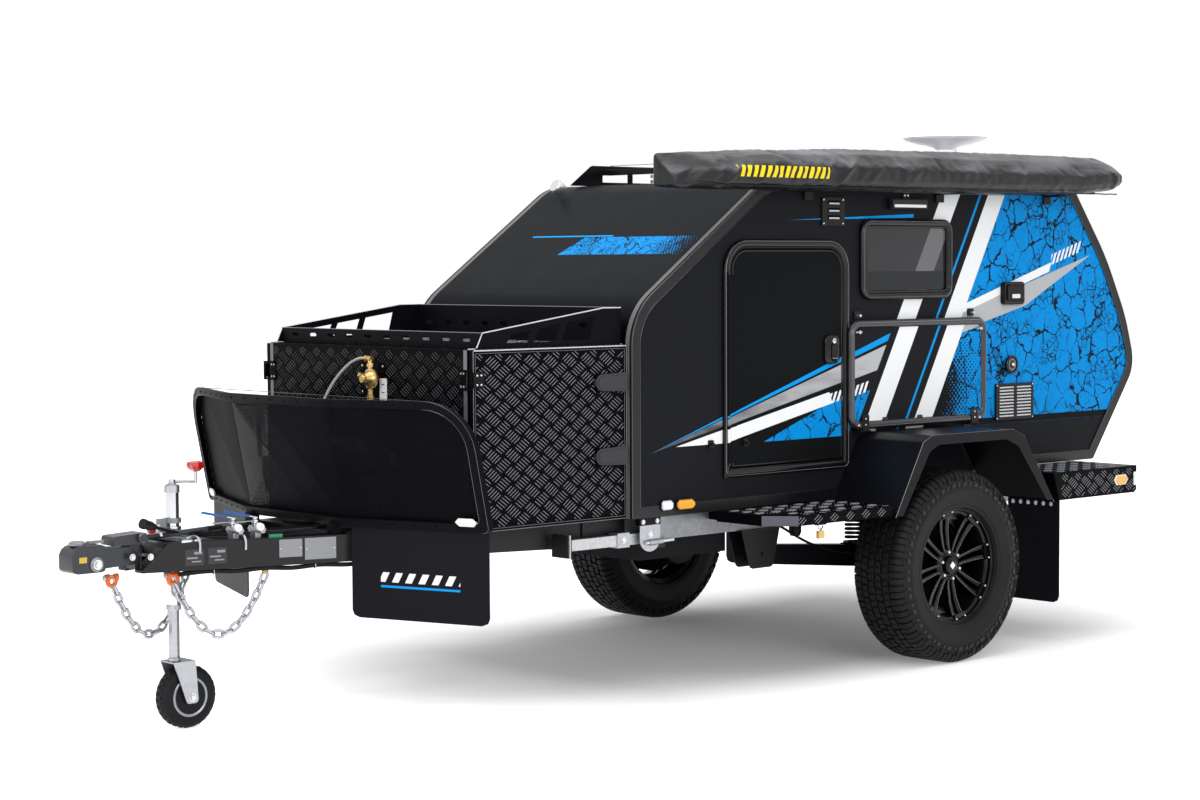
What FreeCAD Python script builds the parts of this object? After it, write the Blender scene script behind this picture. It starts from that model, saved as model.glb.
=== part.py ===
import FreeCAD, Part
import math
import os

os.makedirs("parts", exist_ok=True)

V = FreeCAD.Vector
X_AXIS = V(1, 0, 0)
Y_AXIS = V(0, 1, 0)
Z_AXIS = V(0, 0, 1)

# Off-road teardrop trailer, in millimetres.
# X points forward to the coupling, Y to the left side, Z up from the ground.
# Left is the kerb side with the awning; the right side mirrors what is doubled.

# Overall reach, measured from the axle
nose_reach = 3586.0
tail_reach = 1657.0
axle_x = (tail_reach - nose_reach) / 2

# Fits
seat = 0.3
running = 0.3
panel_gap = 6.0

# Small rounds are cut into flats that stay within this sag of the arc; wide ones stay true arcs
curve_sag = 2.6
widest_flat = 60.0
true_arc_radius = 200.0
wheel_flat_angle = 15.0
jockey_flat_angle = 22.5

# Half width of the cabin, from which the other widths step in or out
cabin_half_width = 663.0

# Wheels
wheel_radius = 401.0
tyre_width = 265.0
tyre_side_gap = 8.0
wheel_stand_off = 224.0
rim_radius = 226.0
rim_lip_radius = 240.0
rim_width = 214.0
rim_wall = 7.0
rim_disc_offset = 52.0
rim_spokes = 8
hub_radius = 78.0
hub_cap_radius = 40.0
stub_radius = 24.0
hanger_pin = 10.0
wheel_z = wheel_radius
wheel_y = cabin_half_width + wheel_stand_off
tyre_outer_y = wheel_y + tyre_width / 2
tyre_inner_y = wheel_y - tyre_width / 2

# Chassis
rail_height = 100.0
rail_width = 50.0
rail_top_z = 683.0
rail_inset = 103.0
rail_y = cabin_half_width - rail_inset
rail_bottom_z = rail_top_z - rail_height
frame_front_x = axle_x + 3330.0
frame_front_y = 55.0
drawbar_length = 1652.0
drawbar_taper = (rail_y - frame_front_y) / drawbar_length
cross_depth = 60.0
spring_seat_z = wheel_z + 76.0

# Cabin
cabin_wall = 30.0
cabin_front_x = axle_x + 1538.0
cabin_floor_z = rail_top_z + seat
rear_floor_z = 750.0
roof_z = 1995.0
nose_share = 0.5775
tail_top_share = 0.743
tail_middle_share = 0.5237
tail_belly_share = 0.339
hatch_handle_share = 0.2972
hatch_foot_share = 0.2088
trim_width = 46.0
trim_depth = 5.0
inner_half_width = cabin_half_width - cabin_wall

# Side door
door_front_x = axle_x + 1046.0
door_rear_x = axle_x + 320.0
door_bottom_z = 812.0
door_drop = 244.0
door_top_z = roof_z - door_drop
door_corner = 120.0
door_frame_width = 34.0
door_frame_proud = 12.0
door_skin_proud = 4.0
hinge_radius = 7.0
hinge_pin = 3.5
ear_width = 14.0

# Side window
window_front_x = axle_x + 245.0
window_rear_x = axle_x - 339.0
window_drop = 155.0
window_height = 338.0
window_top_z = roof_z - window_drop
window_bottom_z = window_top_z - window_height
window_corner = 55.0
window_frame_width = 36.0
window_frame_proud = 14.0
pane_thickness = 5.0

# Toolbox in front of the cabin
box_gap = 4.0
box_length = 758.0
box_inset = 43.0
box_half_width = cabin_half_width - box_inset
box_wall = 20.0
box_bottom_z = rail_top_z + seat
box_top_z = 1351.0
box_door_thickness = 22.0
box_frame = 34.0
box_rear_x = cabin_front_x + box_gap
box_front_x = box_rear_x + box_length

# Rack on the toolbox
rack_overhang = 8.0
rack_half_width = box_half_width + rack_overhang
rack_sheet = 4.0
rack_front_height = 58.0
rack_rear_height = 140.0
rack_setback = 14.0
rack_nose_setback = 36.0
rack_shelf = 90.0
rack_rear_x = box_rear_x + rack_setback
rack_rise_x = rack_rear_x + rack_shelf
rack_front_x = box_front_x - rack_nose_setback

# Stone guard
guard_fold_y = 300.0
guard_half_width = 885.0
guard_sweep = 20.5
guard_bottom_z = 716.0
guard_top_z = 1180.0
guard_stand_off = 312.0
guard_bottom_x = box_front_x + guard_stand_off
guard_rake = 95.0
guard_sheet = 3.0
guard_frame_depth = 25.0
guard_frame_width = 30.0
guard_corner = 170.0

# Mudflaps
flap_thickness = 6.0
front_flap_inner_y = 335.0
front_flap_bottom_z = 385.0
rear_flap_bottom_z = 185.0

# Gas bottles
bottle_radius = 128.0
bottle_y = 150.0
bottle_x = (box_front_x + guard_bottom_x) / 2
bottle_body_height = 330.0
bottle_collar_height = 120.0
tray_thickness = 8.0

# Fenders and steps
fender_cover = 10.5
fender_half_width = tyre_outer_y + fender_cover
fender_top_z = 955.0
fender_sheet = 5.0
fender_lip = 40.0
step_thickness = 41.0
step_inset = 14.0
step_half_width = fender_half_width - step_inset
front_step_front_x = axle_x + 1085.0
front_step_rear_x = axle_x + 426.4
rear_step_front_x = axle_x - 610.0
rear_step_rear_x = axle_x - 1210.0
rear_step_height = 120.0

# Fold-down table
table_front_x = axle_x + 339.0
table_rear_x = axle_x - 548.0
table_bottom_z = 966.0
table_top_z = 1420.0
table_thickness = 24.0
table_gap = 15.0
table_hinge_radius = 6.0
table_corner = 60.0
table_tube = 34.0
table_recess = 8.0

# Jockey wheel
jockey_x = axle_x + 3155.0
jockey_tube_radius = 24.0
jockey_leg_radius = 20.0
jockey_wheel_radius = 115.0
jockey_wheel_width = 70.0
jockey_trail = 45.0
jockey_tube_top_z = 872.0
jockey_tube_bottom_z = 430.0
fork_plate = 5.0

# Stabiliser legs
stab_tube = 42.0
stab_length = 470.0
stab_pivot_z = 604.0
stab_y = rail_y + rail_width / 2 + 34.0
stab_front_x = axle_x + 1380.0

# Awning bag, roof rack and dish
bag_front_x = axle_x + 1440.0
bag_rear_x = axle_x - 1360.0
bag_inner_y = cabin_half_width + trim_depth + 8.0
bag_depth = 168.0
bag_drop = 43.0
bag_bottom_z = roof_z - bag_drop
bag_height = 176.0
roof_rail_inset = 163.0
roof_rail_y = cabin_half_width - roof_rail_inset
roof_rail_height = 88.0
roof_rail_top_z = roof_z + roof_rail_height
dish_radius = 190.0
dish_x = axle_x - 920.0
dish_y = 150.0


def box(x0, x1, y0, y1, z0, z1):
    return Part.makeBox(x1 - x0, y1 - y0, z1 - z0, V(x0, y0, z0))


def flats(radius, angle=360.0):
    """How many flats follow an arc of this radius and angle."""
    step = widest_flat
    if radius > 4 * curve_sag:
        step = min(step, 2 * math.degrees(math.acos(1 - curve_sag / radius)))
    return math.ceil(angle / step - 0.001)


def around(centre, axis, radius, count):
    """Points of a regular polygon about an axis."""
    first = axis.cross(Z_AXIS if abs(axis.z) < 0.9 * axis.Length else X_AXIS).normalize()
    second = V(axis).normalize().cross(first)
    turns = [2 * math.pi * k / count for k in range(count)]
    return [centre + first * (radius * math.cos(t)) + second * (radius * math.sin(t)) for t in turns]


def polygon(points):
    return Part.Face(Part.makePolygon(points + [points[0]]))


def cylinder(start, end, radius):
    """Round bar, with its edges on the radius."""
    axis = end.sub(start)
    return polygon(around(start, axis, radius, flats(radius))).extrude(axis)


def bore(start, end, radius):
    """Truly round hole of something that turns on a pin."""
    axis = end.sub(start)
    return Part.makeCylinder(radius, axis.Length, start, axis)


def tube(start, end, radius, wall):
    return cylinder(start, end, radius).cut(cylinder(start, end, radius - wall))


def closed_solid(faces):
    solid = Part.Solid(Part.Shell(faces))
    if solid.Volume < 0:
        solid.reverse()
    return solid


def mirror_y(shape):
    return shape.mirror(V(0, 0, 0), Y_AXIS)


def pair(shape):
    return [shape, mirror_y(shape)]


def group(shapes):
    return Part.makeCompound(shapes)


def fuse(shapes):
    joined = shapes[0]
    for shape in shapes[1:]:
        joined = joined.fuse(shape)
    return joined.removeSplitter()


def cut_all(shape, tools):
    for tool in tools:
        shape = shape.cut(tool)
    return shape


def save(name, shape):
    shape.exportStep("parts/" + name + ".step")


def on_xz(y):
    return lambda a, b: V(a, y, b)


def on_xy(z):
    return lambda a, b: V(a, b, z)


def on_yz(x):
    return lambda a, b: V(x, a, b)


def slerp(a, b, share):
    """Arm between two equally long arms, part of the way round."""
    angle = a.getAngle(b)
    return (a * math.sin((1 - share) * angle) + b * math.sin(share * angle)) * (1 / math.sin(angle))


def rounded_wire(corners, place):
    """Closed wire through corners (a, b, radius), laid in space by place."""
    edges = []
    joints = []
    count = len(corners)
    radius_of = [max(0.0, corner[2]) for corner in corners]
    for i in range(count):
        a, b, radius = corners[i]
        pa, pb, _ = corners[i - 1]
        na, nb, _ = corners[(i + 1) % count]
        u = V(pa - a, pb - b, 0)
        w = V(na - a, nb - b, 0)
        room = min(u.Length, w.Length) / 2
        u.normalize()
        w.normalize()
        if radius <= 0:
            joints.append((V(a, b, 0), V(a, b, 0), V(a, b, 0)))
            continue
        half = u.getAngle(w) / 2
        reach = min(radius / math.tan(half), room)
        bisector = (u + w).normalize()
        corner = V(a, b, 0)
        centre = corner + bisector * (reach / math.cos(half))
        joints.append((corner + u * reach, centre, corner + w * reach))
    for i in range(count):
        start, middle, end = joints[i]
        if radius_of[i] >= true_arc_radius:
            top = middle + slerp(start - middle, end - middle, 0.5)
            edges.append(Part.Arc(place(start.x, start.y), place(top.x, top.y), place(end.x, end.y)).toShape())
        elif radius_of[i]:
            steps = flats(radius_of[i], math.degrees((start - middle).getAngle(end - middle)))
            points = [middle + slerp(start - middle, end - middle, k / steps) for k in range(steps + 1)]
            for a, b in zip(points, points[1:]):
                edges.append(Part.LineSegment(place(a.x, a.y), place(b.x, b.y)).toShape())
        following = joints[(i + 1) % count][0]
        if end.distanceToPoint(following) > 0.01:
            edges.append(Part.LineSegment(place(end.x, end.y), place(following.x, following.y)).toShape())
    return Part.Wire(edges)


def prism(corners, place, sweep):
    return Part.Face(rounded_wire(corners, place)).extrude(sweep)


def rounded_rect(a0, a1, b0, b1, radius):
    return [(a0, b0, radius), (a1, b0, radius), (a1, b1, radius), (a0, b1, radius)]


def turned(profile, centre, axis, count):
    """Ring from a closed profile of (radius, offset) points, turned about axis with count flats."""
    rings = [around(centre + axis * t, axis, r, count) if r > 0 else None for r, t in profile]
    tips = [centre + axis * t for r, t in profile]
    faces = []
    for i in range(len(profile)):
        a, b = rings[i - 1], rings[i]
        if a is None and b is None:
            continue
        if a is None or b is None:
            ring, tip = (b, tips[i - 1]) if a is None else (a, tips[i])
            if abs(profile[i - 1][1] - profile[i][1]) < 0.001:
                faces.append(polygon(ring))
                continue
            faces += [polygon([ring[k - 1], ring[k], tip]) for k in range(count)]
            continue
        faces += [polygon([a[k - 1], a[k], b[k], b[k - 1]]) for k in range(count)]
    return closed_solid(faces)


# Cabin shell

def cabin_level(share):
    """Height at a share of the way from the rear floor up to the roof."""
    return rear_floor_z + share * (roof_z - rear_floor_z)


def cabin_outline():
    """Side profile of the cabin in the XZ plane, with its corner radii."""
    return [
        (cabin_front_x, cabin_floor_z, 8),
        (cabin_front_x, cabin_level(nose_share), 250),
        (axle_x + 793.0, roof_z, 250),
        (axle_x - 1197.0, roof_z, 110),
        (axle_x - 1450.0, cabin_level(tail_top_share), 1200),
        (axle_x - 1602.0, cabin_level(tail_middle_share), 800),
        (axle_x - 1676.0, cabin_level(tail_belly_share), 150),
        (axle_x - 1358.0, rear_floor_z, 20),
        (axle_x - 500.0, rear_floor_z, 20),
        (axle_x - 440.0, cabin_floor_z, 20),
    ]


def cabin_body(inset, y0, y1):
    """Solid of the cabin profile shrunk by inset, between two planes of Y."""
    wire = rounded_wire(cabin_outline(), on_xz(y0))
    if inset:
        wire = wire.makeOffset2D(-inset)
    return Part.Face(wire).extrude(V(0, y1 - y0, 0))


hatch_hinge_x = axle_x - 1130.0
hatch_hinge_z = roof_z + hinge_radius + 3
hatch_foot_z = cabin_level(hatch_foot_share)


def hatch_zone(gap):
    """Region behind the hatch hinge and above its foot, shrunk by gap."""
    y = cabin_half_width
    return box(axle_x - 1800, hatch_hinge_x - gap, -y, y, hatch_foot_z + gap, roof_z + 100)


def door_outline(inset):
    radius = door_corner - inset
    return [
        (door_rear_x + inset, door_bottom_z + inset, 6),
        (door_front_x - inset, door_bottom_z + inset, 6),
        (door_front_x - inset, door_top_z - inset, radius),
        (door_rear_x + inset, door_top_z - inset, radius),
    ]


def window_outline(inset):
    radius = window_corner - inset
    return rounded_rect(window_rear_x + inset, window_front_x - inset,
                        window_bottom_z + inset, window_top_z - inset, radius)


def across_wall(corners):
    """Prism of an outline through the left wall."""
    return prism(corners, on_xz(inner_half_width - 5), V(0, cabin_wall + 10, 0))


def cabin_side():
    wall = cabin_body(0, inner_half_width, cabin_half_width)
    wall = wall.cut(across_wall(door_outline(door_frame_width / 2)))
    return wall.cut(across_wall(window_outline(window_frame_width / 2)))


def cabin_skin():
    """Front wall, raked front and roof in one bent panel between the side walls."""
    half = inner_half_width - seat
    shell = cabin_body(0, -half, half).cut(cabin_body(cabin_wall, -half - 1, half + 1))
    front = box(cabin_front_x - 238, cabin_front_x + 10, -half, half, cabin_floor_z + cabin_wall, roof_z + 50)
    top = box(hatch_hinge_x, cabin_front_x + 10, -half, half, (cabin_floor_z + roof_z) / 2, roof_z + 50)
    y1 = half - panel_gap - 2 * ear_width
    x = hatch_hinge_x
    ears = [box(x - 2, x + 40, y, y + ear_width, roof_z - 1, hatch_hinge_z + hinge_radius)
            for y in (-y1 - ear_width, y1)]
    rod = cylinder(V(hatch_hinge_x, -y1 - 2, hatch_hinge_z), V(hatch_hinge_x, y1 + 2, hatch_hinge_z), hinge_pin)
    return fuse([shell.common(front.fuse(top)), rod] + ears)


def cabin_floor():
    half = inner_half_width - seat
    slab = cabin_body(0, -half, half).cut(cabin_body(cabin_wall, -half - 1, half + 1))
    keep = box(axle_x - 1700, cabin_front_x + 10, -half, half, cabin_floor_z - 1, cabin_floor_z + cabin_wall - seat)
    tail = box(axle_x - 1800, axle_x - 430, -half, half, cabin_floor_z - 1, hatch_foot_z)
    return slab.common(keep.fuse(tail))


def rear_hatch():
    half = inner_half_width - panel_gap
    shell = cabin_body(0, -half, half).cut(cabin_body(cabin_wall, -half - 1, half + 1))
    panel = shell.common(hatch_zone(panel_gap / 2))
    handle_z = cabin_level(hatch_handle_share)
    handle_x = axle_x - 1650.0
    grip = box(handle_x - 4, handle_x + 40, -70, 70, handle_z - 20, handle_z + 20)
    y1 = inner_half_width - panel_gap - 2 * ear_width - 1
    x = hatch_hinge_x
    knuckle = cylinder(V(x, -y1, hatch_hinge_z), V(x, y1, hatch_hinge_z), hinge_radius)
    leaf = box(x - 60, x - panel_gap / 2, -y1, y1, roof_z - 1, roof_z + 4)
    neck = box(x - 9, x - 3, -y1, y1, roof_z + 1, hatch_hinge_z)
    hole = bore(V(x, -y1 - 1, hatch_hinge_z), V(x, y1 + 1, hatch_hinge_z), hinge_pin + running)
    return fuse([panel, leaf, neck, knuckle]).cut(hole)


def edge_trim():
    """Aluminium edge that wraps the left end of the skin."""
    y0 = cabin_half_width + seat
    band = cabin_body(0, y0, y0 + trim_depth)
    band = band.cut(cabin_body(trim_width, y0 - 1, y0 + trim_depth + 1))
    return band.cut(prism(fender_profile(-2), on_xz(y0 - 2), V(0, trim_depth + 4, 0)))


# Doors and windows

def door_frame():
    y0 = cabin_half_width + seat
    ring = prism(door_outline(0), on_xz(y0), V(0, door_frame_proud, 0))
    hole = prism(door_outline(door_frame_width), on_xz(y0 - 1), V(0, door_frame_proud + 2, 0))
    lining = prism(door_outline(door_frame_width / 2 + seat), on_xz(y0 - cabin_wall), V(0, cabin_wall, 0))
    lining = lining.cut(prism(door_outline(door_frame_width), on_xz(y0 - cabin_wall - 1), V(0, cabin_wall + 2, 0)))
    hinge = door_hinge()
    z0, z1 = door_hinge_span()
    face_y = y0 + door_frame_proud
    rod = cylinder(V(hinge.x, hinge.y, z0 - ear_width), V(hinge.x, hinge.y, z1 + ear_width), hinge_pin)
    ears = [box(hinge.x - 6, hinge.x + 6, face_y - 1, hinge.y + 5, z, z + ear_width - 1)
            for z in (z0 - ear_width, z1 + 1)]
    return fuse([ring.cut(hole), lining, rod] + ears)


def door_hinge():
    """Point on the left door's hinge axis."""
    y = cabin_half_width + seat + door_frame_proud + hinge_radius + 1
    return V(door_front_x - door_frame_width / 2, y, 0)


def door_hinge_span():
    inset = door_frame_width + panel_gap
    return door_bottom_z + inset + 20, door_top_z - inset - 100


def door_leaf():
    inset = door_frame_width + panel_gap
    y0 = cabin_half_width - cabin_wall + 4
    y1 = cabin_half_width + seat + door_frame_proud + 1
    leaf = prism(door_outline(inset), on_xz(y0), V(0, y1 - y0, 0))
    hinge = door_hinge()
    z0, z1 = door_hinge_span()
    knuckle = cylinder(V(hinge.x, hinge.y, z0), V(hinge.x, hinge.y, z1), hinge_radius)
    strap = box(door_front_x - inset - 26, hinge.x, y1 - 0.5, y1 + 3, z0, z1)
    hole = bore(V(hinge.x, hinge.y, z0 - 1), V(hinge.x, hinge.y, z1 + 1), hinge_pin + running)
    return fuse([leaf, strap, knuckle, door_handle(y1 - 1)]).cut(hole)


def door_handle(y):
    x = axle_x + 425.0
    z = (door_bottom_z + door_top_z) / 2 + 20.5
    plate = prism(rounded_rect(x - 28, x + 28, z - 62, z + 62, 14), on_xz(y), V(0, 9, 0))
    grip = prism(rounded_rect(x - 14, x + 14, z - 48, z + 30, 8), on_xz(y + 8), V(0, 10, 0))
    return fuse([plate, grip])


def window_frame():
    y0 = cabin_half_width + seat
    ring = prism(window_outline(0), on_xz(y0), V(0, window_frame_proud, 0))
    hole = prism(window_outline(window_frame_width), on_xz(y0 - 1), V(0, window_frame_proud + 2, 0))
    lining = prism(window_outline(window_frame_width / 2 + seat), on_xz(y0 - cabin_wall), V(0, cabin_wall, 0))
    lining = lining.cut(prism(window_outline(window_frame_width), on_xz(y0 - cabin_wall - 1),
                              V(0, cabin_wall + 2, 0)))
    return fuse([ring.cut(hole), lining])


def window_pane():
    y0 = cabin_half_width + seat
    return prism(window_outline(window_frame_width + seat), on_xz(y0), V(0, pane_thickness, 0))


# Chassis

def drawbar_y(x):
    """Centre of a drawbar rail at a station X."""
    return frame_front_y + (frame_front_x - x) * drawbar_taper


def drawbar_join_x():
    return frame_front_x - drawbar_length


def drawbar_rail():
    half = rail_width / 2 / math.cos(math.atan(drawbar_taper))
    x1 = frame_front_x
    x0 = drawbar_join_x() - 60
    y1 = drawbar_y(x1)
    y0 = drawbar_y(x0)
    corners = [(x0, y0 - half, 0), (x1, y1 - half, 0), (x1, y1 + half, 0), (x0, y0 + half, 0)]
    rail = prism(corners, on_xy(rail_bottom_z), V(0, 0, rail_height))
    nose = [(x1 + 10, rail_top_z + 1, 0), (x1 - 90, rail_top_z + 1, 0), (x1 + 10, rail_bottom_z - 1, 0)]
    beyond = box(x0 - 10, x1, rail_y + rail_width / 2, rail_y + 200, rail_bottom_z - 1, rail_top_z + 1)
    return rail.cut(prism(nose, on_xz(-50), V(0, 300, 0))).cut(beyond)


def side_rail():
    x1 = drawbar_join_x() + 40
    x0 = axle_x - 1330.0
    y0 = rail_y - rail_width / 2
    return box(x0, x1, y0, y0 + rail_width, rail_bottom_z, rail_top_z)


def cross_member(x):
    y = rail_y - rail_width / 2 + 1
    return box(x - rail_width / 2, x + rail_width / 2, -y, y, rail_top_z - cross_depth, rail_top_z)


def chassis():
    """Frame with its arm hangers, leg brackets and rear bar."""
    rails = [drawbar_rail(), side_rail()]
    parts = rails + [mirror_y(rail) for rail in rails]
    for station in (1450.0, 760.0, 60.0, -620.0, -1290.0):
        parts.append(cross_member(axle_x + station))
    for station in (2560.0, 2320.0, 3060.0):
        y = drawbar_y(axle_x + station)
        parts.append(box(axle_x + station - 18, axle_x + station + 18, -y, y, rail_top_z - cross_depth, rail_top_z))
    y = drawbar_y(frame_front_x - 100)
    parts.append(box(frame_front_x - 112, frame_front_x - 76, -y, y, rail_bottom_z, rail_top_z))
    parts += pair(arm_hanger())
    parts += pair(stabiliser_bracket(stab_front_x))
    parts.append(rear_bar())
    return fuse(parts)


def arm_hanger():
    x = axle_x + 765.0
    plate = prism([(x - 110, rail_bottom_z + 1, 0), (x + 110, rail_bottom_z + 1, 0),
                   (x + 60, 425, 20), (x - 70, 425, 20)], on_xz(rail_y - 42), V(0, 6, 0))
    outer = plate.copy()
    outer.translate(V(0, 78, 0))
    cap = box(x - 110, x + 110, rail_y - 42, rail_y + 42, rail_bottom_z - 6, rail_bottom_z + 1)
    rod = cylinder(V(x - 10, rail_y - 50, 480), V(x - 10, rail_y + 50, 480), hanger_pin)
    return fuse([plate, outer, cap, rod])


def trailing_arm():
    """Box arm from the hanger pin back to the stub axle."""
    x = axle_x + 755.0
    y0 = rail_y - 33
    y1 = rail_y + 33
    arm = prism([(x + 42, 480, 30), (x + 30, 520, 20), (axle_x - 60, wheel_z + 52, 20),
                 (axle_x - 60, wheel_z - 45, 20), (x + 10, 440, 20)], on_xz(y0), V(0, y1 - y0, 0))
    eye = cylinder(V(x, y0 - 10, 480), V(x, y1 + 10, 480), hanger_pin + running)
    stub = cylinder(V(axle_x, y1 - 5, wheel_z), V(axle_x, wheel_y + rim_disc_offset - 22, wheel_z), stub_radius)
    drum = cylinder(V(axle_x, y1 - 1, wheel_z), V(axle_x, tyre_inner_y - 10, wheel_z), 60)
    pad = box(axle_x + 90, axle_x + 210, y0, y1, wheel_z + 20, spring_seat_z)
    return fuse([arm, stub, drum, pad]).cut(eye)


def coil_spring():
    x = axle_x + 150.0
    return tube(V(x, rail_y, spring_seat_z + seat), V(x, rail_y, rail_bottom_z - seat), 52, 12)


def shock():
    lower = V(axle_x - 30, rail_y - 60, wheel_z + 10)
    upper = V(axle_x - 150, rail_y - 60, rail_top_z - 45)
    direction = upper.sub(lower)
    body = cylinder(lower, lower + direction * 0.62, 26)
    rod = cylinder(lower + direction * 0.6, upper, 10)
    eye_low = cylinder(lower - Y_AXIS * 16, lower + Y_AXIS * (27 - seat), 18)
    eye_top = cylinder(upper - Y_AXIS * 16, upper + Y_AXIS * (35 - seat), 18)
    return fuse([body, rod, eye_low, eye_top])


# Wheels

def tyre_profile():
    half = tyre_width / 2
    lip = rim_width / 2 - 11
    return [
        (rim_lip_radius + 2, -half + tyre_side_gap + 12), (310, -half), (wheel_radius - 24, -half + 10),
        (wheel_radius - 3, -half + 34), (wheel_radius, -half + 70), (wheel_radius, half - 70),
        (wheel_radius - 3, half - 34), (wheel_radius - 24, half - 10), (310, half),
        (rim_lip_radius + 2, half - tyre_side_gap - 12), (rim_lip_radius + 2, lip), (rim_radius + seat, lip - 8),
        (rim_radius + seat, 8 - lip), (rim_lip_radius + 2, -lip),
    ]


def wheel_centre():
    return V(axle_x, wheel_y, wheel_z)


def wheel_flats():
    return round(360 / wheel_flat_angle)


def tyre():
    return turned(tyre_profile(), wheel_centre(), Y_AXIS, wheel_flats())


def rim():
    half = rim_width / 2
    centre = wheel_centre()
    face = rim_disc_offset
    inner = rim_radius - rim_wall
    barrel = turned([
        (rim_lip_radius, -half), (rim_radius, -half + 18), (rim_radius, half - 18),
        (rim_lip_radius, half - 8), (rim_lip_radius, half), (inner, half - 14), (inner, -half),
    ], centre, Y_AXIS, wheel_flats())
    disc = turned([
        (0, face - 16), (hub_radius, face - 16), (inner + 1, half - 40), (inner + 1, half - 24),
        (hub_radius, face + 4), (0, face + 4),
    ], centre, Y_AXIS, wheel_flats())
    cap = cylinder(centre + Y_AXIS * face, centre + Y_AXIS * (face + 26), hub_cap_radius)
    disc = disc.cut(group([window_in_rim(i) for i in range(rim_spokes)]))
    drum = cylinder(centre + Y_AXIS * (face - 40), centre + Y_AXIS * (face - 14), hub_radius)
    socket = bore(centre - Y_AXIS * 200, centre + Y_AXIS * (face - 19), stub_radius + running)
    return fuse([barrel, disc, cap, drum]).cut(socket)


def window_in_rim(index):
    """Opening between two spoke pairs."""
    c = wheel_centre()
    corners = [(-16, hub_radius + 12, 0), (16, hub_radius + 12, 0), (42, 196, 0), (-42, 196, 0)]
    hole = prism([(c.x + a, c.z + b, r) for a, b, r in corners], on_xz(c.y - 60), V(0, 200, 0))
    hole.rotate(c, Y_AXIS, 360.0 / rim_spokes * (index + 0.5))
    return hole


# Fenders, steps and mudflaps

def fender_profile(inset):
    """Outline of the wheel arch in the XZ plane, shrunk by inset."""
    i = inset
    return [
        (axle_x + 430 - i, 635, 0), (axle_x + 262 - i, 930 - i, 24), (axle_x + 205 - i, fender_top_z - i, 24),
        (axle_x - 315 + i, fender_top_z - i, 24), (axle_x - 388 + i, 925 - i, 24), (axle_x - 598 + i, 628, 0),
    ]


def fender():
    y0 = cabin_half_width + trim_depth + 2 * seat
    y1 = fender_half_width
    outer = prism(fender_profile(0), on_xz(y0), V(0, y1 - y0, 0))
    inner = prism(fender_profile(fender_sheet), on_xz(y0 - 1), V(0, y1 - y0 + 2, 0))
    below = box(axle_x - 900, axle_x + 900, y0 - 2, y1 + 2, 400, 640)
    skin = outer.cut(inner).cut(below)
    lip = outer.cut(prism(fender_profile(fender_lip), on_xz(y0 - 1), V(0, y1 - y0 + 2, 0)))
    lip = lip.cut(below).common(box(axle_x - 900, axle_x + 900, y1 - fender_sheet, y1, 0, 2000))
    door = prism(door_outline(-2), on_xz(y0 - 2), V(0, door_frame_proud + 2, 0))
    return fuse([skin, lip]).cut(door)


def front_step():
    y0 = cabin_half_width + trim_depth + 2 * seat
    y1 = step_half_width
    z1 = cabin_floor_z
    corners = [(front_step_front_x, y0, 0), (front_step_front_x, y1 - 100, 10), (front_step_front_x - 100, y1, 10),
               (front_step_rear_x, y1, 0), (front_step_rear_x, y0, 0)]
    plate = prism(corners, on_xy(z1 - step_thickness), V(0, 0, step_thickness))
    ledge = box(front_step_rear_x + 40, front_step_front_x - 40, rail_y + rail_width / 2 + seat, y0 + 40,
                z1 - step_thickness, z1 - 2)
    return fuse([plate, ledge])


def rear_step():
    y0 = cabin_half_width + trim_depth + 2 * seat
    y1 = step_half_width
    z1 = rear_floor_z
    z0 = z1 - rear_step_height
    body = prism([(rear_step_front_x - 40, z0, 0), (rear_step_front_x, z1, 0), (rear_step_rear_x, z1, 0),
                  (rear_step_rear_x, z0 + 14, 0), (rear_step_rear_x + 16, z0, 0)], on_xz(y0), V(0, y1 - y0, 0))
    ledge = box(rear_step_rear_x + 40, rear_step_front_x - 80, rail_y + rail_width / 2 + seat, y0 + 40,
                rail_top_z - 60, rail_top_z)
    return fuse([body, ledge])


def rear_flap():
    x = rear_step_front_x - 44
    y1 = step_half_width - 4
    body = prism(rounded_rect(tyre_inner_y - 20, y1, rear_flap_bottom_z, 600, 30), on_yz(x), V(-flap_thickness, 0, 0))
    top = box(x - flap_thickness, x, tyre_inner_y - 20, y1, 560, rear_floor_z - rear_step_height - seat)
    return fuse([body, top])


# Toolbox

def toolbox_hinge():
    """Point on the left toolbox door's hinge axis."""
    return V(box_front_x + 7, box_half_width + panel_gap + box_door_thickness, 0)


def toolbox_hinge_heights():
    return box_bottom_z + 110, box_top_z - 110


def toolbox_hinge_ears():
    """Ears and pins on the front face that carry the left door."""
    hinge = toolbox_hinge()
    shapes = []
    for z in toolbox_hinge_heights():
        shapes.append(cylinder(V(hinge.x, hinge.y, z - 36), V(hinge.x, hinge.y, z + 36), hinge_pin))
        for z0 in (z - 37, z + 29):
            shapes.append(box(box_front_x - 1, hinge.x + 6, box_half_width - 40, hinge.y + 5, z0, z0 + 8)
                          .cut(box(box_front_x - 2, box_front_x + 0.01, box_half_width, hinge.y + 6, z0 - 1, z0 + 9)))
        shapes.append(box(box_front_x - 1, box_front_x + 3, box_half_width - 40, box_half_width - 2, z - 37, z + 37))
    return shapes


def toolbox_shell():
    outer = box(box_rear_x, box_front_x, -box_half_width, box_half_width, box_bottom_z, box_top_z)
    inner = box(box_rear_x + box_wall, box_front_x - box_wall, -box_half_width + box_wall,
                box_half_width - box_wall, box_bottom_z + box_wall, box_top_z - box_wall)
    hole = box(box_rear_x + box_frame, box_front_x - box_frame, -box_half_width - 1, box_half_width + 1,
               box_bottom_z + box_frame, box_top_z - box_frame)
    ears = toolbox_hinge_ears()
    return fuse([outer.cut(inner).cut(hole)] + ears + [mirror_y(ear) for ear in ears])


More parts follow.
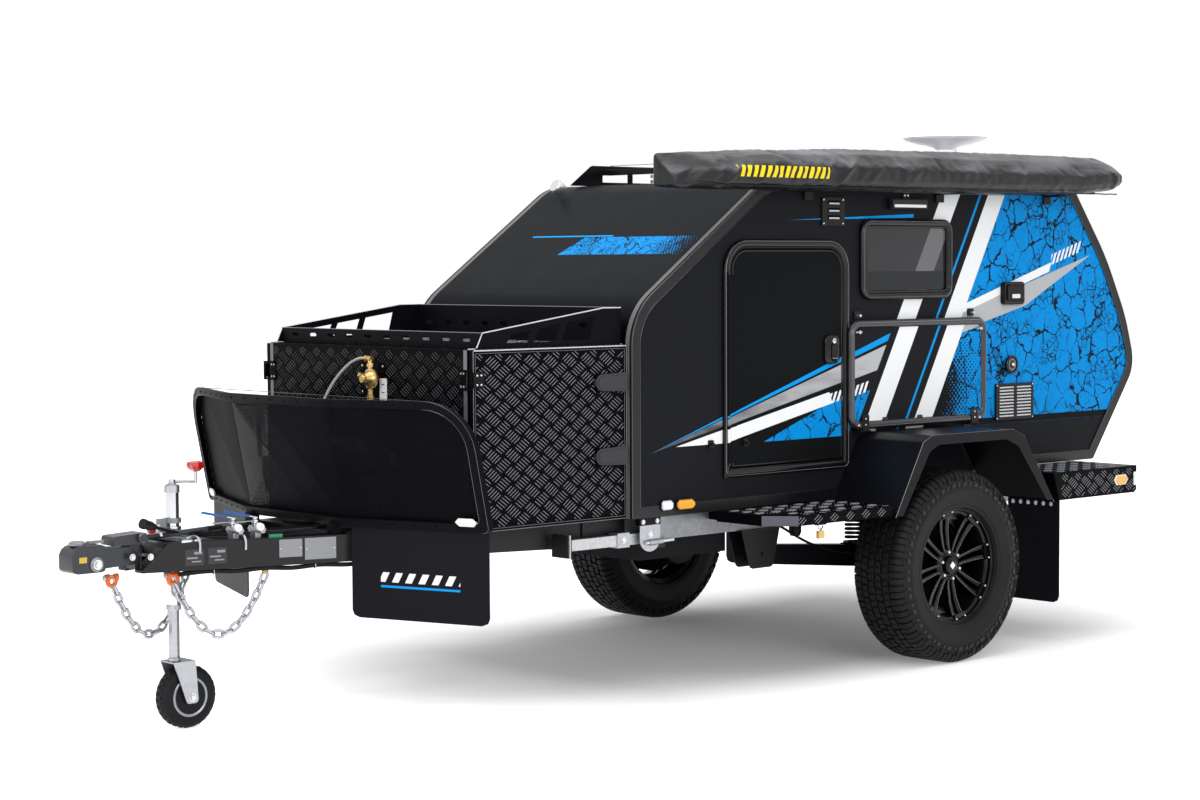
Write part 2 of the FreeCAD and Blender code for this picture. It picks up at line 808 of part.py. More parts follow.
def toolbox_door():
    y0 = box_half_width + panel_gap
    y1 = y0 + box_door_thickness
    panel = box(box_rear_x + 3, box_front_x - 3, y0, y1, box_bottom_z + 5, box_top_z - 3)
    hinge = toolbox_hinge()
    shapes = [panel]
    bores = []
    for z in toolbox_hinge_heights():
        shapes.append(cylinder(V(hinge.x, hinge.y, z - 28), V(hinge.x, hinge.y, z + 28), hinge_radius))
        shapes.append(box(box_front_x - 50, hinge.x, y1 - 1, y1 + 3, z - 28, z + 28))
        bores.append(bore(V(hinge.x, hinge.y, z - 30), V(hinge.x, hinge.y, z + 30), hinge_pin + running))
    for z in (box_top_z - 140, box_bottom_z + 247.7):
        x0 = box_rear_x + 14
        shapes.append(prism(rounded_rect(x0, x0 + 155, z - 34, z + 34, 14), on_xz(y1 - 1), V(0, 13, 0)))
    return cut_all(fuse(shapes), bores)


def oblong(a, b, half_length, half_width):
    """Slot with tapered ends."""
    flat = half_length - half_width
    return [(a - half_length, b, 0), (a - flat, b - half_width, 0), (a + flat, b - half_width, 0),
            (a + half_length, b, 0), (a + flat, b + half_width, 0), (a - flat, b + half_width, 0)]


def rack_side():
    """Left side sheet of the rack with its slanted windows."""
    y0 = rack_half_width - rack_sheet
    z0 = box_top_z + seat
    outline = [(rack_front_x, z0, 0), (rack_front_x - 28, z0 + rack_front_height, 8),
               (rack_rise_x, z0 + rack_rear_height, 8), (rack_rear_x, z0 + rack_rear_height, 0),
               (rack_rear_x, z0, 0)]
    sheet = prism(outline, on_xz(y0), V(0, rack_sheet, 0))
    rise = (rack_rear_height - rack_front_height) / (rack_front_x - 28 - rack_rise_x)
    holes = []
    for back, wide in ((144, 100), (274, 110), (414, 140)):
        x0 = rack_front_x - back
        x1 = x0 - wide
        t0 = z0 + rack_front_height + (rack_front_x - 28 - x0) * rise - 22
        t1 = z0 + rack_front_height + (rack_front_x - 28 - x1) * rise - 22
        holes.append(prism([(x0, z0 + 20, 0), (x0 - 24, t0, 0), (x1 - 24, t1, 0), (x1, z0 + 20, 0)],
                           on_xz(y0 - 1), V(0, rack_sheet + 2, 0)))
    return sheet.cut(group(holes))


def toolbox_rack():
    side = rack_side()
    z0 = box_top_z + seat
    half = rack_half_width
    front = box(rack_front_x - 30, rack_front_x - 30 + rack_sheet, -half, half, z0, z0 + rack_front_height)
    rear = box(rack_rear_x, rack_rear_x + rack_sheet, -half, half, z0, z0 + rack_rear_height)
    slots = []
    for i in range(10):
        y = -half + 90 + i * (2 * half - 180) / 9
        slots.append(prism(oblong(y, z0 + 33, 24, 7), on_yz(rack_front_x - 40), V(30, 0, 0)))
        slots.append(prism(oblong(y, z0 + 69, 24, 9), on_yz(rack_rear_x - 10), V(30, 0, 0)))
    base = box(rack_rear_x, rack_front_x - 28, -half, half, z0, z0 + 3)
    return fuse([side, mirror_y(side), front, rear, base]).cut(group(slots))


# Stone guard

def guard_x(y):
    """Rear face of the guard at its foot, at a given Y."""
    return guard_bottom_x - max(0.0, abs(y) - guard_fold_y) * math.tan(math.radians(guard_sweep))


def guard_layer(depth, grow):
    """Folded sheet of a given depth, raked forward towards its top."""
    half = guard_half_width + grow
    left = [(guard_x(y), y) for y in (-half, -guard_fold_y, guard_fold_y, half)]
    front = [(x + depth, y) for x, y in reversed(left)]
    corners = [(x, y, 0) for x, y in left + front]
    rise = guard_top_z - guard_bottom_z
    return prism(corners, on_xy(guard_bottom_z), V(guard_rake, 0, rise))


def guard_front(inset):
    half = guard_half_width - inset
    corners = [(-half, guard_bottom_z + inset, 20), (half, guard_bottom_z + inset, 20),
               (half, guard_top_z - inset, guard_corner - inset), (-half, guard_top_z - inset, guard_corner - inset)]
    return prism(corners, on_yz(axle_x + 2000), V(1200, 0, 0))


def guard_skin():
    return guard_layer(guard_sheet, 20).common(guard_front(guard_frame_width / 2))


def guard_frame():
    layer = guard_layer(guard_frame_depth + guard_sheet + seat, 20)
    layer = layer.cut(guard_layer(guard_sheet + seat, 40))
    ring = layer.common(guard_front(0)).cut(guard_front(guard_frame_width))
    feet = []
    for side in (-1, 1):
        y = side * (drawbar_y(guard_bottom_x) - 12.5)
        x = guard_bottom_x + 6
        feet.append(box(x, x + 40, y - 20, y + 20, rail_top_z + seat, guard_bottom_z + 8))
    return fuse([ring] + feet)


def front_flap():
    """Mudflap under a wing of the guard, in the plane of the wing."""
    half = guard_half_width - 15
    y0 = front_flap_inner_y
    foot = [(guard_x(y0) + 8, y0, 0), (guard_x(half) + 8, half, 0),
            (guard_x(half) + 8 + flap_thickness, half, 0), (guard_x(y0) + 8 + flap_thickness, y0, 0)]
    slab = prism(foot, on_xy(front_flap_bottom_z), V(0, 0, guard_bottom_z - seat - front_flap_bottom_z))
    shape = prism([(y0 - 1, front_flap_bottom_z, 30), (half + 1, front_flap_bottom_z, 30),
                   (half + 1, guard_bottom_z + 50, 0), (y0 - 1, guard_bottom_z + 50, 0)],
                  on_yz(axle_x + 2000), V(1200, 0, 0))
    return slab.common(shape)


def gas_tray():
    y = bottle_y + bottle_radius + 20
    x0 = box_front_x + 12
    x1 = guard_bottom_x - 6
    return box(x0, x1, -y, y, rail_top_z + seat, rail_top_z + seat + tray_thickness)


def gas_bottle():
    z0 = rail_top_z + 2 * seat + tray_thickness
    foot = cylinder(V(bottle_x, bottle_y, z0), V(bottle_x, bottle_y, z0 + 60), bottle_radius - 25)
    profile = [(0, 24), (96, 24), (bottle_radius, 70), (bottle_radius, bottle_body_height - 60),
               (104, bottle_body_height - 18), (60, bottle_body_height), (0, bottle_body_height)]
    body = turned(profile, V(bottle_x, bottle_y, z0), Z_AXIS, flats(bottle_radius))
    z1 = z0 + bottle_body_height - 14
    collar = tube(V(bottle_x, bottle_y, z1), V(bottle_x, bottle_y, z1 + bottle_collar_height), 74, 3)
    gap = box(bottle_x - 90, bottle_x + 90, bottle_y - 45, bottle_y + 45, z1 + 30, z1 + 92)
    valve = cylinder(V(bottle_x, bottle_y, z1), V(bottle_x, bottle_y, z1 + 84), 16)
    return fuse([foot, body, collar.cut(gap), valve])


def gas_regulator():
    x = box_front_x + seat
    bracket = box(x, x + 6, 30, 130, 1130, 1290)
    body = cylinder(V(x + 6, 80, 1230), V(x + 70, 80, 1230), 34)
    valve = cylinder(V(x + 36, 80, 1150), V(x + 36, 80, 1290), 13)
    return fuse([bracket, body, valve])


# Coupling, brake lever, jockey wheel and drawbar fittings

def coupling():
    tip = axle_x + nose_reach
    head = prism([(tip, 606, 12), (tip, 672, 22), (tip - 30, 693, 22), (tip - 132, 693, 16), (tip - 132, 597, 16),
                  (tip - 20, 597, 12)], on_xz(-46), V(0, 92, 0))
    socket = Part.makeCylinder(26, 78, V(tip - 52, 0, 590))
    yoke = prism([(tip - 120, 606, 0), (tip - 120, 680, 0), (frame_front_x - 20, 672, 0),
                  (frame_front_x - 20, 612, 0)], on_xz(-30), V(0, 60, 0))
    bolt = cylinder(V(tip - 94, -56, 626), V(tip - 94, 56, 626), 20)
    body = prism([(frame_front_x + 90, rail_top_z + seat, 0), (frame_front_x + 90, 716, 10),
                  (frame_front_x - 46, 722, 10), (frame_front_x - 46, rail_top_z + seat, 0)],
                 on_xz(-42), V(0, 84, 0))
    flange = box(frame_front_x - 18, frame_front_x + 20, -28.6, 28.6, 612, rail_top_z + 2)
    bottom = box(frame_front_x - 20, frame_front_x - 2, -28.6, 28.6, rail_bottom_z + 10, rail_top_z + 2)
    return fuse([head, yoke, bolt, body, flange, bottom, brake_lever()]).cut(socket)


def brake_lever():
    """Hand brake lever, laid back beside the jockey tube."""
    start = V(frame_front_x - 20, 52, 705)
    end = V(axle_x + 3030, 52, 716)
    boss = cylinder(start - Y_AXIS * 12, start + Y_AXIS * 14, 16)
    return fuse([boss, cylinder(start, end, 11)])


def jockey_clamp():
    y = drawbar_y(jockey_x) + rail_width / 2 - 10
    plate = box(jockey_x - 40, jockey_x + 40, -y, y, rail_top_z + seat, rail_top_z + seat + 8)
    collar = cylinder(V(jockey_x, 0, rail_top_z), V(jockey_x, 0, rail_top_z + 48), jockey_tube_radius + 8)
    knob_rod = cylinder(V(jockey_x + 20, 0, 728), V(jockey_x + 62, 0, 728), 6)
    knob = cylinder(V(jockey_x + 58, 0, 728), V(jockey_x + 80, 0, 728), 18)
    return fuse([plate, collar, knob_rod, knob])


def jockey_stand():
    """Clamp, outer tube and crank of the jockey wheel."""
    bottom = V(jockey_x, 0, jockey_tube_bottom_z)
    top = V(jockey_x, 0, jockey_tube_top_z)
    outer = cylinder(bottom, top, jockey_tube_radius)
    hole = bore(bottom, top - Z_AXIS * 4, jockey_leg_radius + running)
    cap = cylinder(top - Z_AXIS * 4, top + Z_AXIS * 3, jockey_tube_radius)
    neck = cylinder(top, top + Z_AXIS * 26, 12)
    arm = cylinder(top + Z_AXIS * 18, top + V(-100, 0, 12), 6)
    stem = cylinder(top + V(-98, 0, 8), top + V(-98, 0, 60), 6)
    knob = cylinder(top + V(-98, 0, 52), top + V(-98, 0, 82), 17)
    return fuse([outer, cap, neck, arm, stem, knob, jockey_clamp()]).cut(hole)


def jockey_wheel_centre():
    return V(jockey_x - jockey_trail, 0, jockey_wheel_radius)


def jockey_fork():
    centre = jockey_wheel_centre()
    plate_z = 2 * jockey_wheel_radius + 12
    half = jockey_wheel_width / 2 + 6
    stem = cylinder(V(jockey_x, 0, plate_z), V(jockey_x, 0, jockey_tube_top_z - 60), jockey_leg_radius)
    plate = box(jockey_x - 60, jockey_x + 30, -half - fork_plate, half + fork_plate, plate_z, plate_z + fork_plate)
    cheek = prism([(jockey_x + 30, plate_z + 1, 0), (jockey_x - 60, plate_z + 1, 0),
                   (centre.x - 26, centre.z - 22, 12), (centre.x + 22, centre.z - 22, 12)],
                  on_xz(half), V(0, fork_plate, 0))
    axle = cylinder(centre - Y_AXIS * (half + 12), centre + Y_AXIS * (half + 12), 8)
    return fuse([stem, plate, cheek, mirror_y(cheek), axle])


def jockey_wheel():
    r = jockey_wheel_radius
    half = jockey_wheel_width / 2
    body = turned([(0, -half + 2), (24, -half + 2), (64, -13), (74, -half), (r, -half + 16), (r, half - 16),
                   (74, half), (64, 13), (24, half - 2), (0, half - 2)], jockey_wheel_centre(), Y_AXIS,
                  round(360 / jockey_flat_angle))
    reach = Y_AXIS * (half + 1)
    return body.cut(bore(jockey_wheel_centre() - reach, jockey_wheel_centre() + reach, 8 + running))


chain_wire = 9.0
chain_pitch = 34.0
chain_width = 31.0


def mitre_axis(path, k):
    """Unit direction of the mitre at a corner of a closed path."""
    a, b = path[k]
    before = V(path[k - 1][0] - a, path[k - 1][1] - b, 0).normalize()
    after = V(path[(k + 1) % len(path)][0] - a, path[(k + 1) % len(path)][1] - b, 0).normalize()
    return (before + after).normalize()


def chain_link(centre, direction, quarter):
    """One rounded link along direction, turned a quarter for every other link."""
    d = V(direction).normalize()
    level = d.cross(Y_AXIS).normalize()
    side = level.cross(d) if quarter else level
    n = side.cross(d)
    reach = (chain_width - chain_wire) / 2
    end = (chain_pitch + chain_wire) / 2
    corner = reach * math.tan(math.radians(22.5))
    turn = [(reach, end - reach + corner), (corner, end), (-corner, end), (-reach, end - reach + corner)]
    path = turn + [(-a, -b) for a, b in turn]
    rings = []
    for k, (a, b) in enumerate(path):
        into = V(path[k - 1][0] - a, path[k - 1][1] - b, 0)
        stretch = 1 / math.sin(mitre_axis(path, k).getAngle(into))
        out = mitre_axis(path, k) * (stretch * chain_wire / 2)
        ring = []
        for turn_angle in range(0, 360, 90):
            c = math.cos(math.radians(turn_angle))
            h = math.sin(math.radians(turn_angle)) * chain_wire / 2
            ring.append(centre + side * (a + out.x * c) + d * (b + out.y * c) + n * h)
        rings.append(ring)
    faces = [polygon([rings[k - 1][m - 1], rings[k - 1][m], rings[k][m], rings[k][m - 1]])
             for k in range(8) for m in range(4)]
    return closed_solid(faces)


def chain_points(start, end, sag):
    """Points at one pitch spacing along a hanging loop between two shackles."""
    fine = []
    for i in range(3001):
        t = i / 3000.0
        drop = 4 * sag * t * (1 - t)
        fine.append(start + (end - start) * t - Z_AXIS * drop)
    points = [fine[0]]
    for point in fine:
        if point.distanceToPoint(points[-1]) >= chain_pitch + seat:
            points.append(point)
    return points


def chain_lug(point, direction, top_z):
    """Two cheeks and a pin that hold the end of a chain."""
    eye = point + V(direction).normalize() * (chain_wire / 2)
    reach = chain_wire / 2 + 11
    cheeks = [box(eye.x - 11, eye.x + 11, eye.y + y, eye.y + y + 5, eye.z - 11, top_z) for y in (-reach, reach - 5)]
    cap = box(eye.x - 11, eye.x + 11, eye.y - reach, eye.y + reach, top_z - 6, top_z)
    rod = cylinder(eye - Y_AXIS * (reach + 5), eye + Y_AXIS * (reach + 5), chain_wire / 2 - seat)
    return fuse(cheeks + [cap, rod])


def safety_chain(start, end, sag, start_top, end_top):
    points = chain_points(start, end, sag)
    if len(points) % 2 == 1:
        points.pop()
    links = []
    for i in range(len(points) - 1):
        centre = (points[i] + points[i + 1]) * 0.5
        links.append(chain_link(centre, points[i + 1] - points[i], i % 2 == 1))
    links.append(chain_lug(points[0], points[1] - points[0], start_top))
    links.append(chain_lug(points[-1], points[-2] - points[-1], end_top))
    return links


def safety_chains():
    under_rail = rail_bottom_z - seat
    z = rail_bottom_z - 30
    x0 = axle_x + 3215
    x1 = axle_x + 2890
    left = safety_chain(V(x0, drawbar_y(x0), z), V(x1, drawbar_y(x1), z), 205, under_rail, under_rail)
    right = safety_chain(V(axle_x + 3400, -10, z), V(axle_x + 3060, -60, z), 205, 606, rail_top_z - cross_depth - seat)
    return group(left + right)


def water_taps():
    shapes = []
    for station in (2990.0, 2912.0):
        x = axle_x + station
        y = drawbar_y(x) - 20
        z = rail_top_z + seat
        foot = box(x - 12, x + 12, y - 18, y + 18, z, z + 22)
        barrel = cylinder(V(x, y - 30, z + 32), V(x, y + 50, z + 32), 14)
        stem = cylinder(V(x, y, z + 32), V(x, y, z + 62), 7)
        lever = box(x - 8, x + 84, y - 9, y + 9, z + 60, z + 64)
        shapes.append(fuse([foot, barrel, stem, lever]))
    return group(shapes)


# Fittings on the cabin

def body_fittings():
    y0 = cabin_half_width + seat
    vent = box(axle_x + 341, axle_x + 477, y0, y0 + 8, roof_z - 187, roof_z - 70)
    lamp = box(axle_x - 167, axle_x + 72, y0, y0 + 22, roof_z - 114, roof_z - 72)
    outlet = prism(rounded_rect(axle_x - 831, axle_x - 685, 1469, 1569, 14), on_xz(y0), V(0, 18, 0))
    socket = cylinder(V(axle_x - 750, y0, 1204), V(axle_x - 750, y0 + 14, 1204), 36)
    grille = prism(rounded_rect(axle_x - 910, axle_x - 647, 960, 1120, 6), on_xz(y0), V(0, 10, 0))
    slots = []
    for column in range(2):
        for row in range(10):
            x = axle_x - 895 + column * 122
            z = 974 + row * 14
            slots.append(box(x, x + 108, y0 + 4, y0 + 11, z, z + 6))
    shapes = [vent, lamp, outlet, socket, grille.cut(group(slots))]
    shapes += [table_bracket(x) for x in table_hinge_stations()]
    shapes += [awning_bracket(axle_x + station) for station in (560.0, -260.0, -1000.0)]
    return group(shapes)


def marker_lamps():
    y0 = cabin_half_width + trim_depth + 2 * seat
    white = prism(rounded_rect(axle_x + 1327, axle_x + 1391, 704, 748, 10), on_xz(y0), V(0, 14, 0))
    amber = prism(rounded_rect(axle_x + 1209, axle_x + 1311, 702, 746, 10), on_xz(y0), V(0, 18, 0))
    lamps = [white, mirror_y(white), amber, mirror_y(amber)]
    x = rear_step_rear_x - seat
    tail = box(x - 24, x, cabin_half_width + 37, step_half_width - 16, rear_floor_z - 104, rear_floor_z - 16)
    return group(lamps + [tail, mirror_y(tail)])


def table_hinge():
    """Point on the table's hinge axis, just outside the bottom edge of the leaf."""
    return V(0, cabin_half_width + table_gap + table_thickness + 2, table_bottom_z - table_hinge_radius)


def table_hinge_stations():
    return table_rear_x + 90, table_front_x - 90


def fold_table():
    """Leaf with a raised tubular edge round a recessed panel, and its two hinges."""
    y0 = cabin_half_width + table_gap
    y1 = y0 + table_thickness
    hinge = table_hinge()
    leaf = prism(rounded_rect(table_rear_x, table_front_x, table_bottom_z, table_top_z, table_corner),
                 on_xz(y0), V(0, table_thickness, 0))
    recess = prism(rounded_rect(table_rear_x + table_tube, table_front_x - table_tube, table_bottom_z + table_tube,
                                table_top_z - table_tube, table_corner - table_tube),
                   on_xz(y1 - table_recess), V(0, table_recess + 1, 0))
    shapes = [leaf.cut(recess)]
    bores = []
    for x in table_hinge_stations():
        shapes.append(cylinder(V(x - 20, hinge.y, hinge.z), V(x + 20, hinge.y, hinge.z), table_hinge_radius))
        shapes.append(box(x - 20, x + 20, y1 - 1, hinge.y + 2, hinge.z, table_bottom_z + 60))
        bores.append(bore(V(x - 21, hinge.y, hinge.z), V(x + 21, hinge.y, hinge.z), 3 + running))
    return cut_all(fuse(shapes), bores)


def table_bracket(x):
    """Hinge block on the wall that carries the table."""
    hinge = table_hinge()
    y0 = cabin_half_width + seat
    ears = [box(x0, x0 + 9, y0, hinge.y + 4, hinge.z - 5, hinge.z + 2) for x0 in (x - 29.5, x + 20.5)]
    foot = box(x - 29.5, x + 29.5, y0, y0 + 4, hinge.z - 30, hinge.z + 2)
    rod = cylinder(V(x - 29, hinge.y, hinge.z), V(x + 29, hinge.y, hinge.z), 3)
    return fuse(ears + [foot, rod])


def stabiliser():
    """Stowed leg: square tube that points forward from its hinge."""
    half = stab_tube / 2
    x = stab_front_x
    y = stab_y
    z = stab_pivot_z
    leg = box(x, x + stab_length, y - half, y + half, z - half, z + half)
    foot = box(x + stab_length, x + stab_length + 6, y - 50, y + 50, z - 44, z + 44)
    knuckle = cylinder(V(x, y - half, z), V(x, y + half, z), half)
    hole = bore(V(x, y - 60, z), V(x, y + 60, z), 8 + running)
    return fuse([leg, foot, knuckle]).cut(hole)


def stabiliser_bracket(x):
    y = stab_y
    z = stab_pivot_z
    gap = stab_tube / 2 + running
    inner = box(x - 40, x + 40, rail_y + rail_width / 2 - 1, y - gap, z - 44, rail_top_z - 2)
    outer = box(x - 40, x + 40, y + gap, y + gap + 5, z - 44, rail_top_z - 2)
    rod = cylinder(V(x, y - gap - 1, z), V(x, y + gap + 6, z), 8)
    top = box(x - 40, x + 40, y - gap - 1, y + gap + 5, rail_top_z - 8, rail_top_z - 2)
    return fuse([inner, outer, rod, top])


def roof_rack():
    z0 = roof_z + seat
    z1 = roof_rail_top_z
    side = prism([(axle_x + 811, z0, 0), (axle_x + 688, z1, 10), (axle_x - 900, z1, 10), (axle_x - 980, z0, 0)],
                 on_xz(roof_rail_y), V(0, 5, 0))
    x = axle_x + 620
    holes = []
    while x > axle_x - 860:
        holes.append(box(x - 150, x, roof_rail_y - 1, roof_rail_y + 6, z0 + 18, z1 - 16))
        x -= 180
    side = side.cut(group(holes))
    foot = box(axle_x - 900, axle_x + 688, roof_rail_y - 20, roof_rail_y + 5, z0, z0 + 4)
    shapes = [side, foot, mirror_y(side), mirror_y(foot)]
    for station in (600.0, 180.0, -240.0, -660.0):
        bar_x = axle_x + station
        shapes.append(box(bar_x - 25, bar_x + 25, -roof_rail_y - 2, roof_rail_y + 2, z1 - 40, z1 - 16))
    return fuse(shapes)


def awning_bag():
    y0 = bag_inner_y
    y1 = y0 + bag_depth
    corners = [(y0, bag_bottom_z, 30), (y1, bag_bottom_z, 50), (y1, bag_bottom_z + bag_height, 50),
               (y0, bag_bottom_z + bag_height, 30)]
    return prism(corners, on_yz(bag_rear_x), V(bag_front_x - bag_rear_x, 0, 0))


def awning_bracket(x):
    y0 = cabin_half_width + trim_depth + 2 * seat
    back = box(x - 25, x + 25, y0, bag_inner_y - seat, bag_bottom_z - 40, bag_bottom_z + 90)
    shelf = box(x - 25, x + 25, y0, y0 + 90, bag_bottom_z - 6, bag_bottom_z - seat)
    return fuse([back, shelf])


def dish():
    z0 = roof_z + seat
    stem = cylinder(V(dish_x, dish_y, z0), V(dish_x, dish_y, roof_z + 195), 16)
    base = cylinder(V(dish_x, dish_y, z0), V(dish_x, dish_y, z0 + 10), 60)
    head = turned([(0, 185), (150, 188), (dish_radius, 208), (dish_radius, 222), (130, 250), (60, 264), (0, 268)],
                  V(dish_x, dish_y, roof_z), Z_AXIS, flats(dish_radius))
    return fuse([stem, base, head])


def rear_bar():
    """Bumper bar under the tail."""
    x = axle_x - 1370.0
    y = rail_y + 40
    bar = box(x - 40, x, -y, y, rail_bottom_z + 10, rail_top_z - 10)
    tab = box(x - 1, axle_x - 1329, rail_y - 20, rail_y + 20, rail_bottom_z + 14, rail_top_z - 14)
    return fuse([bar, tab, mirror_y(tab)])


def water_tank():
    """Steel-clad tank between the side rails."""
    y = rail_y - rail_width / 2 - seat
    return box(axle_x + 900, axle_x + 1380, -y, y, 500, rail_top_z - cross_depth - seat)


def export_all():
    save("chassis", chassis())
    save("trailing_arms", group(pair(trailing_arm())))
    save("coil_springs", group(pair(coil_spring())))
    save("shock_absorbers", group(pair(shock())))
    save("water_tank", water_tank())
    save("tyre_left", tyre())
    save("tyre_right", mirror_y(tyre()))
    save("rim_left", rim())
    save("rim_right", mirror_y(rim()))
    save("fenders", group(pair(fender())))
    save("side_steps", group(pair(front_step()) + pair(rear_step())))
    save("mudflaps", group(pair(front_flap()) + pair(rear_flap())))
    save("cabin_floor", cabin_floor())
    save("cabin_side_left", cabin_side())
    save("cabin_side_right", mirror_y(cabin_side()))
    save("cabin_skin", cabin_skin())
    save("edge_trims", group(pair(edge_trim())))
    save("rear_hatch", rear_hatch())
    save("opening_frames", group(pair(door_frame()) + pair(window_frame())))
    save("door_left", door_leaf())
    save("door_right", mirror_y(door_leaf()))
    save("window_panes", group(pair(window_pane())))
    save("toolbox_shell", toolbox_shell())
    save("toolbox_door_left", toolbox_door())
    save("toolbox_door_right", mirror_y(toolbox_door()))
    save("toolbox_rack", toolbox_rack())
    save("stone_guard_frame", guard_frame())
    save("stone_guard_mesh", guard_skin())
    save("gas_bottles", group([gas_tray()] + pair(gas_bottle())))
    save("gas_regulator", gas_regulator())
    save("coupling", coupling())
    save("jockey_stand", jockey_stand())
    save("jockey_fork", jockey_fork())
    save("jockey_wheel", jockey_wheel())
    save("safety_chains", safety_chains())
    save("water_taps", water_taps())
    save("body_fittings", body_fittings())
    save("marker_lamps", marker_lamps())
    save("fold_table", fold_table())
    save("stabiliser_front_left", stabiliser())
    save("stabiliser_front_right", mirror_y(stabiliser()))
    save("roof_rack", roof_rack())
    save("awning_bag", awning_bag())
    save("dish", dish())


export_all()
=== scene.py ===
from math import cos, exp, hypot, pi, radians, sin, sqrt, tan

import bmesh
import bpy
from mathutils import Matrix, Vector


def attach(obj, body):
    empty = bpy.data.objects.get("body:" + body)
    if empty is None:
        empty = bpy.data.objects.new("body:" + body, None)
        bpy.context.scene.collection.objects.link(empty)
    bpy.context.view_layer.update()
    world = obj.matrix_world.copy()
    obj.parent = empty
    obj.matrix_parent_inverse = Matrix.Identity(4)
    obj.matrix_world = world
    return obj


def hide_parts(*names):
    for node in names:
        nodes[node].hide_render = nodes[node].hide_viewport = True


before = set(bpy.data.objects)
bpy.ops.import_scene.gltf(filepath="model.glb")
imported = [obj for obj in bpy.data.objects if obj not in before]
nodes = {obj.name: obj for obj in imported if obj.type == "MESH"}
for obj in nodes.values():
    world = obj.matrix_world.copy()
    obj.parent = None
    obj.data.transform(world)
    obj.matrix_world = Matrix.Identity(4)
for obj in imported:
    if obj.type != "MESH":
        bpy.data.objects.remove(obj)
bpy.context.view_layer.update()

AXLE = -0.9645          # x of the axle; most stations below are counted from it
WHEEL_Z = 0.401
DECK_Z = 0.6833         # top of the chassis deck that toolbox, steps and cabin stand on
WALL_Y = 0.663          # outer face of the cabin's side walls
RAIL_TURN = 0.3057      # how far a drawbar rail comes in for each metre ahead
SIDES = {1: "left", -1: "right"}
X, Y, Z = Vector((1, 0, 0)), Vector((0, 1, 0)), Vector((0, 0, 1))


# Node trees

class Net:
    """Short hand for wiring one node tree."""

    def __init__(self, tree):
        self.tree = tree

    def feed(self, socket, value):
        if isinstance(value, bpy.types.NodeSocket):
            self.tree.links.new(value, socket)
        elif value is not None:
            socket.default_value = value if socket.type != "RGBA" else (*value[:3], 1)

    def fill(self, node, *values, **named):
        """Feed a node's inputs, by their order and by their names."""
        for key, value in [*enumerate(values), *named.items()]:
            self.feed(node.inputs[key.replace("_", " ") if isinstance(key, str) else key], value)
        return node

    def add(self, kind, *values, setup=None, **named):
        """New node; setup holds its settings, and the rest feeds its inputs."""
        node = self.tree.nodes.new(kind)
        for key, value in (setup or {}).items():
            setattr(node, key, value)
        return self.fill(node, *values, **named)

    def math(self, operation, *values, clamp=False):
        return self.add("ShaderNodeMath", *values, setup={"operation": operation, "use_clamp": clamp}).outputs[0]

    def plus(self, a, b, clamp=False):
        return self.math("ADD", a, b, clamp=clamp)

    def minus(self, a, b):
        return self.math("SUBTRACT", a, b)

    def times(self, product, *others, clamp=False):
        for other in others:
            product = self.math("MULTIPLY", product, other, clamp=clamp)
        return product

    def vector(self, operation, *values, **named):
        node = self.add("ShaderNodeVectorMath", *values, setup={"operation": operation}, **named)
        return node.outputs["Value" if operation in ("DOT_PRODUCT", "LENGTH") else "Vector"]

    def scaled(self, vector, factor):
        return self.vector("SCALE", vector, Scale=factor)

    def mix(self, factor, a, b):
        node = self.add("ShaderNodeMix", factor, setup={"data_type": "RGBA"})
        self.feed(node.inputs[6], a)
        self.feed(node.inputs[7], b)
        return node.outputs[2]

    def ramp(self, value, low, high):
        """Value stretched from low..high to 0..1."""
        return self.add("ShaderNodeMapRange", Value=value, From_Min=low, From_Max=high).outputs["Result"]

    def band(self, value, low, high, soft=0.002):
        """1 between low and high, with soft edges inside them."""
        return self.times(self.ramp(value, low, low + soft), self.ramp(value, high, high - soft))

    def ticks(self, value, pitch, gap):
        """1 over the last part of each pitch, 0 over its gap."""
        return self.math("GREATER_THAN", self.math("FRACT", self.math("DIVIDE", value, pitch)), gap)

    def noise(self, place, scale, detail=3.0, roughness=0.5, output="Fac"):
        return self.add("ShaderNodeTexNoise", Vector=place, Scale=scale, Detail=detail,
                        Roughness=roughness).outputs[output]

    def cells(self, place, scale, feature="F1", output="Distance"):
        return self.add("ShaderNodeTexVoronoi", setup={"feature": feature}, Vector=place,
                        Scale=scale).outputs[output]

    def turned(self, place, axis, degrees):
        return self.add("ShaderNodeVectorRotate", setup={"rotation_type": axis + "_AXIS"}, Vector=place,
                        Angle=radians(degrees)).outputs[0]

    def bump(self, height, strength, distance, normal=None):
        return self.add("ShaderNodeBump", Height=height, Strength=strength, Distance=distance,
                        Normal=normal).outputs["Normal"]

    def own_place(self):
        return self.add("ShaderNodeTexCoord").outputs["Object"]

    def xyz(self, vector):
        return self.add("ShaderNodeSeparateXYZ", vector).outputs

    def group(self, tree, **values):
        return self.add("ShaderNodeGroup", setup={"node_tree": tree}, **values).outputs


def make_group(build, inputs, outputs):
    """Node group that does what build does, its sockets given as {name: (kind, value)} and {name: kind}."""
    tree = bpy.data.node_groups.new(build.__name__.replace("_", " "), "ShaderNodeTree")
    for label, (kind, value) in inputs.items():
        socket = tree.interface.new_socket(label, in_out="INPUT", socket_type="NodeSocket" + kind)
        if value is not None:
            socket.default_value = value
    for label, kind in outputs.items():
        tree.interface.new_socket(label, in_out="OUTPUT", socket_type="NodeSocket" + kind)
    net = Net(tree)
    result = build(net, net.add("NodeGroupInput").outputs)
    net.fill(net.add("NodeGroupOutput"), **result)
    return tree


SKIN_OUT = {"Colour": "Color", "Roughness": "Float", "Normal": "Vector"}
GREY = (0.5, 0.5, 0.5, 1)


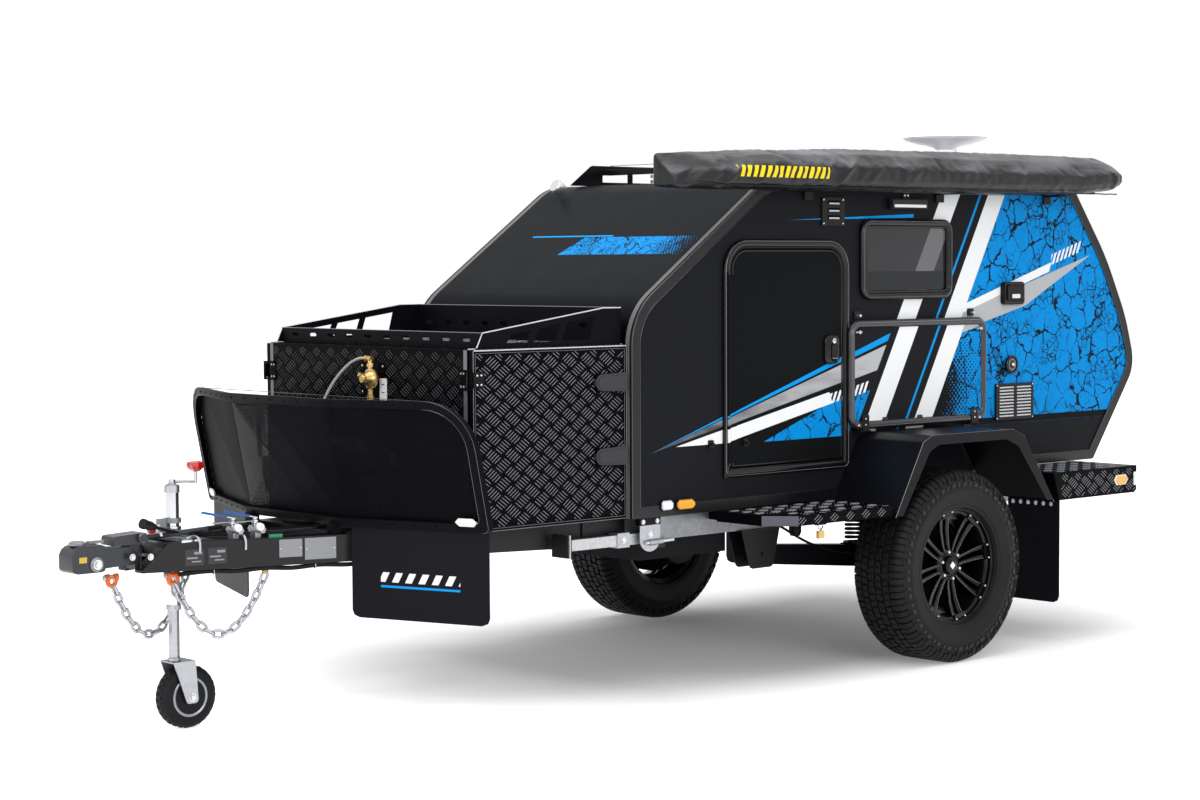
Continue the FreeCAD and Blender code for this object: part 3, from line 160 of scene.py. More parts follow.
def paint_skin(net, given):
    place = net.own_place()
    grain = net.noise(place, net.math("DIVIDE", 1.0, given["Grain Size"]), 2.0, 0.6)
    cloud = net.noise(place, 5.0, 4.0, 0.6)
    dust = net.times(net.ramp(cloud, 0.35, 0.75), given["Dust"])
    tone = net.plus(1.0, net.times(net.minus(grain, 0.5), given["Mottle"]))
    uneven = net.times(net.minus(cloud, 0.5), 0.16)
    return {"Colour": net.mix(dust, net.scaled(given["Colour"], tone), (0.3, 0.29, 0.27)),
            "Roughness": net.plus(given["Roughness"], net.plus(uneven, dust), clamp=True),
            "Normal": net.bump(grain, given["Grain Depth"], given["Grain Size"])}


PAINT_SKIN = make_group(
    paint_skin, {"Colour": ("Color", GREY), "Roughness": ("Float", 0.5), "Grain Size": ("Float", 0.004),
                 "Grain Depth": ("Float", 0.1), "Mottle": ("Float", 0.2), "Dust": ("Float", 0.0)}, SKIN_OUT)


def zinc_spangle(net, given):
    place = net.own_place()
    bent = net.vector("ADD", place, net.scaled(place, net.noise(place, 30.0)))
    flake = net.xyz(net.cells(bent, net.math("DIVIDE", 1.0, given["Flake Size"]), output="Color"))
    shade = net.plus(net.times(flake[0], 0.35), 0.8)
    stain = net.ramp(net.noise(place, 9.0, 5.0, 0.65), 0.42, 0.75)
    return {"Colour": net.mix(net.times(stain, 0.35), net.scaled(given["Colour"], shade), (0.5, 0.51, 0.52)),
            "Roughness": net.plus(given["Roughness"], net.times(flake[1], 0.18), clamp=True),
            "Normal": net.bump(net.noise(place, 240.0), 0.1, 0.002)}


ZINC_SPANGLE = make_group(
    zinc_spangle, {"Colour": ("Color", GREY), "Roughness": ("Float", 0.35), "Flake Size": ("Float", 0.012)}, SKIN_OUT)


def cracked_paint(net, given):
    place = given["Place"]
    warp = net.noise(place, 22.0, 6.0, output="Color")
    bent = net.vector("ADD", place, net.scaled(warp, 0.05))
    wide = net.cells(bent, net.math("DIVIDE", 1.0, given["Cell Size"]), "DISTANCE_TO_EDGE")
    fine = net.cells(bent, net.math("DIVIDE", 2.9, given["Cell Size"]), "DISTANCE_TO_EDGE")
    patch = net.ramp(net.noise(place, 7.0, 2.0), 0.5, 0.62)
    swell = net.ramp(net.noise(place, 19.0), 0.35, 0.75)
    wide_line = net.times(net.minus(net.plus(0.012, net.times(swell, 0.06)), wide), 60.0, clamp=True)
    fine_line = net.times(net.ramp(fine, 0.075, 0.035), patch)
    chips = net.ramp(net.noise(place, 62.0, 3.0, 0.7), 0.64, 0.665)
    crack = net.math("MAXIMUM", net.math("MAXIMUM", wide_line, fine_line), chips)
    paint = net.mix(net.noise(place, 11.0, 5.0, 0.7), DEEP_BLUE, BLUE)
    return {"Colour": net.mix(crack, paint, (0.006, 0.008, 0.012))}


def dot_screen(net, given):
    """Printed dots that grow until they close as Amount goes from 0 to 1."""
    across, _, along = net.xyz(net.scaled(net.turned(given["Place"], "Y", 45),
                                          net.math("DIVIDE", 1.0, given["Pitch"])))
    across = net.minus(net.math("FRACT", across), 0.5)
    along = net.minus(net.math("FRACT", along), 0.5)
    away = net.math("SQRT", net.plus(net.times(across, across), net.times(along, along)))
    return {"Dots": net.times(net.minus(net.times(given["Amount"], 0.75), away), 14.0, clamp=True)}


def line_mask(net, given):
    """1 on the left of the line from Start to End in the XZ plane, seen with X to the right."""
    run = net.vector("SUBTRACT", given["End"], given["Start"])
    side = net.vector("NORMALIZE", net.vector("CROSS_PRODUCT", Y, run))
    offset = net.vector("DOT_PRODUCT", net.vector("SUBTRACT", given["Place"], given["Start"]), side)
    return {"Mask": net.plus(net.times(offset, -1200.0), 0.5, clamp=True)}


def vinyl_skin(net, given):
    place = net.own_place()
    grain = net.cells(place, 900.0, "DISTANCE_TO_EDGE")
    crease = net.noise(net.vector("MULTIPLY", place, (2.0, 14.0, 14.0)), 2.2, 5.0, 0.62)
    soft = net.noise(net.vector("MULTIPLY", place, (3.0, 9.0, 9.0)), 1.6, 2.0)
    folded = net.bump(crease, given["Crease Depth"], 0.05)
    return {"Colour": net.mix(net.ramp(crease, 0.3, 0.8), given["Colour"], given["Worn Colour"]),
            "Roughness": net.plus(given["Roughness"], net.times(net.minus(soft, 0.5), 0.3), clamp=True),
            "Normal": net.bump(grain, 0.15, 0.0008, folded)}


# Colours

BLUE = (0.003, 0.31, 0.78)
DEEP_BLUE = (0.001, 0.215, 0.61)
WHITE_PRINT = (0.86, 0.87, 0.88)
BLACK_PRINT = (0.005, 0.005, 0.006)
CHARCOAL = (0.0105, 0.011, 0.0135)
SATIN_BLACK = (0.004, 0.004, 0.0055)
ZINC = (0.43, 0.44, 0.47)
LINING = (0.16, 0.16, 0.165)

CRACKED_PAINT = make_group(cracked_paint, {"Place": ("Vector", None), "Cell Size": ("Float", 0.06)},
                           {"Colour": "Color"})
DOT_SCREEN = make_group(dot_screen, {"Place": ("Vector", None), "Pitch": ("Float", 0.012), "Amount": ("Float", 0.5)},
                        {"Dots": "Float"})
LINE_MASK = make_group(line_mask, {key: ("Vector", None) for key in ("Place", "Start", "End")}, {"Mask": "Float"})
VINYL_SKIN = make_group(
    vinyl_skin, {"Colour": ("Color", GREY), "Worn Colour": ("Color", GREY), "Roughness": ("Float", 0.4),
                 "Crease Depth": ("Float", 0.4)}, SKIN_OUT)


class Print:
    """Painter of flat areas on the XZ plane: each call lays one colour over what is there."""

    def __init__(self, net, place, ground):
        self.net, self.place, self.colour = net, place, ground

    def line(self, start, end):
        start, end = ((x + AXLE, 0, z) for x, z in (start, end))
        return self.net.group(LINE_MASK, Place=self.place, Start=start, End=end)["Mask"]

    def area(self, *corners):
        """Mask of a convex area whose corners run anticlockwise, seen with X to the right."""
        return self.net.times(*[self.line(a, b) for a, b in zip(corners, corners[1:] + corners[:1])])

    def lay(self, colour, *masks):
        self.colour = self.net.mix(self.net.times(*masks), self.colour, colour)


# Slanted edge of the side print's blue field, as (x from the axle, z) in metres
FIELD_FOOT = (-0.16, 0.945)
FIELD_HEAD = (-0.74, 2.0)
SWEEP_TIP = (1.43, 0.93)


def field_edge(dx):
    """The field's edge moved ahead by dx."""
    return (FIELD_FOOT[0] + dx, FIELD_FOOT[1]), (FIELD_HEAD[0] + dx, FIELD_HEAD[1])


def side_print(net, given):
    """Generic slanted stripes over charcoal, with a cracked blue field behind."""
    place = given["Place"]
    length, _, height = net.xyz(place)
    art = Print(net, place, given["Ground"])
    blue = net.group(CRACKED_PAINT, Place=place, Cell_Size=0.092)["Colour"]
    above_sill = net.ramp(height, 0.944, 0.946)
    # blue field behind the slanted edge, whose printed dots close up towards the edge's foot
    field = net.times(art.line(*field_edge(0)), above_sill)
    slant = net.plus(length, net.times(net.minus(height, 0.945), 0.5498))
    near_edge = net.times(net.ramp(slant, AXLE - 0.46, AXLE - 0.18), net.ramp(height, 1.42, 1.1))
    dots = net.group(DOT_SCREEN, Place=place, Pitch=0.017, Amount=near_edge)["Dots"]
    art.lay(net.mix(dots, blue, BLACK_PRINT), field)
    # two broad white bands with a thin line between them, in front of the field
    for start, end, colour in ((0.0, 0.115, WHITE_PRINT), (0.16, 0.174, BLUE), (0.305, 0.425, WHITE_PRINT)):
        (foot, head), (next_foot, next_head) = field_edge(start), field_edge(end)
        art.lay(colour, art.area(foot, next_foot, next_head, head), above_sill)
    # grey sweep that tapers to a tip at the front, blue below it and a thin line above it
    ahead = net.minus(1.0, art.line(*field_edge(0.47)))
    art.lay(blue, art.area((0.1, 0.944), (1.24, 0.944), (0.42, 1.09), (0.06, 1.22)), ahead)
    stripes = net.noise(net.vector("MULTIPLY", place, (1.5, 1.0, 6.0)), 3.0, 2.0)
    gleam = net.ramp(net.plus(net.ramp(height, 0.95, 1.3), stripes), 0.55, 1.25)
    steel = net.mix(gleam, (0.08, 0.08, 0.09), (0.46, 0.47, 0.49))
    art.lay(steel, art.area(SWEEP_TIP, (0.05, 1.33), (0.05, 1.235)), ahead)
    art.lay(BLUE, art.area(SWEEP_TIP, (0.05, 1.372), (0.05, 1.345)), ahead)
    art.lay(WHITE_PRINT, art.area((1.3, 0.948), (0.44, 1.128), (0.42, 1.082), (1.05, 0.948)), ahead)
    # row of slanted ticks
    tick = net.ticks(net.plus(length, net.times(height, 0.45)), 0.026, 0.45)
    art.lay(WHITE_PRINT, art.area((0.23, 1.122), (0.62, 1.04), (0.6, 1.086), (0.21, 1.168)), tick)
    # thin line under the awning that runs out to a tip
    art.lay(BLUE, art.area((-0.1, 1.846), (0.66, 1.83), (-0.1, 1.861)))
    # spear across the blue field, with a white line and a row of ticks over it
    art.lay(steel, art.area((-0.86, 1.462), (-0.38, 1.352), (-0.44, 1.445), (-1.334, 1.686)))
    art.lay(WHITE_PRINT, art.area((-1.03, 1.612), (-0.4, 1.43), (-0.42, 1.47), (-1.05, 1.655)))
    art.lay(WHITE_PRINT, art.area((-1.25, 1.7), (-1.04, 1.64), (-1.05, 1.69), (-1.27, 1.752)), tick)
    art.lay(BLACK_PRINT, field, net.ramp(height, 0.975, 0.973))
    return {"Colour": art.colour}


SIDE_PRINT = make_group(side_print, {"Place": ("Vector", None), "Ground": ("Color", GREY)}, {"Colour": "Color"})


# Materials: each of these functions gives the inputs of one material's shader

def skinned(skin, gloss, **others):
    """Inputs that a skin group feeds, with the surface's gloss and any others, which come first."""
    return {"Base_Color": skin["Colour"], "Roughness": skin["Roughness"], "Normal": skin["Normal"],
            "Specular_IOR_Level": gloss} | others


def painted(net, colour, roughness=0.45, gloss=0.25, metallic=0.0, grain=0.004, depth=0.08, mottle=0.25, coat=0.0):
    skin = net.group(PAINT_SKIN, Colour=colour, Roughness=roughness, Grain_Size=grain, Grain_Depth=depth,
                     Mottle=mottle)
    return skinned(skin, gloss, Metallic=metallic, Coat_Weight=coat, Coat_Roughness=0.12)


def shaded_edge(net, colour, dark):
    """Colour of a glossy metal with painted reflection: the base colour goes darker where the surface turns away from
    the view.
    """
    facing = net.add("ShaderNodeLayerWeight", Blend=0.5).outputs["Facing"]
    return net.mix(net.ramp(facing, 0.3, 0.85), colour, dark)


def zinc_plated(net, colour=ZINC, roughness=0.3, flake=0.012):
    skin = net.group(ZINC_SPANGLE, Colour=colour, Roughness=roughness, Flake_Size=flake)
    # base colour with painted reflection, darker where the surface turns away
    return skinned(skin, None, Base_Color=shaded_edge(net, skin["Colour"], (0.13, 0.135, 0.145)), Metallic=0.85)


def bright_plated(net):
    haze = net.noise(net.own_place(), 24.0)
    bright = net.mix(haze, (0.5, 0.51, 0.54), (0.66, 0.67, 0.7))
    # base colour with painted reflection, darker where the surface turns away
    return {"Base_Color": shaded_edge(net, bright, (0.035, 0.036, 0.042)),
            "Roughness": net.plus(0.1, net.times(haze, 0.08)), "Metallic": 0.9}


def glowing_white_shell(net):
    """White moulded shell with a painted glow that lights up its shaded underside."""
    skin = net.group(PAINT_SKIN, Colour=(0.8, 0.8, 0.83), Roughness=0.35, Grain_Size=0.004, Grain_Depth=0.01,
                     Mottle=0.04)
    return skinned(skin, None, Emission_Color=(0.93, 0.93, 1.0), Emission_Strength=0.3)


def lens(net, colour, glow):
    ribs = net.add("ShaderNodeTexWave", setup={"wave_type": "BANDS", "bands_direction": "X"},
                   Vector=net.own_place(), Scale=60.0).outputs["Fac"]
    return {"Base_Color": net.mix(ribs, colour, [0.7 * c for c in colour]), "Normal": net.bump(ribs, 0.3, 0.002),
            "Roughness": 0.12, "Coat_Weight": 0.6, "Emission_Color": colour, "Emission_Strength": glow}


def tinted_glass(net):
    """Dark pane with the print behind it showing through, greyed."""
    place = net.own_place()
    haze = net.noise(place, 3.0, 2.0)
    tint = net.mix(haze, (0.02, 0.021, 0.024), (0.03, 0.031, 0.034))
    behind = net.group(SIDE_PRINT, Place=place, Ground=CHARCOAL)["Colour"]
    return {"Base_Color": net.mix(0.13, tint, behind), "Roughness": net.plus(0.03, net.times(haze, 0.04)),
            "Specular_IOR_Level": 0.35}


def printed_panel(net, ground, gloss):
    """Print on the outer face only, with a plain lining inside."""
    place = net.own_place()
    outer = net.ramp(net.math("ABSOLUTE", net.xyz(place)[1]), WALL_Y - 0.008, WALL_Y - 0.006)
    colour = net.mix(outer, LINING, net.group(SIDE_PRINT, Place=place, Ground=ground)["Colour"])
    return skinned(net.group(PAINT_SKIN, Colour=colour, Roughness=0.4, Grain_Size=0.006, Grain_Depth=0.02,
                             Mottle=0.06), gloss)


def front_stripe_panel(net):
    """Dark front with a cracked blue stripe across the slope that fades into dots."""
    place = net.own_place()
    length, across, height = net.xyz(place)
    front = net.ramp(length, -0.5, -0.49)
    blue = net.group(CRACKED_PAINT, Place=place, Cell_Size=0.055)["Colour"]
    swung = net.turned(net.vector("MULTIPLY", place, (0.0, 1.0, 1.0)), "Z", 90)
    dots = net.group(DOT_SCREEN, Place=swung, Pitch=0.011, Amount=net.ramp(across, 0.36, 0.64))["Dots"]
    slanted = net.minus(across, net.times(net.minus(height, 1.694), 0.86))
    left = net.times(net.ramp(slanted, -0.124, -0.122), net.band(height, 1.694, 1.767), front)
    # painted shade: the ground goes much darker below 1.42 to 1.62 m, on the lower slope
    ground = net.mix(net.ramp(height, 1.42, 1.62), (0.0012, 0.0013, 0.0018), (0.0075, 0.0085, 0.0105))
    colour = net.mix(left, ground, net.mix(dots, blue, BLACK_PRINT))
    thin = net.times(net.band(height, 1.768, 1.774, 0.0005), front, net.band(across, -0.402, 0.102))
    return skinned(net.group(PAINT_SKIN, Colour=net.mix(thin, colour, BLUE), Roughness=0.46, Grain_Size=0.004,
                             Grain_Depth=0.05, Mottle=0.1), 0.045)


def frame_steel(net):
    """Black paint on the drawbar, bare galvanised steel behind it."""
    black = net.group(PAINT_SKIN, Colour=SATIN_BLACK, Roughness=0.42, Grain_Size=0.004, Grain_Depth=0.08)
    zinc = net.group(ZINC_SPANGLE, Colour=(0.26, 0.27, 0.29), Roughness=0.36, Flake_Size=0.014)
    length, _, height = net.xyz(net.own_place())
    bare = net.times(net.ramp(length, 0.536, 0.534), net.ramp(height, 0.5825, 0.5835))
    return {"Base_Color": net.mix(bare, black["Colour"], zinc["Colour"]),
            "Roughness": net.mix(bare, black["Roughness"], zinc["Roughness"]),
            "Metallic": net.times(bare, 0.85), "Normal": zinc["Normal"], "Specular_IOR_Level": 0.3}


def awning_vinyl(net):
    """Black vinyl, lighter on what faces up from dust and a painted sheen, and a yellow row of slanted bars on its
    front.
    """
    place = net.own_place()
    length, _, height = net.xyz(place)
    _, outward, upward = net.xyz(net.add("ShaderNodeNewGeometry").outputs["Normal"])
    skin = net.group(VINYL_SKIN, Colour=(0.0045, 0.0045, 0.0055), Worn_Colour=(0.01, 0.01, 0.012),
                     Roughness=0.36, Crease_Depth=0.12)
    streak = net.noise(net.vector("MULTIPLY", place, (2.2, 1.0, 9.0)), 2.0, 2.0)
    # dust and painted sheen: lighter streaks on the faces that point up
    dust_and_sheen = net.times(net.ramp(upward, 0.22, 0.75), net.ramp(streak, 0.3, 0.72))
    dust_and_sheen_colour = net.mix(dust_and_sheen, skin["Colour"], (0.125, 0.127, 0.14))
    mark = net.times(net.band(length, AXLE + 0.62, AXLE + 1.122), net.band(height, 1.99, 2.037),
                     net.ticks(net.plus(length, net.times(height, 0.35)), 0.034, 0.42),
                     net.ramp(outward, 0.35, 0.45))
    return skinned(skin, 0.3, Base_Color=net.mix(mark, dust_and_sheen_colour, (0.8, 0.62, 0.0)))


def tyre_rubber(net):
    return skinned(net.group(PAINT_SKIN, Colour=(0.0048, 0.0048, 0.0062), Roughness=0.55, Grain_Size=0.003,
                             Grain_Depth=0.25, Mottle=0.4, Dust=0.02), 0.17)


def mudflap_rubber(net):
    """Black rubber sheet with a small row of slanted bars over a line."""
    _, across, height = net.xyz(net.own_place())
    wide = net.band(across, 0.45, 0.762)
    bars = net.times(wide, net.band(height, 0.52, 0.556, 0.001),
                     net.ticks(net.plus(across, net.times(height, -0.5)), 0.052, 0.5))
    line = net.times(wide, net.band(height, 0.5, 0.509, 0.001))
    skin = net.group(PAINT_SKIN, Colour=(0.005, 0.005, 0.008), Roughness=0.45, Grain_Size=0.003,
                     Grain_Depth=0.1)
    return skinned(skin, 0.08, Base_Color=net.mix(line, net.mix(bars, skin["Colour"], WHITE_PRINT), BLUE))


# Finish: material name, what builds it, and the builder's values in its own order
FINISHES = {
    "charcoal print": ("charcoal side panel", printed_panel, CHARCOAL, 0.04),
    "door print": ("door skin", printed_panel, (0.0055, 0.006, 0.007), 0.03),
    "front stripe": ("front and roof skin", front_stripe_panel),
    "chassis": ("frame steel", frame_steel),
    "black": ("satin black paint", painted, SATIN_BLACK, 0.34, 0.12),
    "trim": ("black edge trim", painted, (0.0045, 0.0045, 0.0055), 0.28, 0.3, 0, 0.002, 0.03),
    "gloss black": ("gloss black frame", painted, (0.004, 0.004, 0.005), 0.18, 0.32, 0, 0.003, 0.02),
    "plate": ("black tread plate", painted, (0.0014, 0.0014, 0.0022), 0.34, 0.03, 0, 0.003, 0.12),
    # painted light: the tread plate bars are lighter than the plate, in a shaded copy and lit copies that stand in
    # for the light on the bars
    "dim bars": ("tread plate bars in shade", painted, (0.034, 0.035, 0.042), 0.24, 0.6, 0.35, 0.002, 0.05),
    "sidewall": ("sidewall rib rubber with painted highlight", painted, (0.017, 0.017, 0.02), 0.45, 0.25, 0, 0.002, 0.1),
    "chequer": ("tread plate bars", painted, (0.15, 0.154, 0.17), 0.24, 0.6, 0.35, 0.002, 0.05),
    "step bars": ("step tread plate bars with painted highlight", painted, (0.175, 0.178, 0.195), 0.3, 0.6, 0.4, 0.002, 0.05),
    "glint": ("folded edge in full light", painted, (0.56, 0.57, 0.6), 0.3, 0.6, 0.3, 0.002, 0.02),
    "rim glint": ("spoke edge in full light", painted, (0.16, 0.165, 0.18), 0.2, 0.7, 0.3, 0.002, 0.02),
    "rim silver": ("silver jockey rim", painted, (0.3, 0.32, 0.35), 0.28, 0.6, 0.45, 0.002, 0.02),
    "dark sticker": ("dark blank sticker", painted, (0.03, 0.031, 0.035), 0.4, 0.3, 0, 0.002, 0.03),
    "latch grey": ("dark grey latch cover", painted, (0.03, 0.031, 0.036), 0.42, 0.25, 0, 0.002, 0.06),
    "chrome": ("bright plated steel", bright_plated),
    "dish white": ("white dish shell with painted glow", glowing_white_shell),
    "rib grey": ("ribbed corner trim", painted, (0.085, 0.083, 0.115), 0.35, 0.4, 0, 0.002, 0.05),
    "plastic": ("black moulded plastic", painted, (0.0065, 0.0065, 0.0075), 0.42, 0.18, 0, 0.0015, 0.2),
    "guard": ("guard powder coat", painted, (0.003, 0.003, 0.0045), 0.42, 0.045, 0, 0.0015, 0.2),
    "mesh": ("guard mesh coat", painted, (0.0026, 0.0026, 0.0042), 0.5, 0.04, 0, 0.0015, 0.1),
    "rim": ("gloss black alloy", painted, (0.0022, 0.0022, 0.0032), 0.12, 0.22, 0, 0.004, 0.02),
    "rubber black": ("black rubber hose", painted, (0.006, 0.006, 0.007), 0.55, 0.15, 0, 0.003, 0.1),
    "chassis black": ("drawbar weld paint", painted, SATIN_BLACK, 0.42, 0.3, 0, 0.004, 0.3),
    "bright plate": ("blank silver plate", painted, (0.23, 0.235, 0.245), 0.35, 0.5, 0.4, 0.002, 0.05, 0.1),
    # painted highlight: thin light lines along edges
    "bright edge": ("painted highlight edge", painted, (0.055, 0.057, 0.062), 0.22, 0.9, 0.4, 0.002, 0.02),
    "table tube": ("table tube paint", painted, (0.02, 0.02, 0.024), 0.24, 0.6, 0, 0.002, 0.04),
    "louvre": ("pale louvre blades", painted, (0.55, 0.56, 0.58), 0.4, 0.3, 0, 0.004, 0.08, 0.1),
    "louvre shade": ("louvre shade", painted, (0.002, 0.002, 0.003), 0.6, 0.02),
    "deep glass": ("pane over the blind", painted, (0.01, 0.011, 0.014), 0.08, 0.3, 0, 0.02, 0.0),
    "rubber": ("tyre rubber", tyre_rubber),
    "flap": ("mudflap rubber", mudflap_rubber),
    "zinc": ("zinc plated steel", zinc_plated),
    "galvanised": ("galvanised steel", zinc_plated, (0.52, 0.53, 0.55), 0.42, 0.02),
    "stainless": ("stainless hardware", zinc_plated, (0.7, 0.7, 0.71), 0.2, 0.004),
    "aluminium": ("bare aluminium", painted, (0.72, 0.73, 0.74), 0.3, 0.5, 0.9, 0.004, 0.08, 0.1),
    "brass": ("brass", painted, (0.62, 0.42, 0.16), 0.3, 0.5, 0.9, 0.004, 0.08, 0.2),
    "coupling": ("coupling paint", painted, (0.03, 0.033, 0.04), 0.35, 0.5, 0.3),
    "lever grey": ("grey lever", painted, (0.22, 0.23, 0.24), 0.4, 0.5, 0.5),
    "red": ("red knob", painted, (0.52, 0.01, 0.01), 0.25, 0.5, 0, 0.004, 0.08, 0.25, 0.4),
    "orange": ("orange shackle paint", painted, (0.75, 0.13, 0.01), 0.35, 0.5),
    "yellow": ("yellow hook paint", painted, (0.62, 0.4, 0.05), 0.4, 0.5),
    "tap blue": ("blue lever sleeve", painted, (0.004, 0.09, 0.36), 0.35, 0.5),
    "green": ("green connector", painted, (0.02, 0.3, 0.12), 0.4, 0.5),
    "white plastic": ("white moulded plastic", painted, (0.8, 0.8, 0.81), 0.4, 0.5, 0, 0.004, 0.08, 0.05),
    "light hose": ("pale gas hose", painted, (0.42, 0.38, 0.33), 0.5, 0.4),
    "hose": ("black hose", painted, (0.006, 0.006, 0.007), 0.4, 0.25),
    "bottle": ("grey bottle enamel", painted, (0.035, 0.037, 0.04), 0.45, 0.3),
    "tank": ("tank cladding", painted, (0.006, 0.006, 0.008), 0.5, 0.1),
    "amber": ("amber lens", lens, (0.95, 0.36, 0.01), 0.25),
    "clear": ("clear lens", lens, (0.85, 0.86, 0.88), 0.15),
    "red lens": ("red lens", lens, (0.55, 0.01, 0.01), 0.15),
    "glass": ("tinted pane", tinted_glass),
    "awning": ("awning vinyl", awning_vinyl),
}
M = {}
for finish_key, (material_name, finish_builder, *finish_values) in FINISHES.items():
    M[finish_key] = bpy.data.materials.new(material_name)
    M[finish_key].use_nodes = True
    finish_net = Net(M[finish_key].node_tree)
    finish_net.fill(finish_net.tree.nodes["Principled BSDF"], **finish_builder(finish_net, *finish_values))


def ease_edges(obj, width, segments=2):
    ease = obj.modifiers.new("eased edges", "BEVEL")
    ease.width = width
    ease.segments = segments
    ease.limit_method = "ANGLE"
    ease.angle_limit = radians(34)
    return ease


# Finish and eased edge of each CAD node
NODE_FINISHES = {
    ("chassis", 0.003): "chassis", ("tank", 0.004): "water_tank", ("trim", 0.0025): "edge_trims",
    ("black", 0.0): "coil_springs", ("black", 0.0015): "shock_absorbers fenders", ("black", 0.003): "trailing_arms",
    ("black", 0.002): "cabin_floor roof_rack", ("rubber", 0.0): "tyre_left tyre_right",
    ("rubber", 0.002): "jockey_wheel", ("rim", 0.002): "rim_left rim_right", ("plate", 0.003): "side_steps",
    ("plate", 0.002): "toolbox_shell toolbox_door_left toolbox_door_right", ("flap", 0.0015): "mudflaps",
    ("charcoal print", 0.002): "cabin_side_left cabin_side_right", ("charcoal print", 0.003): "fold_table",
    ("front stripe", 0.002): "cabin_skin rear_hatch", ("gloss black", 0.003): "opening_frames",
    ("door print", 0.002): "door_left door_right", ("glass", 0.0): "window_panes",
    ("guard", 0.001): "toolbox_rack", ("guard", 0.002): "stone_guard_frame", ("guard", 0.0): "stone_guard_mesh",
    ("bottle", 0.002): "gas_bottles", ("brass", 0.002): "gas_regulator", ("coupling", 0.003): "coupling",
    ("chrome", 0.0015): "jockey_stand", ("zinc", 0.0015): "jockey_fork", ("zinc", 0.0): "safety_chains",
    ("zinc", 0.001): "water_taps", ("plastic", 0.0015): "body_fittings", ("clear", 0.002): "marker_lamps",
    ("galvanised", 0.003): "stabiliser_front_left stabiliser_front_right", ("awning", 0.0): "awning_bag",
    ("dish white", 0.004): "dish",
}


def dress_node(obj, material, width):
    """CAD node in its finish, with eased edges."""
    obj.data.materials.clear()
    obj.data.materials.append(M[material])
    obj.modifiers.new("weld", "WELD").merge_threshold = 0.00004
    if width:
        ease_edges(obj, width).use_clamp_overlap = True
    obj.modifiers.new("even shading", "WEIGHTED_NORMAL").keep_sharp = False
    for face in obj.data.polygons:
        face.use_smooth = True


for (node_finish, node_edge), names in NODE_FINISHES.items():
    for node_name in names.split():
        dress_node(nodes[node_name], node_finish, node_edge)


# Mesh making

def angles(steps, first=0, last=None):
    """Angles of even steps, so many to a full turn, from the first up to the last, which is left out."""
    return [2 * pi * k / steps for k in range(first, steps if last is None else last)]


def arm(start, end):
    """Unit direction and two unit sides at right angles to it."""
    ahead = (Vector(end) - Vector(start)).normalized()
    side = ahead.cross(Z if abs(ahead.z) < 0.9 else X).normalized()
    return ahead, side, side.cross(ahead)


def circle(centre, side, up, radius, count, squeeze=1.0):
    return [centre + side * (radius * cos(t)) + up * (radius * squeeze * sin(t)) for t in angles(count)]


def on_wheel(angle, radius, y=0.0):
    """Point at an angle and radius about the Y axis."""
    return Vector((radius * cos(angle), y, radius * sin(angle)))


def at(x, y, z):
    return Vector((AXLE + x, y, z))


def on_side(y):
    return lambda a, b: Vector((a, y, b))


def on_top(z):
    return lambda a, b: Vector((a, b, z))


def on_front(x):
    return lambda a, b: Vector((x, a, b))


def scaled_about(middle, outline, scale_a, scale_b):
    return [(middle[0] + (a - middle[0]) * scale_a, middle[1] + (b - middle[1]) * scale_b) for a, b in outline]


def rounded(corners, steps=5):
    """Points of a closed outline whose corners (a, b, radius) are rounded."""
    points = []
    for k, (a, b, radius) in enumerate(corners):
        corner = Vector((a, b))
        if radius <= 0:
            points.append((a, b))
            continue
        before = (Vector(corners[k - 1][:2]) - corner).normalized()
        after = (Vector(corners[(k + 1) % len(corners)][:2]) - corner).normalized()
        half = before.angle(after) / 2
        centre = corner + (before + after).normalized() * (radius / sin(half))
        first = corner + before * (radius / tan(half)) - centre
        last = corner + after * (radius / tan(half)) - centre
        sweep = first.angle(last)
        for n in range(steps + 1):
            share = n / steps
            turned = (first * sin((1 - share) * sweep) + last * sin(share * sweep)) / sin(sweep)
            points.append(tuple(centre + turned))
    return points


def corners_of(a0, a1, b0, b1, radius=0.0):
    return [(a0, b0, radius), (a1, b0, radius), (a1, b1, radius), (a0, b1, radius)]


def rectangle(a0, a1, b0, b1, radius=0.0, steps=5):
    return rounded(corners_of(a0, a1, b0, b1, radius), steps)


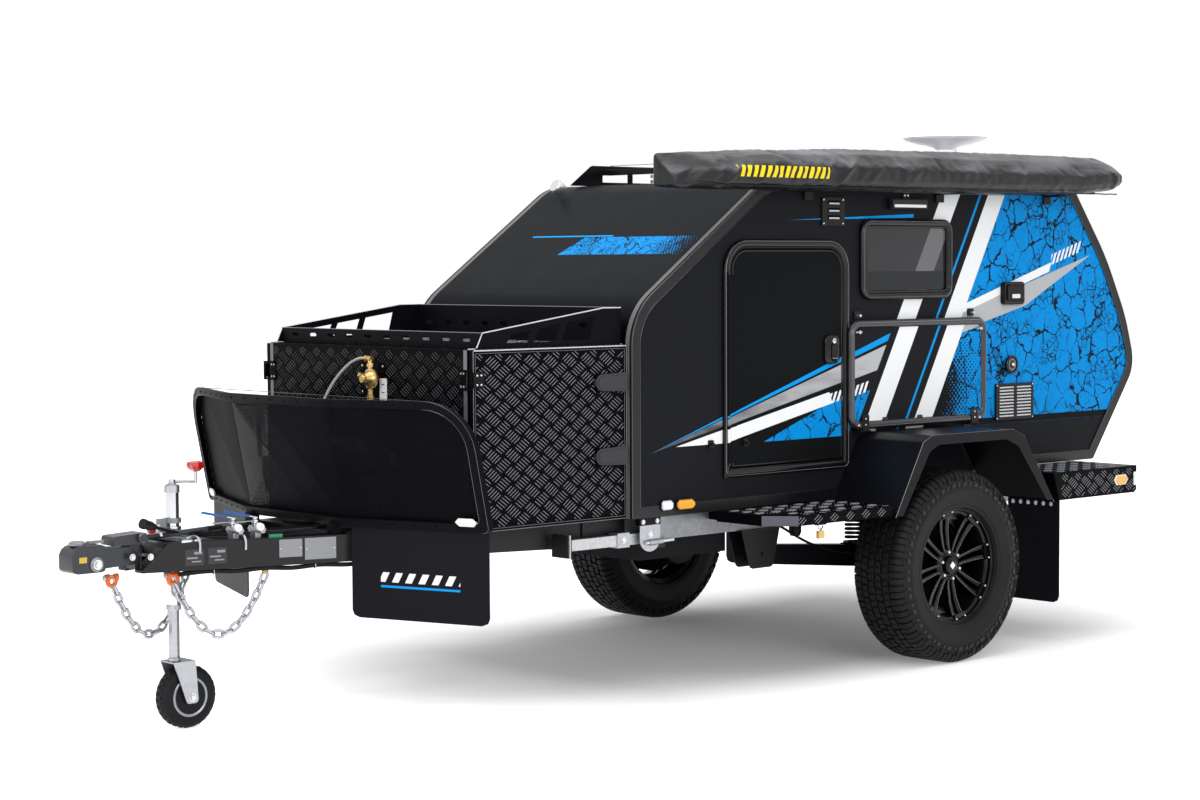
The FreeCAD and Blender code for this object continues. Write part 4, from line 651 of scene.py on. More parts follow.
class Shape:
    """Mesh under construction, in metres, with a finish for each part of it."""

    def __init__(self, move=Matrix.Identity(4)):
        self.bm = bmesh.new()
        self.finishes = []
        self.move = move

    def skin(self, rings, finish, caps=True, loop=False):
        """Faces over rows of points that close on themselves; loop joins the last row to the first."""
        if finish not in self.finishes:
            self.finishes.append(finish)
        rows = [[self.bm.verts.new(self.move @ Vector(p)) for p in ring] for ring in rings]
        faces = []
        for r in range(0 if loop else 1, len(rows)):
            a, b = rows[r - 1], rows[r]
            for k in range(len(a)):
                faces.append(self.bm.faces.new((a[k - 1], a[k], b[k], b[k - 1])))
        if caps and not loop:
            faces.append(self.bm.faces.new(list(reversed(rows[0]))))
            faces.append(self.bm.faces.new(rows[-1]))
        for face in faces:
            face.material_index = self.finishes.index(finish)
            face.smooth = True

    def extrude(self, ring, sweep, finish):
        self.skin([ring, [p + Vector(sweep) for p in ring]], finish)

    def prism(self, outline, place, sweep, finish):
        self.extrude([place(a, b) for a, b in outline], sweep, finish)

    def pad(self, side, area, y, thick, finish, radius, steps=5):
        """Rounded rectangle x0, x1, z0, z1 on a side of the trailer, that stands so thick off its y."""
        self.prism(rectangle(*area, radius, steps), on_side(side * y), Y * (side * thick), finish)

    def box(self, x0, x1, y0, y1, z0, z1, finish):
        self.prism([(x0, y0), (x1, y0), (x1, y1), (x0, y1)], on_top(z0), (0, 0, z1 - z0), finish)

    def slab(self, centre, ahead, side, size, finish):
        """Box with its length along ahead, its width along side and its height on their cross."""
        centre = Vector(centre)
        ahead = Vector(ahead).normalized() * (size[0] / 2)
        side = Vector(side).normalized() * (size[1] / 2)
        up = ahead.cross(side).normalized() * (size[2] / 2)
        base = [centre + ahead + side - up, centre - ahead + side - up, centre - ahead - side - up,
                centre + ahead - side - up]
        self.extrude(base, 2 * up, finish)

    def bar(self, start, end, radius, finish, sides=12):
        _, side, up = arm(start, end)
        self.skin([circle(Vector(p), side, up, radius, sides) for p in (start, end)], finish)

    def lathe(self, centre, axis, profile, finish, sides=32, closed=False):
        """Rings of (radius, offset) about an axis; a closed profile comes back to its start."""
        centre = Vector(centre)
        ahead, side, up = arm(centre, centre + Vector(axis))
        rings = [circle(centre + ahead * t, side, up, max(r, 0.00002), sides) for r, t in profile]
        self.skin(rings, finish, loop=closed)

    def disc(self, centre, axis, radius, high, finish, sides, low=0.0):
        """Plain disc from low up to high along its axis."""
        self.lathe(centre, axis, [(radius, low), (radius, high), (0.0, high)], finish, sides)

    def tube(self, points, radius, finish, sides=10, closed=False, squeeze=1.0):
        """Round bar along points, with as little twist as can be."""
        points = [Vector(p) for p in points]
        count = len(points)
        rings = []
        side = None
        for k, point in enumerate(points):
            before = points[k - 1] if closed or k else point
            after = points[(k + 1) % count] if closed or k < count - 1 else point
            ahead = (after - before).normalized()
            side = side or arm(Vector(), ahead)[1]
            side = (side - ahead * side.dot(ahead)).normalized()
            rings.append(circle(point, side, side.cross(ahead), radius, sides, squeeze))
        self.skin(rings, finish, loop=closed)

    def hose(self, points, radius, finish, steps=6, sides=10):
        """Tube on a smooth curve through the points."""
        self.tube(smooth_line(points, steps), radius, finish, sides)

    def dome(self, point, outward, radius, height, finish, sides=10):
        """Domed bolt or rivet head on a surface."""
        self.lathe(point, outward, [(radius, -0.001), (radius, 0.35 * height), (0.75 * radius, 0.85 * height),
                                    (0.0, height)], finish, sides)

    def hexagon(self, point, outward, radius, height, finish):
        self.lathe(point, outward, [(radius, -0.001), (radius, 0.85 * height), (0.86 * radius, height)], finish, 6)

    def bolt(self, point, out, size=0.009):
        point, out = Vector(point), Vector(out).normalized()
        washer = 0.0016
        self.lathe(point, out, [(size * 1.5, 0.0), (size * 1.5, washer), (0.0, washer)], "stainless", 18)
        self.hexagon(point + out * washer, out, size, size * 0.7, "stainless")

    def done(self, name, body="trailer_body", bevel=0.0, crease=38.0):
        """Object with this mesh, riding on a body, either bevelled or with its sharp edges marked."""
        bmesh.ops.recalc_face_normals(self.bm, faces=self.bm.faces)
        mesh = bpy.data.meshes.new(name)
        self.bm.to_mesh(mesh)
        self.bm.free()
        for finish in self.finishes:
            mesh.materials.append(M[finish])
        obj = bpy.data.objects.new(name, mesh)
        bpy.context.scene.collection.objects.link(obj)
        if bevel:
            ease_edges(obj, bevel)
            obj.modifiers.new("even shading", "WEIGHTED_NORMAL")
        else:
            mesh.set_sharp_from_angle(angle=radians(crease))
        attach(obj, body)
        return obj


def smooth_line(points, steps=6):
    """Points on a smooth curve through the given ones."""
    points = [Vector(p) for p in points]
    padded = [2 * points[0] - points[1]] + points + [2 * points[-1] - points[-2]]
    line = []
    for a, b, c, d in zip(padded, padded[1:], padded[2:], padded[3:]):
        for n in range(steps):
            t = n / steps
            line.append(0.5 * (2 * b + (c - a) * t + (2 * a - 5 * b + 4 * c - d) * t * t
                               + (3 * b - a - 3 * c + d) * t * t * t))
    return line + [points[-1]]


# Wheels

TREAD_PITCHES = 44
TREAD_DEPTH = 0.009
TYRE_RADIUS = 0.401
WHEEL_Y = 0.887
SIDEWALL_RIBS = 60
SPOKES = 8


def spin(shape, profile, finish, sides, closed=False):
    shape.lathe((0, 0, 0), Y, profile, finish, sides, closed)


def tyre_carcass(shape):
    half = [(0.242, 0.1125), (0.2435, 0.1185), (0.248, 0.1215), (0.256, 0.1235), (0.258, 0.1262), (0.264, 0.1275),
            (0.266, 0.1262), (0.285, 0.1298), (0.308, 0.1318), (0.311, 0.1325), (0.325, 0.1325), (0.327, 0.1312),
            (0.35, 0.1285), (0.366, 0.124), (0.379, 0.117), (0.387, 0.107), (0.3905, 0.093), (0.392, 0.06)]
    profile = half + [(r, -y) for r, y in reversed(half)] + [(0.229, -0.09), (0.229, 0.09)]
    spin(shape, profile, "rubber", 120, closed=True)


def tread_block(shape, a0, a1, y0, y1, lean):
    """Raised block between two angles and two widths; lean skews its ends."""
    edges = [(a0 + lean * y0, y0), (a1 + lean * y0, y0), (a1 + lean * y1, y1), (a0 + lean * y1, y1)]
    shrink = 0.0012
    turn = shrink / TYRE_RADIUS
    inner = [(a + da, y + dy) for (a, y), (da, dy) in
             zip(edges, ((turn, shrink), (-turn, shrink), (-turn, -shrink), (turn, -shrink)))]
    base = TYRE_RADIUS - TREAD_DEPTH - 0.003
    shape.skin([[on_wheel(a, radius, y) for a, y in ring] for radius, ring in
                ((base, edges), (TYRE_RADIUS - shrink, edges), (TYRE_RADIUS, inner))], "rubber")


def shoulder_lug(shape, a0, a1, side, reach):
    """Block that wraps over the tyre's shoulder down to a radius of reach."""
    outer = [(0.399, 0.076), (0.4005, 0.079), (0.4005, 0.098), (0.395, 0.112), (0.385, 0.122), (0.374, 0.1275),
             (reach, 0.1318), (reach - 0.002, 0.129)]
    inner = [(0.36, 0.118), (0.384, 0.096), (0.388, 0.076)]
    rings = []
    for angle, sink in ((a0, 0.0015), (a0 + 0.003, 0.0), (a1 - 0.003, 0.0), (a1, 0.0015)):
        rings.append([on_wheel(angle, r - sink, side * (y - sink * 0.6)) for r, y in outer]
                     + [on_wheel(angle, r, side * y) for r, y in inner])
    shape.skin(rings, "rubber")


def make_tyre(place, side):
    shape = Shape(place)
    tyre_carcass(shape)
    pitch = 2 * pi / TREAD_PITCHES
    for k in range(TREAD_PITCHES):
        a = k * pitch
        for edge in SIDES:
            start = a + (0.25 if edge > 0 else 0.75) * pitch
            shoulder_lug(shape, start, start + 0.4 * pitch, edge, 0.352 if k % 2 else 0.362)
            shoulder_lug(shape, start + 0.46 * pitch, start + 0.86 * pitch, edge, 0.372)
        for row, (y0, y1) in enumerate(((-0.071, -0.042), (-0.036, -0.005), (0.001, 0.032), (0.038, 0.071))):
            start = a + (0.5 * pitch if row % 2 else 0.0)
            lean = 0.35 if row % 2 else -0.35
            tread_block(shape, start, start + 0.4 * pitch, y0, y1, lean)
            tread_block(shape, start + 0.44 * pitch, start + 0.84 * pitch, y0 + 0.003, y1 - 0.002, lean)
    # zigzag ribs moulded into the sidewall, in lighter rubber as painted highlight
    for k, a in enumerate(angles(SIDEWALL_RIBS)):
        b = a + (0.55 if k % 2 else 0.3) * 2 * pi / SIDEWALL_RIBS
        shape.skin([[on_wheel(a, 0.334, foot), on_wheel(b, 0.334, foot), on_wheel(b + 0.02, 0.349, head),
                     on_wheel(a + 0.02, 0.349, head)] for foot, head in ((0.13, 0.127), (0.1329, 0.1316))],
                   "sidewall")
    obj = shape.done("tyre_detail_" + SIDES[side], "wheel_" + SIDES[side])
    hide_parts("tyre_left" if side > 0 else "tyre_right")


def spoke_bar(shape, angle, shift):
    """One bar of a twin spoke, from the hub out to the ring, rising towards the lip."""
    rings = []
    for r, y, width, depth in ((0.05, 0.06, 0.013, 0.022), (0.085, 0.055, 0.014, 0.022),
                               (0.15, 0.057, 0.017, 0.02), (0.196, 0.066, 0.021, 0.018),
                               (0.214, 0.076, 0.024, 0.016)):
        side = Vector((-sin(angle), 0, cos(angle)))
        centre = on_wheel(angle, 1) * r + side * (shift * (0.009 + 0.055 * r))
        half = side * (width / 2)
        rings.append([centre + half * across + Y * (y - down) for across, down in
                      ((-1, depth), (1, depth), (0.98, 0.004), (0.62, 0), (-0.62, 0), (-0.98, 0.004))])
    shape.skin(rings, "rim")
    # painted highlight: a light strip along the bar's outer edge
    shape.tube([ring[4 if shift < 0 else 3] + Y * 0.0006 for ring in rings], 0.0013, "rim glint", 5)


def make_rim(place, side):
    shape = Shape(place)
    barrel = [(0.2405, 0.1055), (0.2405, 0.101), (0.23, 0.096), (0.2258, 0.088), (0.2258, -0.088), (0.23, -0.096),
              (0.24, -0.101), (0.24, -0.107), (0.218, -0.1), (0.205, -0.07), (0.198, -0.04), (0.202, 0.03),
              (0.208, 0.056), (0.213, 0.072), (0.216, 0.078), (0.233, 0.084), (0.2352, 0.09), (0.236, 0.1055)]
    hub = [(0.0, 0.01), (0.075, 0.01), (0.078, 0.03), (0.072, 0.05), (0.06, 0.062), (0.05, 0.064), (0.046, 0.06),
           (0.0, 0.06)]
    cap = [(0.04, 0.058), (0.04, 0.066), (0.036, 0.074), (0.028, 0.0778), (0.0, 0.0785)]
    spin(shape, barrel, "rim", 96, closed=True)
    spin(shape, hub, "rim", 48)
    spin(shape, cap, "rim", 40)
    spin(shape, [(0.017, 0.077), (0.017, 0.0795), (0.0, 0.08)], "aluminium", 4)
    for k in range(SPOKES):
        angle = 2 * pi * (k + 0.5) / SPOKES + 0.2
        for shift in (-1, 1):
            spoke_bar(shape, angle, shift)
        # raised pad at the spoke's foot on the ring
        shape.slab(on_wheel(angle, 0.2205, 0.0815), on_wheel(angle, 1), on_wheel(angle + pi / 2, 1),
                   (0.03, 0.066, 0.008), "rim")
        for turn in (-0.125, 0.125):
            shape.dome(on_wheel(angle + turn, 0.2262, 0.0855), Y, 0.0058, 0.006, "stainless", 8)
    for angle in angles(6):
        shape.lathe(on_wheel(angle + 0.3, 0.057, 0.058), Y,
                    [(0.0085, 0.0), (0.0085, 0.012), (0.006, 0.016), (0.0, 0.017)], "stainless", 6)
    # brake drum behind the spokes, made near-black so that it also stands as painted shade in the gap behind them,
    # and the valve stem
    spin(shape, [(0.0, -0.055), (0.182, -0.055), (0.185, -0.05), (0.185, -0.01), (0.172, 0.004), (0.06, 0.01),
                 (0.0, 0.01)], "louvre shade", 64)
    shape.bar(on_wheel(1.9, 0.216, 0.07), on_wheel(1.9, 0.205, 0.098), 0.0035, "rubber", 8)
    obj = shape.done("rim_detail_" + SIDES[side], "wheel_" + SIDES[side], bevel=0.0012)
    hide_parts("rim_left" if side > 0 else "rim_right")


# each wheel is built about +Y and laid on its side of the trailer
for wheel_side in SIDES:
    wheel_turn = Matrix.Rotation(0 if wheel_side > 0 else pi, 4, "Z")
    wheel_place = Matrix.Translation((AXLE, wheel_side * WHEEL_Y, WHEEL_Z)) @ wheel_turn
    make_tyre(wheel_place, wheel_side)
    make_rim(wheel_place, wheel_side)


# Chequer plate

CHEQUER_PITCH = 0.068
CHEQUER_SPACING = 0.0104
CHEQUER_STRETCH = 1.36
BAR_SHARE = 0.36        # half length of a bar, as a share of its nominal length, before the stretch
SHORTEST_BAR = 0.004


def chequer_bar(shape, centre, ahead, across, out, half, width, finish):
    """Raised bar with tapered ends that stands on a plate; ahead and across carry the pattern's stretch."""
    foot = [(half, 0.0), (half - width, width / 2), (width - half, width / 2), (-half, 0.0),
            (width - half, -width / 2), (half - width, -width / 2)]
    low = [centre + ahead * a + across * b for a, b in foot]
    high = [centre + ahead * (a * 0.86) + across * (b * 0.55) + out * 0.0012 for a, b in foot]
    shape.skin([low, high], finish)


def chequer_plate(shape, origin, along, up, size, finish, shift=(0.0, 0.0), margin=0.012):
    """Groups of five bars that lean to either side by turns, over a rectangle of a plate."""
    origin, along, up = Vector(origin), Vector(along), Vector(up)
    out = along.cross(up)
    step_a, step_b = CHEQUER_PITCH * CHEQUER_STRETCH, CHEQUER_PITCH
    spots = []
    for lean, offset_a, offset_b in ((1, 0.0, 0.0), (-1, step_a / 2, step_b / 2)):
        a = shift[0] + offset_a - step_a
        while a < size[0] + step_a:
            b = shift[1] + offset_b - step_b
            while b < size[1] + step_b:
                spots.append((a, b, lean))
                b += step_b
            a += step_a
    for a, b, lean in spots:
        ahead = (along * lean * CHEQUER_STRETCH + up) / sqrt(2)
        across = (along * CHEQUER_STRETCH - up * lean) / sqrt(2)
        for k, length in enumerate((0.031, 0.035, 0.035, 0.035, 0.031)):
            shift_by = (k - 2) * CHEQUER_SPACING
            ca = a + across.dot(along) * shift_by
            cb = b + across.dot(up) * shift_by
            # a bar that meets the plate's edge is cut short there
            reach = min(length * BAR_SHARE, min(ca - margin, size[0] - margin - ca) / CHEQUER_STRETCH,
                        min(cb - margin, size[1] - margin - cb))
            if reach >= SHORTEST_BAR:
                chequer_bar(shape, origin + along * ca + up * cb + out * 0.0001, ahead, across, out,
                            reach / BAR_SHARE / 2, min(0.0027, reach), finish)


BOX_X = (AXLE + 1.542, AXLE + 2.3)
BOX_Z = (DECK_Z, 1.351)
BOX_DOOR_Y = 0.648


def make_toolbox_plates():
    for side, name in SIDES.items():
        shape = Shape()
        x0, x1 = BOX_X[0] + 0.003, BOX_X[1] - 0.003
        chequer_plate(shape, (x1 if side > 0 else x0, side * BOX_DOOR_Y, BOX_Z[0] + 0.005), -side * X, Z,
                      (x1 - x0, 0.66), "chequer", margin=0.014)
        shape.done("toolbox_door_chequer_" + name, "toolbox_door_%s_body" % name, crease=60)
    shape = Shape()
    # shaded bars on the front face, lit bars on the top: painted shade and painted highlight
    chequer_plate(shape, (BOX_X[1], -0.62, BOX_Z[0]), Y, Z, (1.24, 0.668), "dim bars")
    chequer_plate(shape, (BOX_X[0], -0.62, 1.3545), X, Y, (0.7, 1.24), "chequer")
    shape.done("toolbox_front_chequer", crease=60)


def make_step_plates():
    shape = Shape()
    # bars lighter than the plate: painted highlight
    front0, front1 = AXLE + 0.4264, AXLE + 1.085
    for side in SIDES:
        along, up = side * X, side * Y
        # tops of the front step, clear of its cut corner, and of the rear step
        for x0, x1, y, z, deep in ((front0, front1 - 0.02, 0.676, DECK_Z, 0.235),
                                   (front0, front1 - 0.115, 0.905, DECK_Z, 0.108),
                                   (AXLE - 1.21, AXLE - 0.62, 0.676, 0.75, 0.336)):
            chequer_plate(shape, (x0 if side > 0 else x1, side * y, z), along, up, (x1 - x0, deep), "step bars")
        # outer faces
        for x0, x1, z, tall, margin, shift in ((front0, front1 - 0.1, 0.6425, 0.041, 0.002, (0.02, 0.0205)),
                                               (AXLE - 1.205, AXLE - 0.655, 0.632, 0.116, 0.006, (0.0, 0.0))):
            chequer_plate(shape, (x1 if side > 0 else x0, side * 1.016, z), -along, Z, (x1 - x0, tall),
                          "step bars", shift, margin)
    shape.done("step_chequer", crease=60)


make_toolbox_plates()
make_step_plates()


# Stone guard

GUARD_HALF = 0.885
GUARD_FOLD_Y = 0.3
GUARD_TAN = tan(radians(20.5))
GUARD_FOOT_X = AXLE + 2.612
GUARD_Z = (0.716, 1.18)
GUARD_LEAN = 0.095 / (GUARD_Z[1] - GUARD_Z[0])
GUARD_CORNER = 0.17
WIRE_PITCH = 0.0068
WIRE_WIDTH = 0.0051
WIRE_STEPS = 60


def guard_point(y, z, proud=0.0):
    """Point on the guard's rear face, or proud of it to the front."""
    back = max(0.0, abs(y) - GUARD_FOLD_Y) * GUARD_TAN
    return Vector((GUARD_FOOT_X - back + (z - GUARD_Z[0]) * GUARD_LEAN + proud, y, z))


def guard_outline(inset):
    half, low, high, corner = GUARD_HALF - inset, GUARD_Z[0] + inset, GUARD_Z[1] - inset, GUARD_CORNER - inset
    return rounded([(-half, low, 0.02), (half, low, 0.02), (half, high, corner), (-half, high, corner)], 8)


def inside_guard(y, z, inset=0.018):
    half, top, radius = GUARD_HALF - inset, GUARD_Z[1] - inset, GUARD_CORNER - inset
    if abs(y) > half or not GUARD_Z[0] + inset < z < top:
        return False
    over_y, over_z = abs(y) - (half - radius), z - (top - radius)
    return not (over_y > 0 and over_z > 0 and hypot(over_y, over_z) > radius)


def guard_wire(shape, start, end, proud):
    """One run of flat wire between two points of the guard, cut to the outline and bent at the folds."""
    start, end = Vector(start), Vector(end)
    run = [start + (end - start) * k / WIRE_STEPS for k in range(WIRE_STEPS + 1)]
    pieces = [[]]
    for spot in run:
        if inside_guard(*spot):
            pieces[-1].append(spot)
        elif pieces[-1]:
            pieces.append([])
    across = (end - start).normalized().orthogonal() * (WIRE_WIDTH / 2)
    for piece in pieces:
        if len(piece) < 2:
            continue
        stops = [piece[0]]
        for a, b in zip(piece, piece[1:]):
            for fold in (-GUARD_FOLD_Y, GUARD_FOLD_Y):
                if (a.x - fold) * (b.x - fold) < 0:
                    stops.append(a.lerp(b, (fold - a.x) / (b.x - a.x)))
        stops.append(piece[-1])
        rings = []
        for stop in stops:
            low, high = guard_point(*(stop - across), proud), guard_point(*(stop + across), proud)
            rings.append([low, high, high + X * 0.001, low + X * 0.001])
        shape.skin(rings, "mesh", caps=False)


def make_guard_mesh():
    shape = Shape()
    height = GUARD_Z[1] - GUARD_Z[0]
    y = -GUARD_HALF - height
    while y < GUARD_HALF:
        guard_wire(shape, (y, GUARD_Z[0]), (y + height, GUARD_Z[1]), 0.0002)
        guard_wire(shape, (y + height, GUARD_Z[0]), (y, GUARD_Z[1]), 0.0014)
        y += WIRE_PITCH * sqrt(2)
    mesh = shape.done("stone_guard_weave", crease=30)
    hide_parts("stone_guard_mesh")


def make_guard_fittings():
    shape = Shape()
    face = 0.029           # front face of the guard's frame, proud of its rear face
    # rivets along the flange
    spots = []
    for k in range(21):
        y = -0.85 + 1.7 * k / 20
        spots.append((y, GUARD_Z[0] + 0.015))
        if abs(y) < 0.73:
            spots.append((y, GUARD_Z[1] - 0.015))
    spots += [(side * 0.87, GUARD_Z[0] + 0.06 + k * 0.062) for k in range(5) for side in SIDES]
    for y, z in spots:
        shape.dome(guard_point(y, z, face - 0.0005), X, 0.0048, 0.0024, "guard", 8)
    # painted highlight: thin light lines along the frame's front
    for inset in (0.0, 0.03):
        shape.tube([guard_point(a, b, face) for a, b in guard_outline(inset)], 0.0014, "bright edge", 5, closed=True)
    # hexagonal reflectors near the outer feet
    for side in SIDES:
        rim, inner = ([guard_point(0.806 * side + radius * 1.35 * cos(radians(a)),
                                   0.752 + radius * 0.62 * sin(radians(a)), proud)
                       for a in (0, 50, 130, 180, 230, 310)] for radius, proud in ((0.0305, face), (0.026, 0.0345)))
        shape.skin([rim, [p + X * 0.0045 for p in rim], inner], "white plastic")
    shape.done("stone_guard_fittings", crease=40)


make_guard_mesh()
make_guard_fittings()


# Toolbox, rack, gas gear and fittings on the toolbox front

def latch_cover(shape, side, z):
    """Grey D-shaped cover over a latch, with its round lock."""
    x0, x1 = BOX_X[0] + 0.012, BOX_X[0] + 0.172
    y = side * BOX_DOOR_Y
    place = on_side(y + side * 0.0005)
    outer = rounded([(x0, z - 0.036, 0.01), (x1, z - 0.03, 0.03), (x1, z + 0.03, 0.03), (x0, z + 0.036, 0.01)])
    shape.prism(outer, place, Y * (side * 0.0145), "latch grey")
    top = on_side(y + side * 0.015)
    inner = rounded([(x0 + 0.012, z - 0.026, 0.008), (x1 - 0.012, z - 0.021, 0.02), (x1 - 0.012, z + 0.021, 0.02),
                     (x0 + 0.012, z + 0.026, 0.008)])
    shape.prism(inner, top, Y * (side * 0.0025), "latch grey")


def toolbox_hinge_leaf(shape, side, z):
    """Hinge leaf on the door's outer face with its white screw heads."""
    x1 = BOX_X[1]
    y = side * (BOX_DOOR_Y + 0.0035)
    shape.prism(rectangle(x1 - 0.05, x1 - 0.002, z - 0.028, z + 0.028, 0.006, 3), on_side(y), Y * (side * 0.0015),
                "black")
    for dx in (0.038, 0.019):
        for dz in (-0.017, 0.017):
            shape.dome((x1 - dx, y + side * 0.0015, z + dz), side * Y, 0.0038, 0.002, "white plastic")


def make_toolbox_door_fittings():
    for side, name in SIDES.items():
        shape = Shape()
        for z in (BOX_Z[1] - 0.14, BOX_Z[0] + 0.2477):
            latch_cover(shape, side, z)
        for z in (BOX_Z[0] + 0.11, BOX_Z[1] - 0.11):
            toolbox_hinge_leaf(shape, side, z)
        # folded edge of the door skin, with painted highlights: light lines round it and along its top
        x0, x1, z0, z1 = BOX_X[0] + 0.003, BOX_X[1] - 0.003, BOX_Z[0] + 0.005, BOX_Z[1] - 0.003
        place = on_side(side * (BOX_DOOR_Y - 0.001))
        for inset, size in ((0.0015, 0.0016), (0.011, 0.0009)):
            ring = [place(a, b) + Y * (side * 0.0012) for a, b in
                    rectangle(x0 + inset, x1 - inset, z0 + inset, z1 - inset, 0.004, 3)]
            shape.tube(ring, size, "chequer", 6, closed=True)
        shape.tube([(x0 + 0.003, side * (BOX_DOOR_Y + 0.0012), z1 - 0.001),
                    (x1 - 0.003, side * (BOX_DOOR_Y + 0.0012), z1 - 0.001)], 0.0026, "glint", 6)
        shape.done("toolbox_door_fittings_" + name, "toolbox_door_%s_body" % name, crease=35)


def make_toolbox_front():
    shape = Shape()
    x = BOX_X[1]
    # corner angles
    for side in SIDES:
        shape.box(x - 0.001, x + 0.0018, side * 0.6, side * 0.6195, BOX_Z[0] + 0.002, BOX_Z[1] - 0.002, "chequer")
    # painted highlights: light lines along the folded edges of the top
    for side in SIDES:
        shape.tube([(BOX_X[0] + 0.004, side * 0.6205, BOX_Z[1] + 0.001),
                    (x - 0.004, side * 0.6205, BOX_Z[1] + 0.001)], 0.003, "glint", 6)
    # chrome pull handle on the front
    y0, y1, z = 0.045, 0.175, 0.925
    shape.prism(rectangle(y0 - 0.012, y1 + 0.012, z - 0.035, z + 0.035, 0.01), on_front(x + 0.0015), (0.002, 0, 0),
                "stainless")
    grip = [(x + 0.003, y0, z), (x + 0.028, y0, z), (x + 0.036, y0 + 0.012, z), (x + 0.036, y1 - 0.012, z),
            (x + 0.028, y1, z), (x + 0.003, y1, z)]
    shape.hose(grip, 0.0055, "stainless", 5)
    # bolts of the hinge ears
    for side in SIDES:
        for z in (BOX_Z[0] + 0.11, BOX_Z[1] - 0.11):
            for dy in (0.012, 0.028):
                for dz in (-0.024, 0.024):
                    shape.hexagon((x + 0.003, side * (0.618 - dy), z + dz), X, 0.0052, 0.004, "zinc")
    shape.done("toolbox_front_fittings", crease=35)


def make_rack_fittings():
    shape = Shape()
    z0 = BOX_Z[1] + 0.0003
    x_front = BOX_X[1] - 0.036
    x_rear = BOX_X[0] + 0.014
    x_rise = x_rear + 0.09
    for side in SIDES:
        y = side * 0.628
        # painted highlight: a light line along the top edge of the rack's side
        edge = [(x_front - 0.001, y, z0 + 0.004), (x_front - 0.028, y, z0 + 0.058), (x_rise, y, z0 + 0.14),
                (x_rear, y, z0 + 0.14)]
        shape.tube(edge, 0.0024, "glint", 8)
        for k in range(7):
            x = x_front - 0.035 - k * 0.102
            shape.dome((x, y, z0 + 0.01), side * Y, 0.005, 0.0025, "guard")
        shape.dome((x_rear + 0.02, y, z0 + 0.11), side * Y, 0.005, 0.0025, "guard")
        shape.dome((x_rear + 0.02, y, z0 + 0.04), side * Y, 0.005, 0.0025, "guard")
    # painted highlights: light lines along the two crossbars
    for z, x in ((z0 + 0.058, x_front - 0.03), (z0 + 0.14, x_rear)):
        shape.tube([(x + 0.002, -0.627, z), (x + 0.002, 0.627, z)], 0.002, "rim glint", 8)
    for k in range(9):
        shape.dome((x_front - 0.026, -0.56 + k * 0.14, z0 + 0.01), X, 0.005, 0.0025, "guard", 8)
    shape.done("rack_fittings", crease=40)


BOTTLE_X = (BOX_X[1] + AXLE + 2.612) / 2


def make_gas_bottles():
    shape = Shape()
    z0 = DECK_Z + 0.0086
    for side in SIDES:
        centre = (BOTTLE_X, side * 0.15, z0)
        shape.lathe(centre, Z, [(0.0, 0.026), (0.098, 0.026), (0.1015, 0.001), (0.1045, 0.001), (0.1045, 0.058),
                                (0.112, 0.062), (0.122, 0.076), (0.128, 0.1), (0.128, 0.168), (0.1289, 0.171),
                                (0.128, 0.174), (0.128, 0.258), (0.124, 0.286), (0.112, 0.308), (0.092, 0.322),
                                (0.06, 0.331), (0.0, 0.334)], "bottle", 48)
        # collar with its hand openings
        z1 = z0 + 0.318
        for start, end in ((0.42, 2.72), (3.56, 5.86)):
            turns = [start + (end - start) * k / 18 for k in range(19)]
            shape.skin([[Vector((centre[0] + r * cos(a), centre[1] + r * sin(a), z1 + up)) for r,
                         up in ((0.074, 0), (0.074, 0.116), (0.0725, 0.119), (0.071, 0.116), (0.071, 0))]
                        for a in turns], "bottle")
        shape.tube([(centre[0] + 0.0725 * cos(t), centre[1] + 0.0725 * sin(t), z1 + 0.117)
                    for t in angles(40)], 0.0035, "bottle", 8, closed=True)
        # valve with its hand wheel
        shape.lathe((centre[0], centre[1], z1), Z, [(0.017, 0.0), (0.017, 0.03), (0.012, 0.034), (0.012, 0.052),
                                                    (0.008, 0.054), (0.008, 0.066), (0.0, 0.066)], "brass", 20)
        shape.bar((centre[0], centre[1], z1 + 0.042), (centre[0] - 0.04, centre[1], z1 + 0.042), 0.0085, "brass")
        shape.lathe((centre[0], centre[1], z1 + 0.062), Z, [(0.0, 0.0), (0.02, 0.0), (0.024, 0.004), (0.024, 0.014),
                                                            (0.019, 0.019), (0.0, 0.02)], "black", 12)
    gas = shape.done("gas_bottle_detail", crease=35)
    shape = Shape()
    tray_half = 0.298
    shape.box(BOX_X[1] + 0.012, AXLE + 2.606, -tray_half, tray_half, DECK_Z + 0.0003, DECK_Z + 0.0083, "black")
    tray = shape.done("gas_tray_detail", bevel=0.0015)
    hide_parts("gas_bottles")
    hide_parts("gas_bottles")


def make_gas_strap():
    shape = Shape()
    # band round both bottles, from one end on the toolbox's front to the other
    z, reach = 0.9, 0.1305
    round_bottles = [(BOTTLE_X + reach * cos(t), y + reach * sin(t), z)
                     for y in (-0.15, 0.15) for t in [pi * (k / 24 - 0.5) for k in range(25)]]
    ends = [(BOX_X[1] + 0.003, round_bottles[k][1], z) for k in (0, -1)]
    shape.tube([ends[0], *round_bottles, ends[1]], 0.0012, "black", 6, squeeze=9.0)
    shape.done("gas_strap", crease=40)


REGULATOR_X, REGULATOR_Z = BOX_X[1] + 0.0003, 1.23


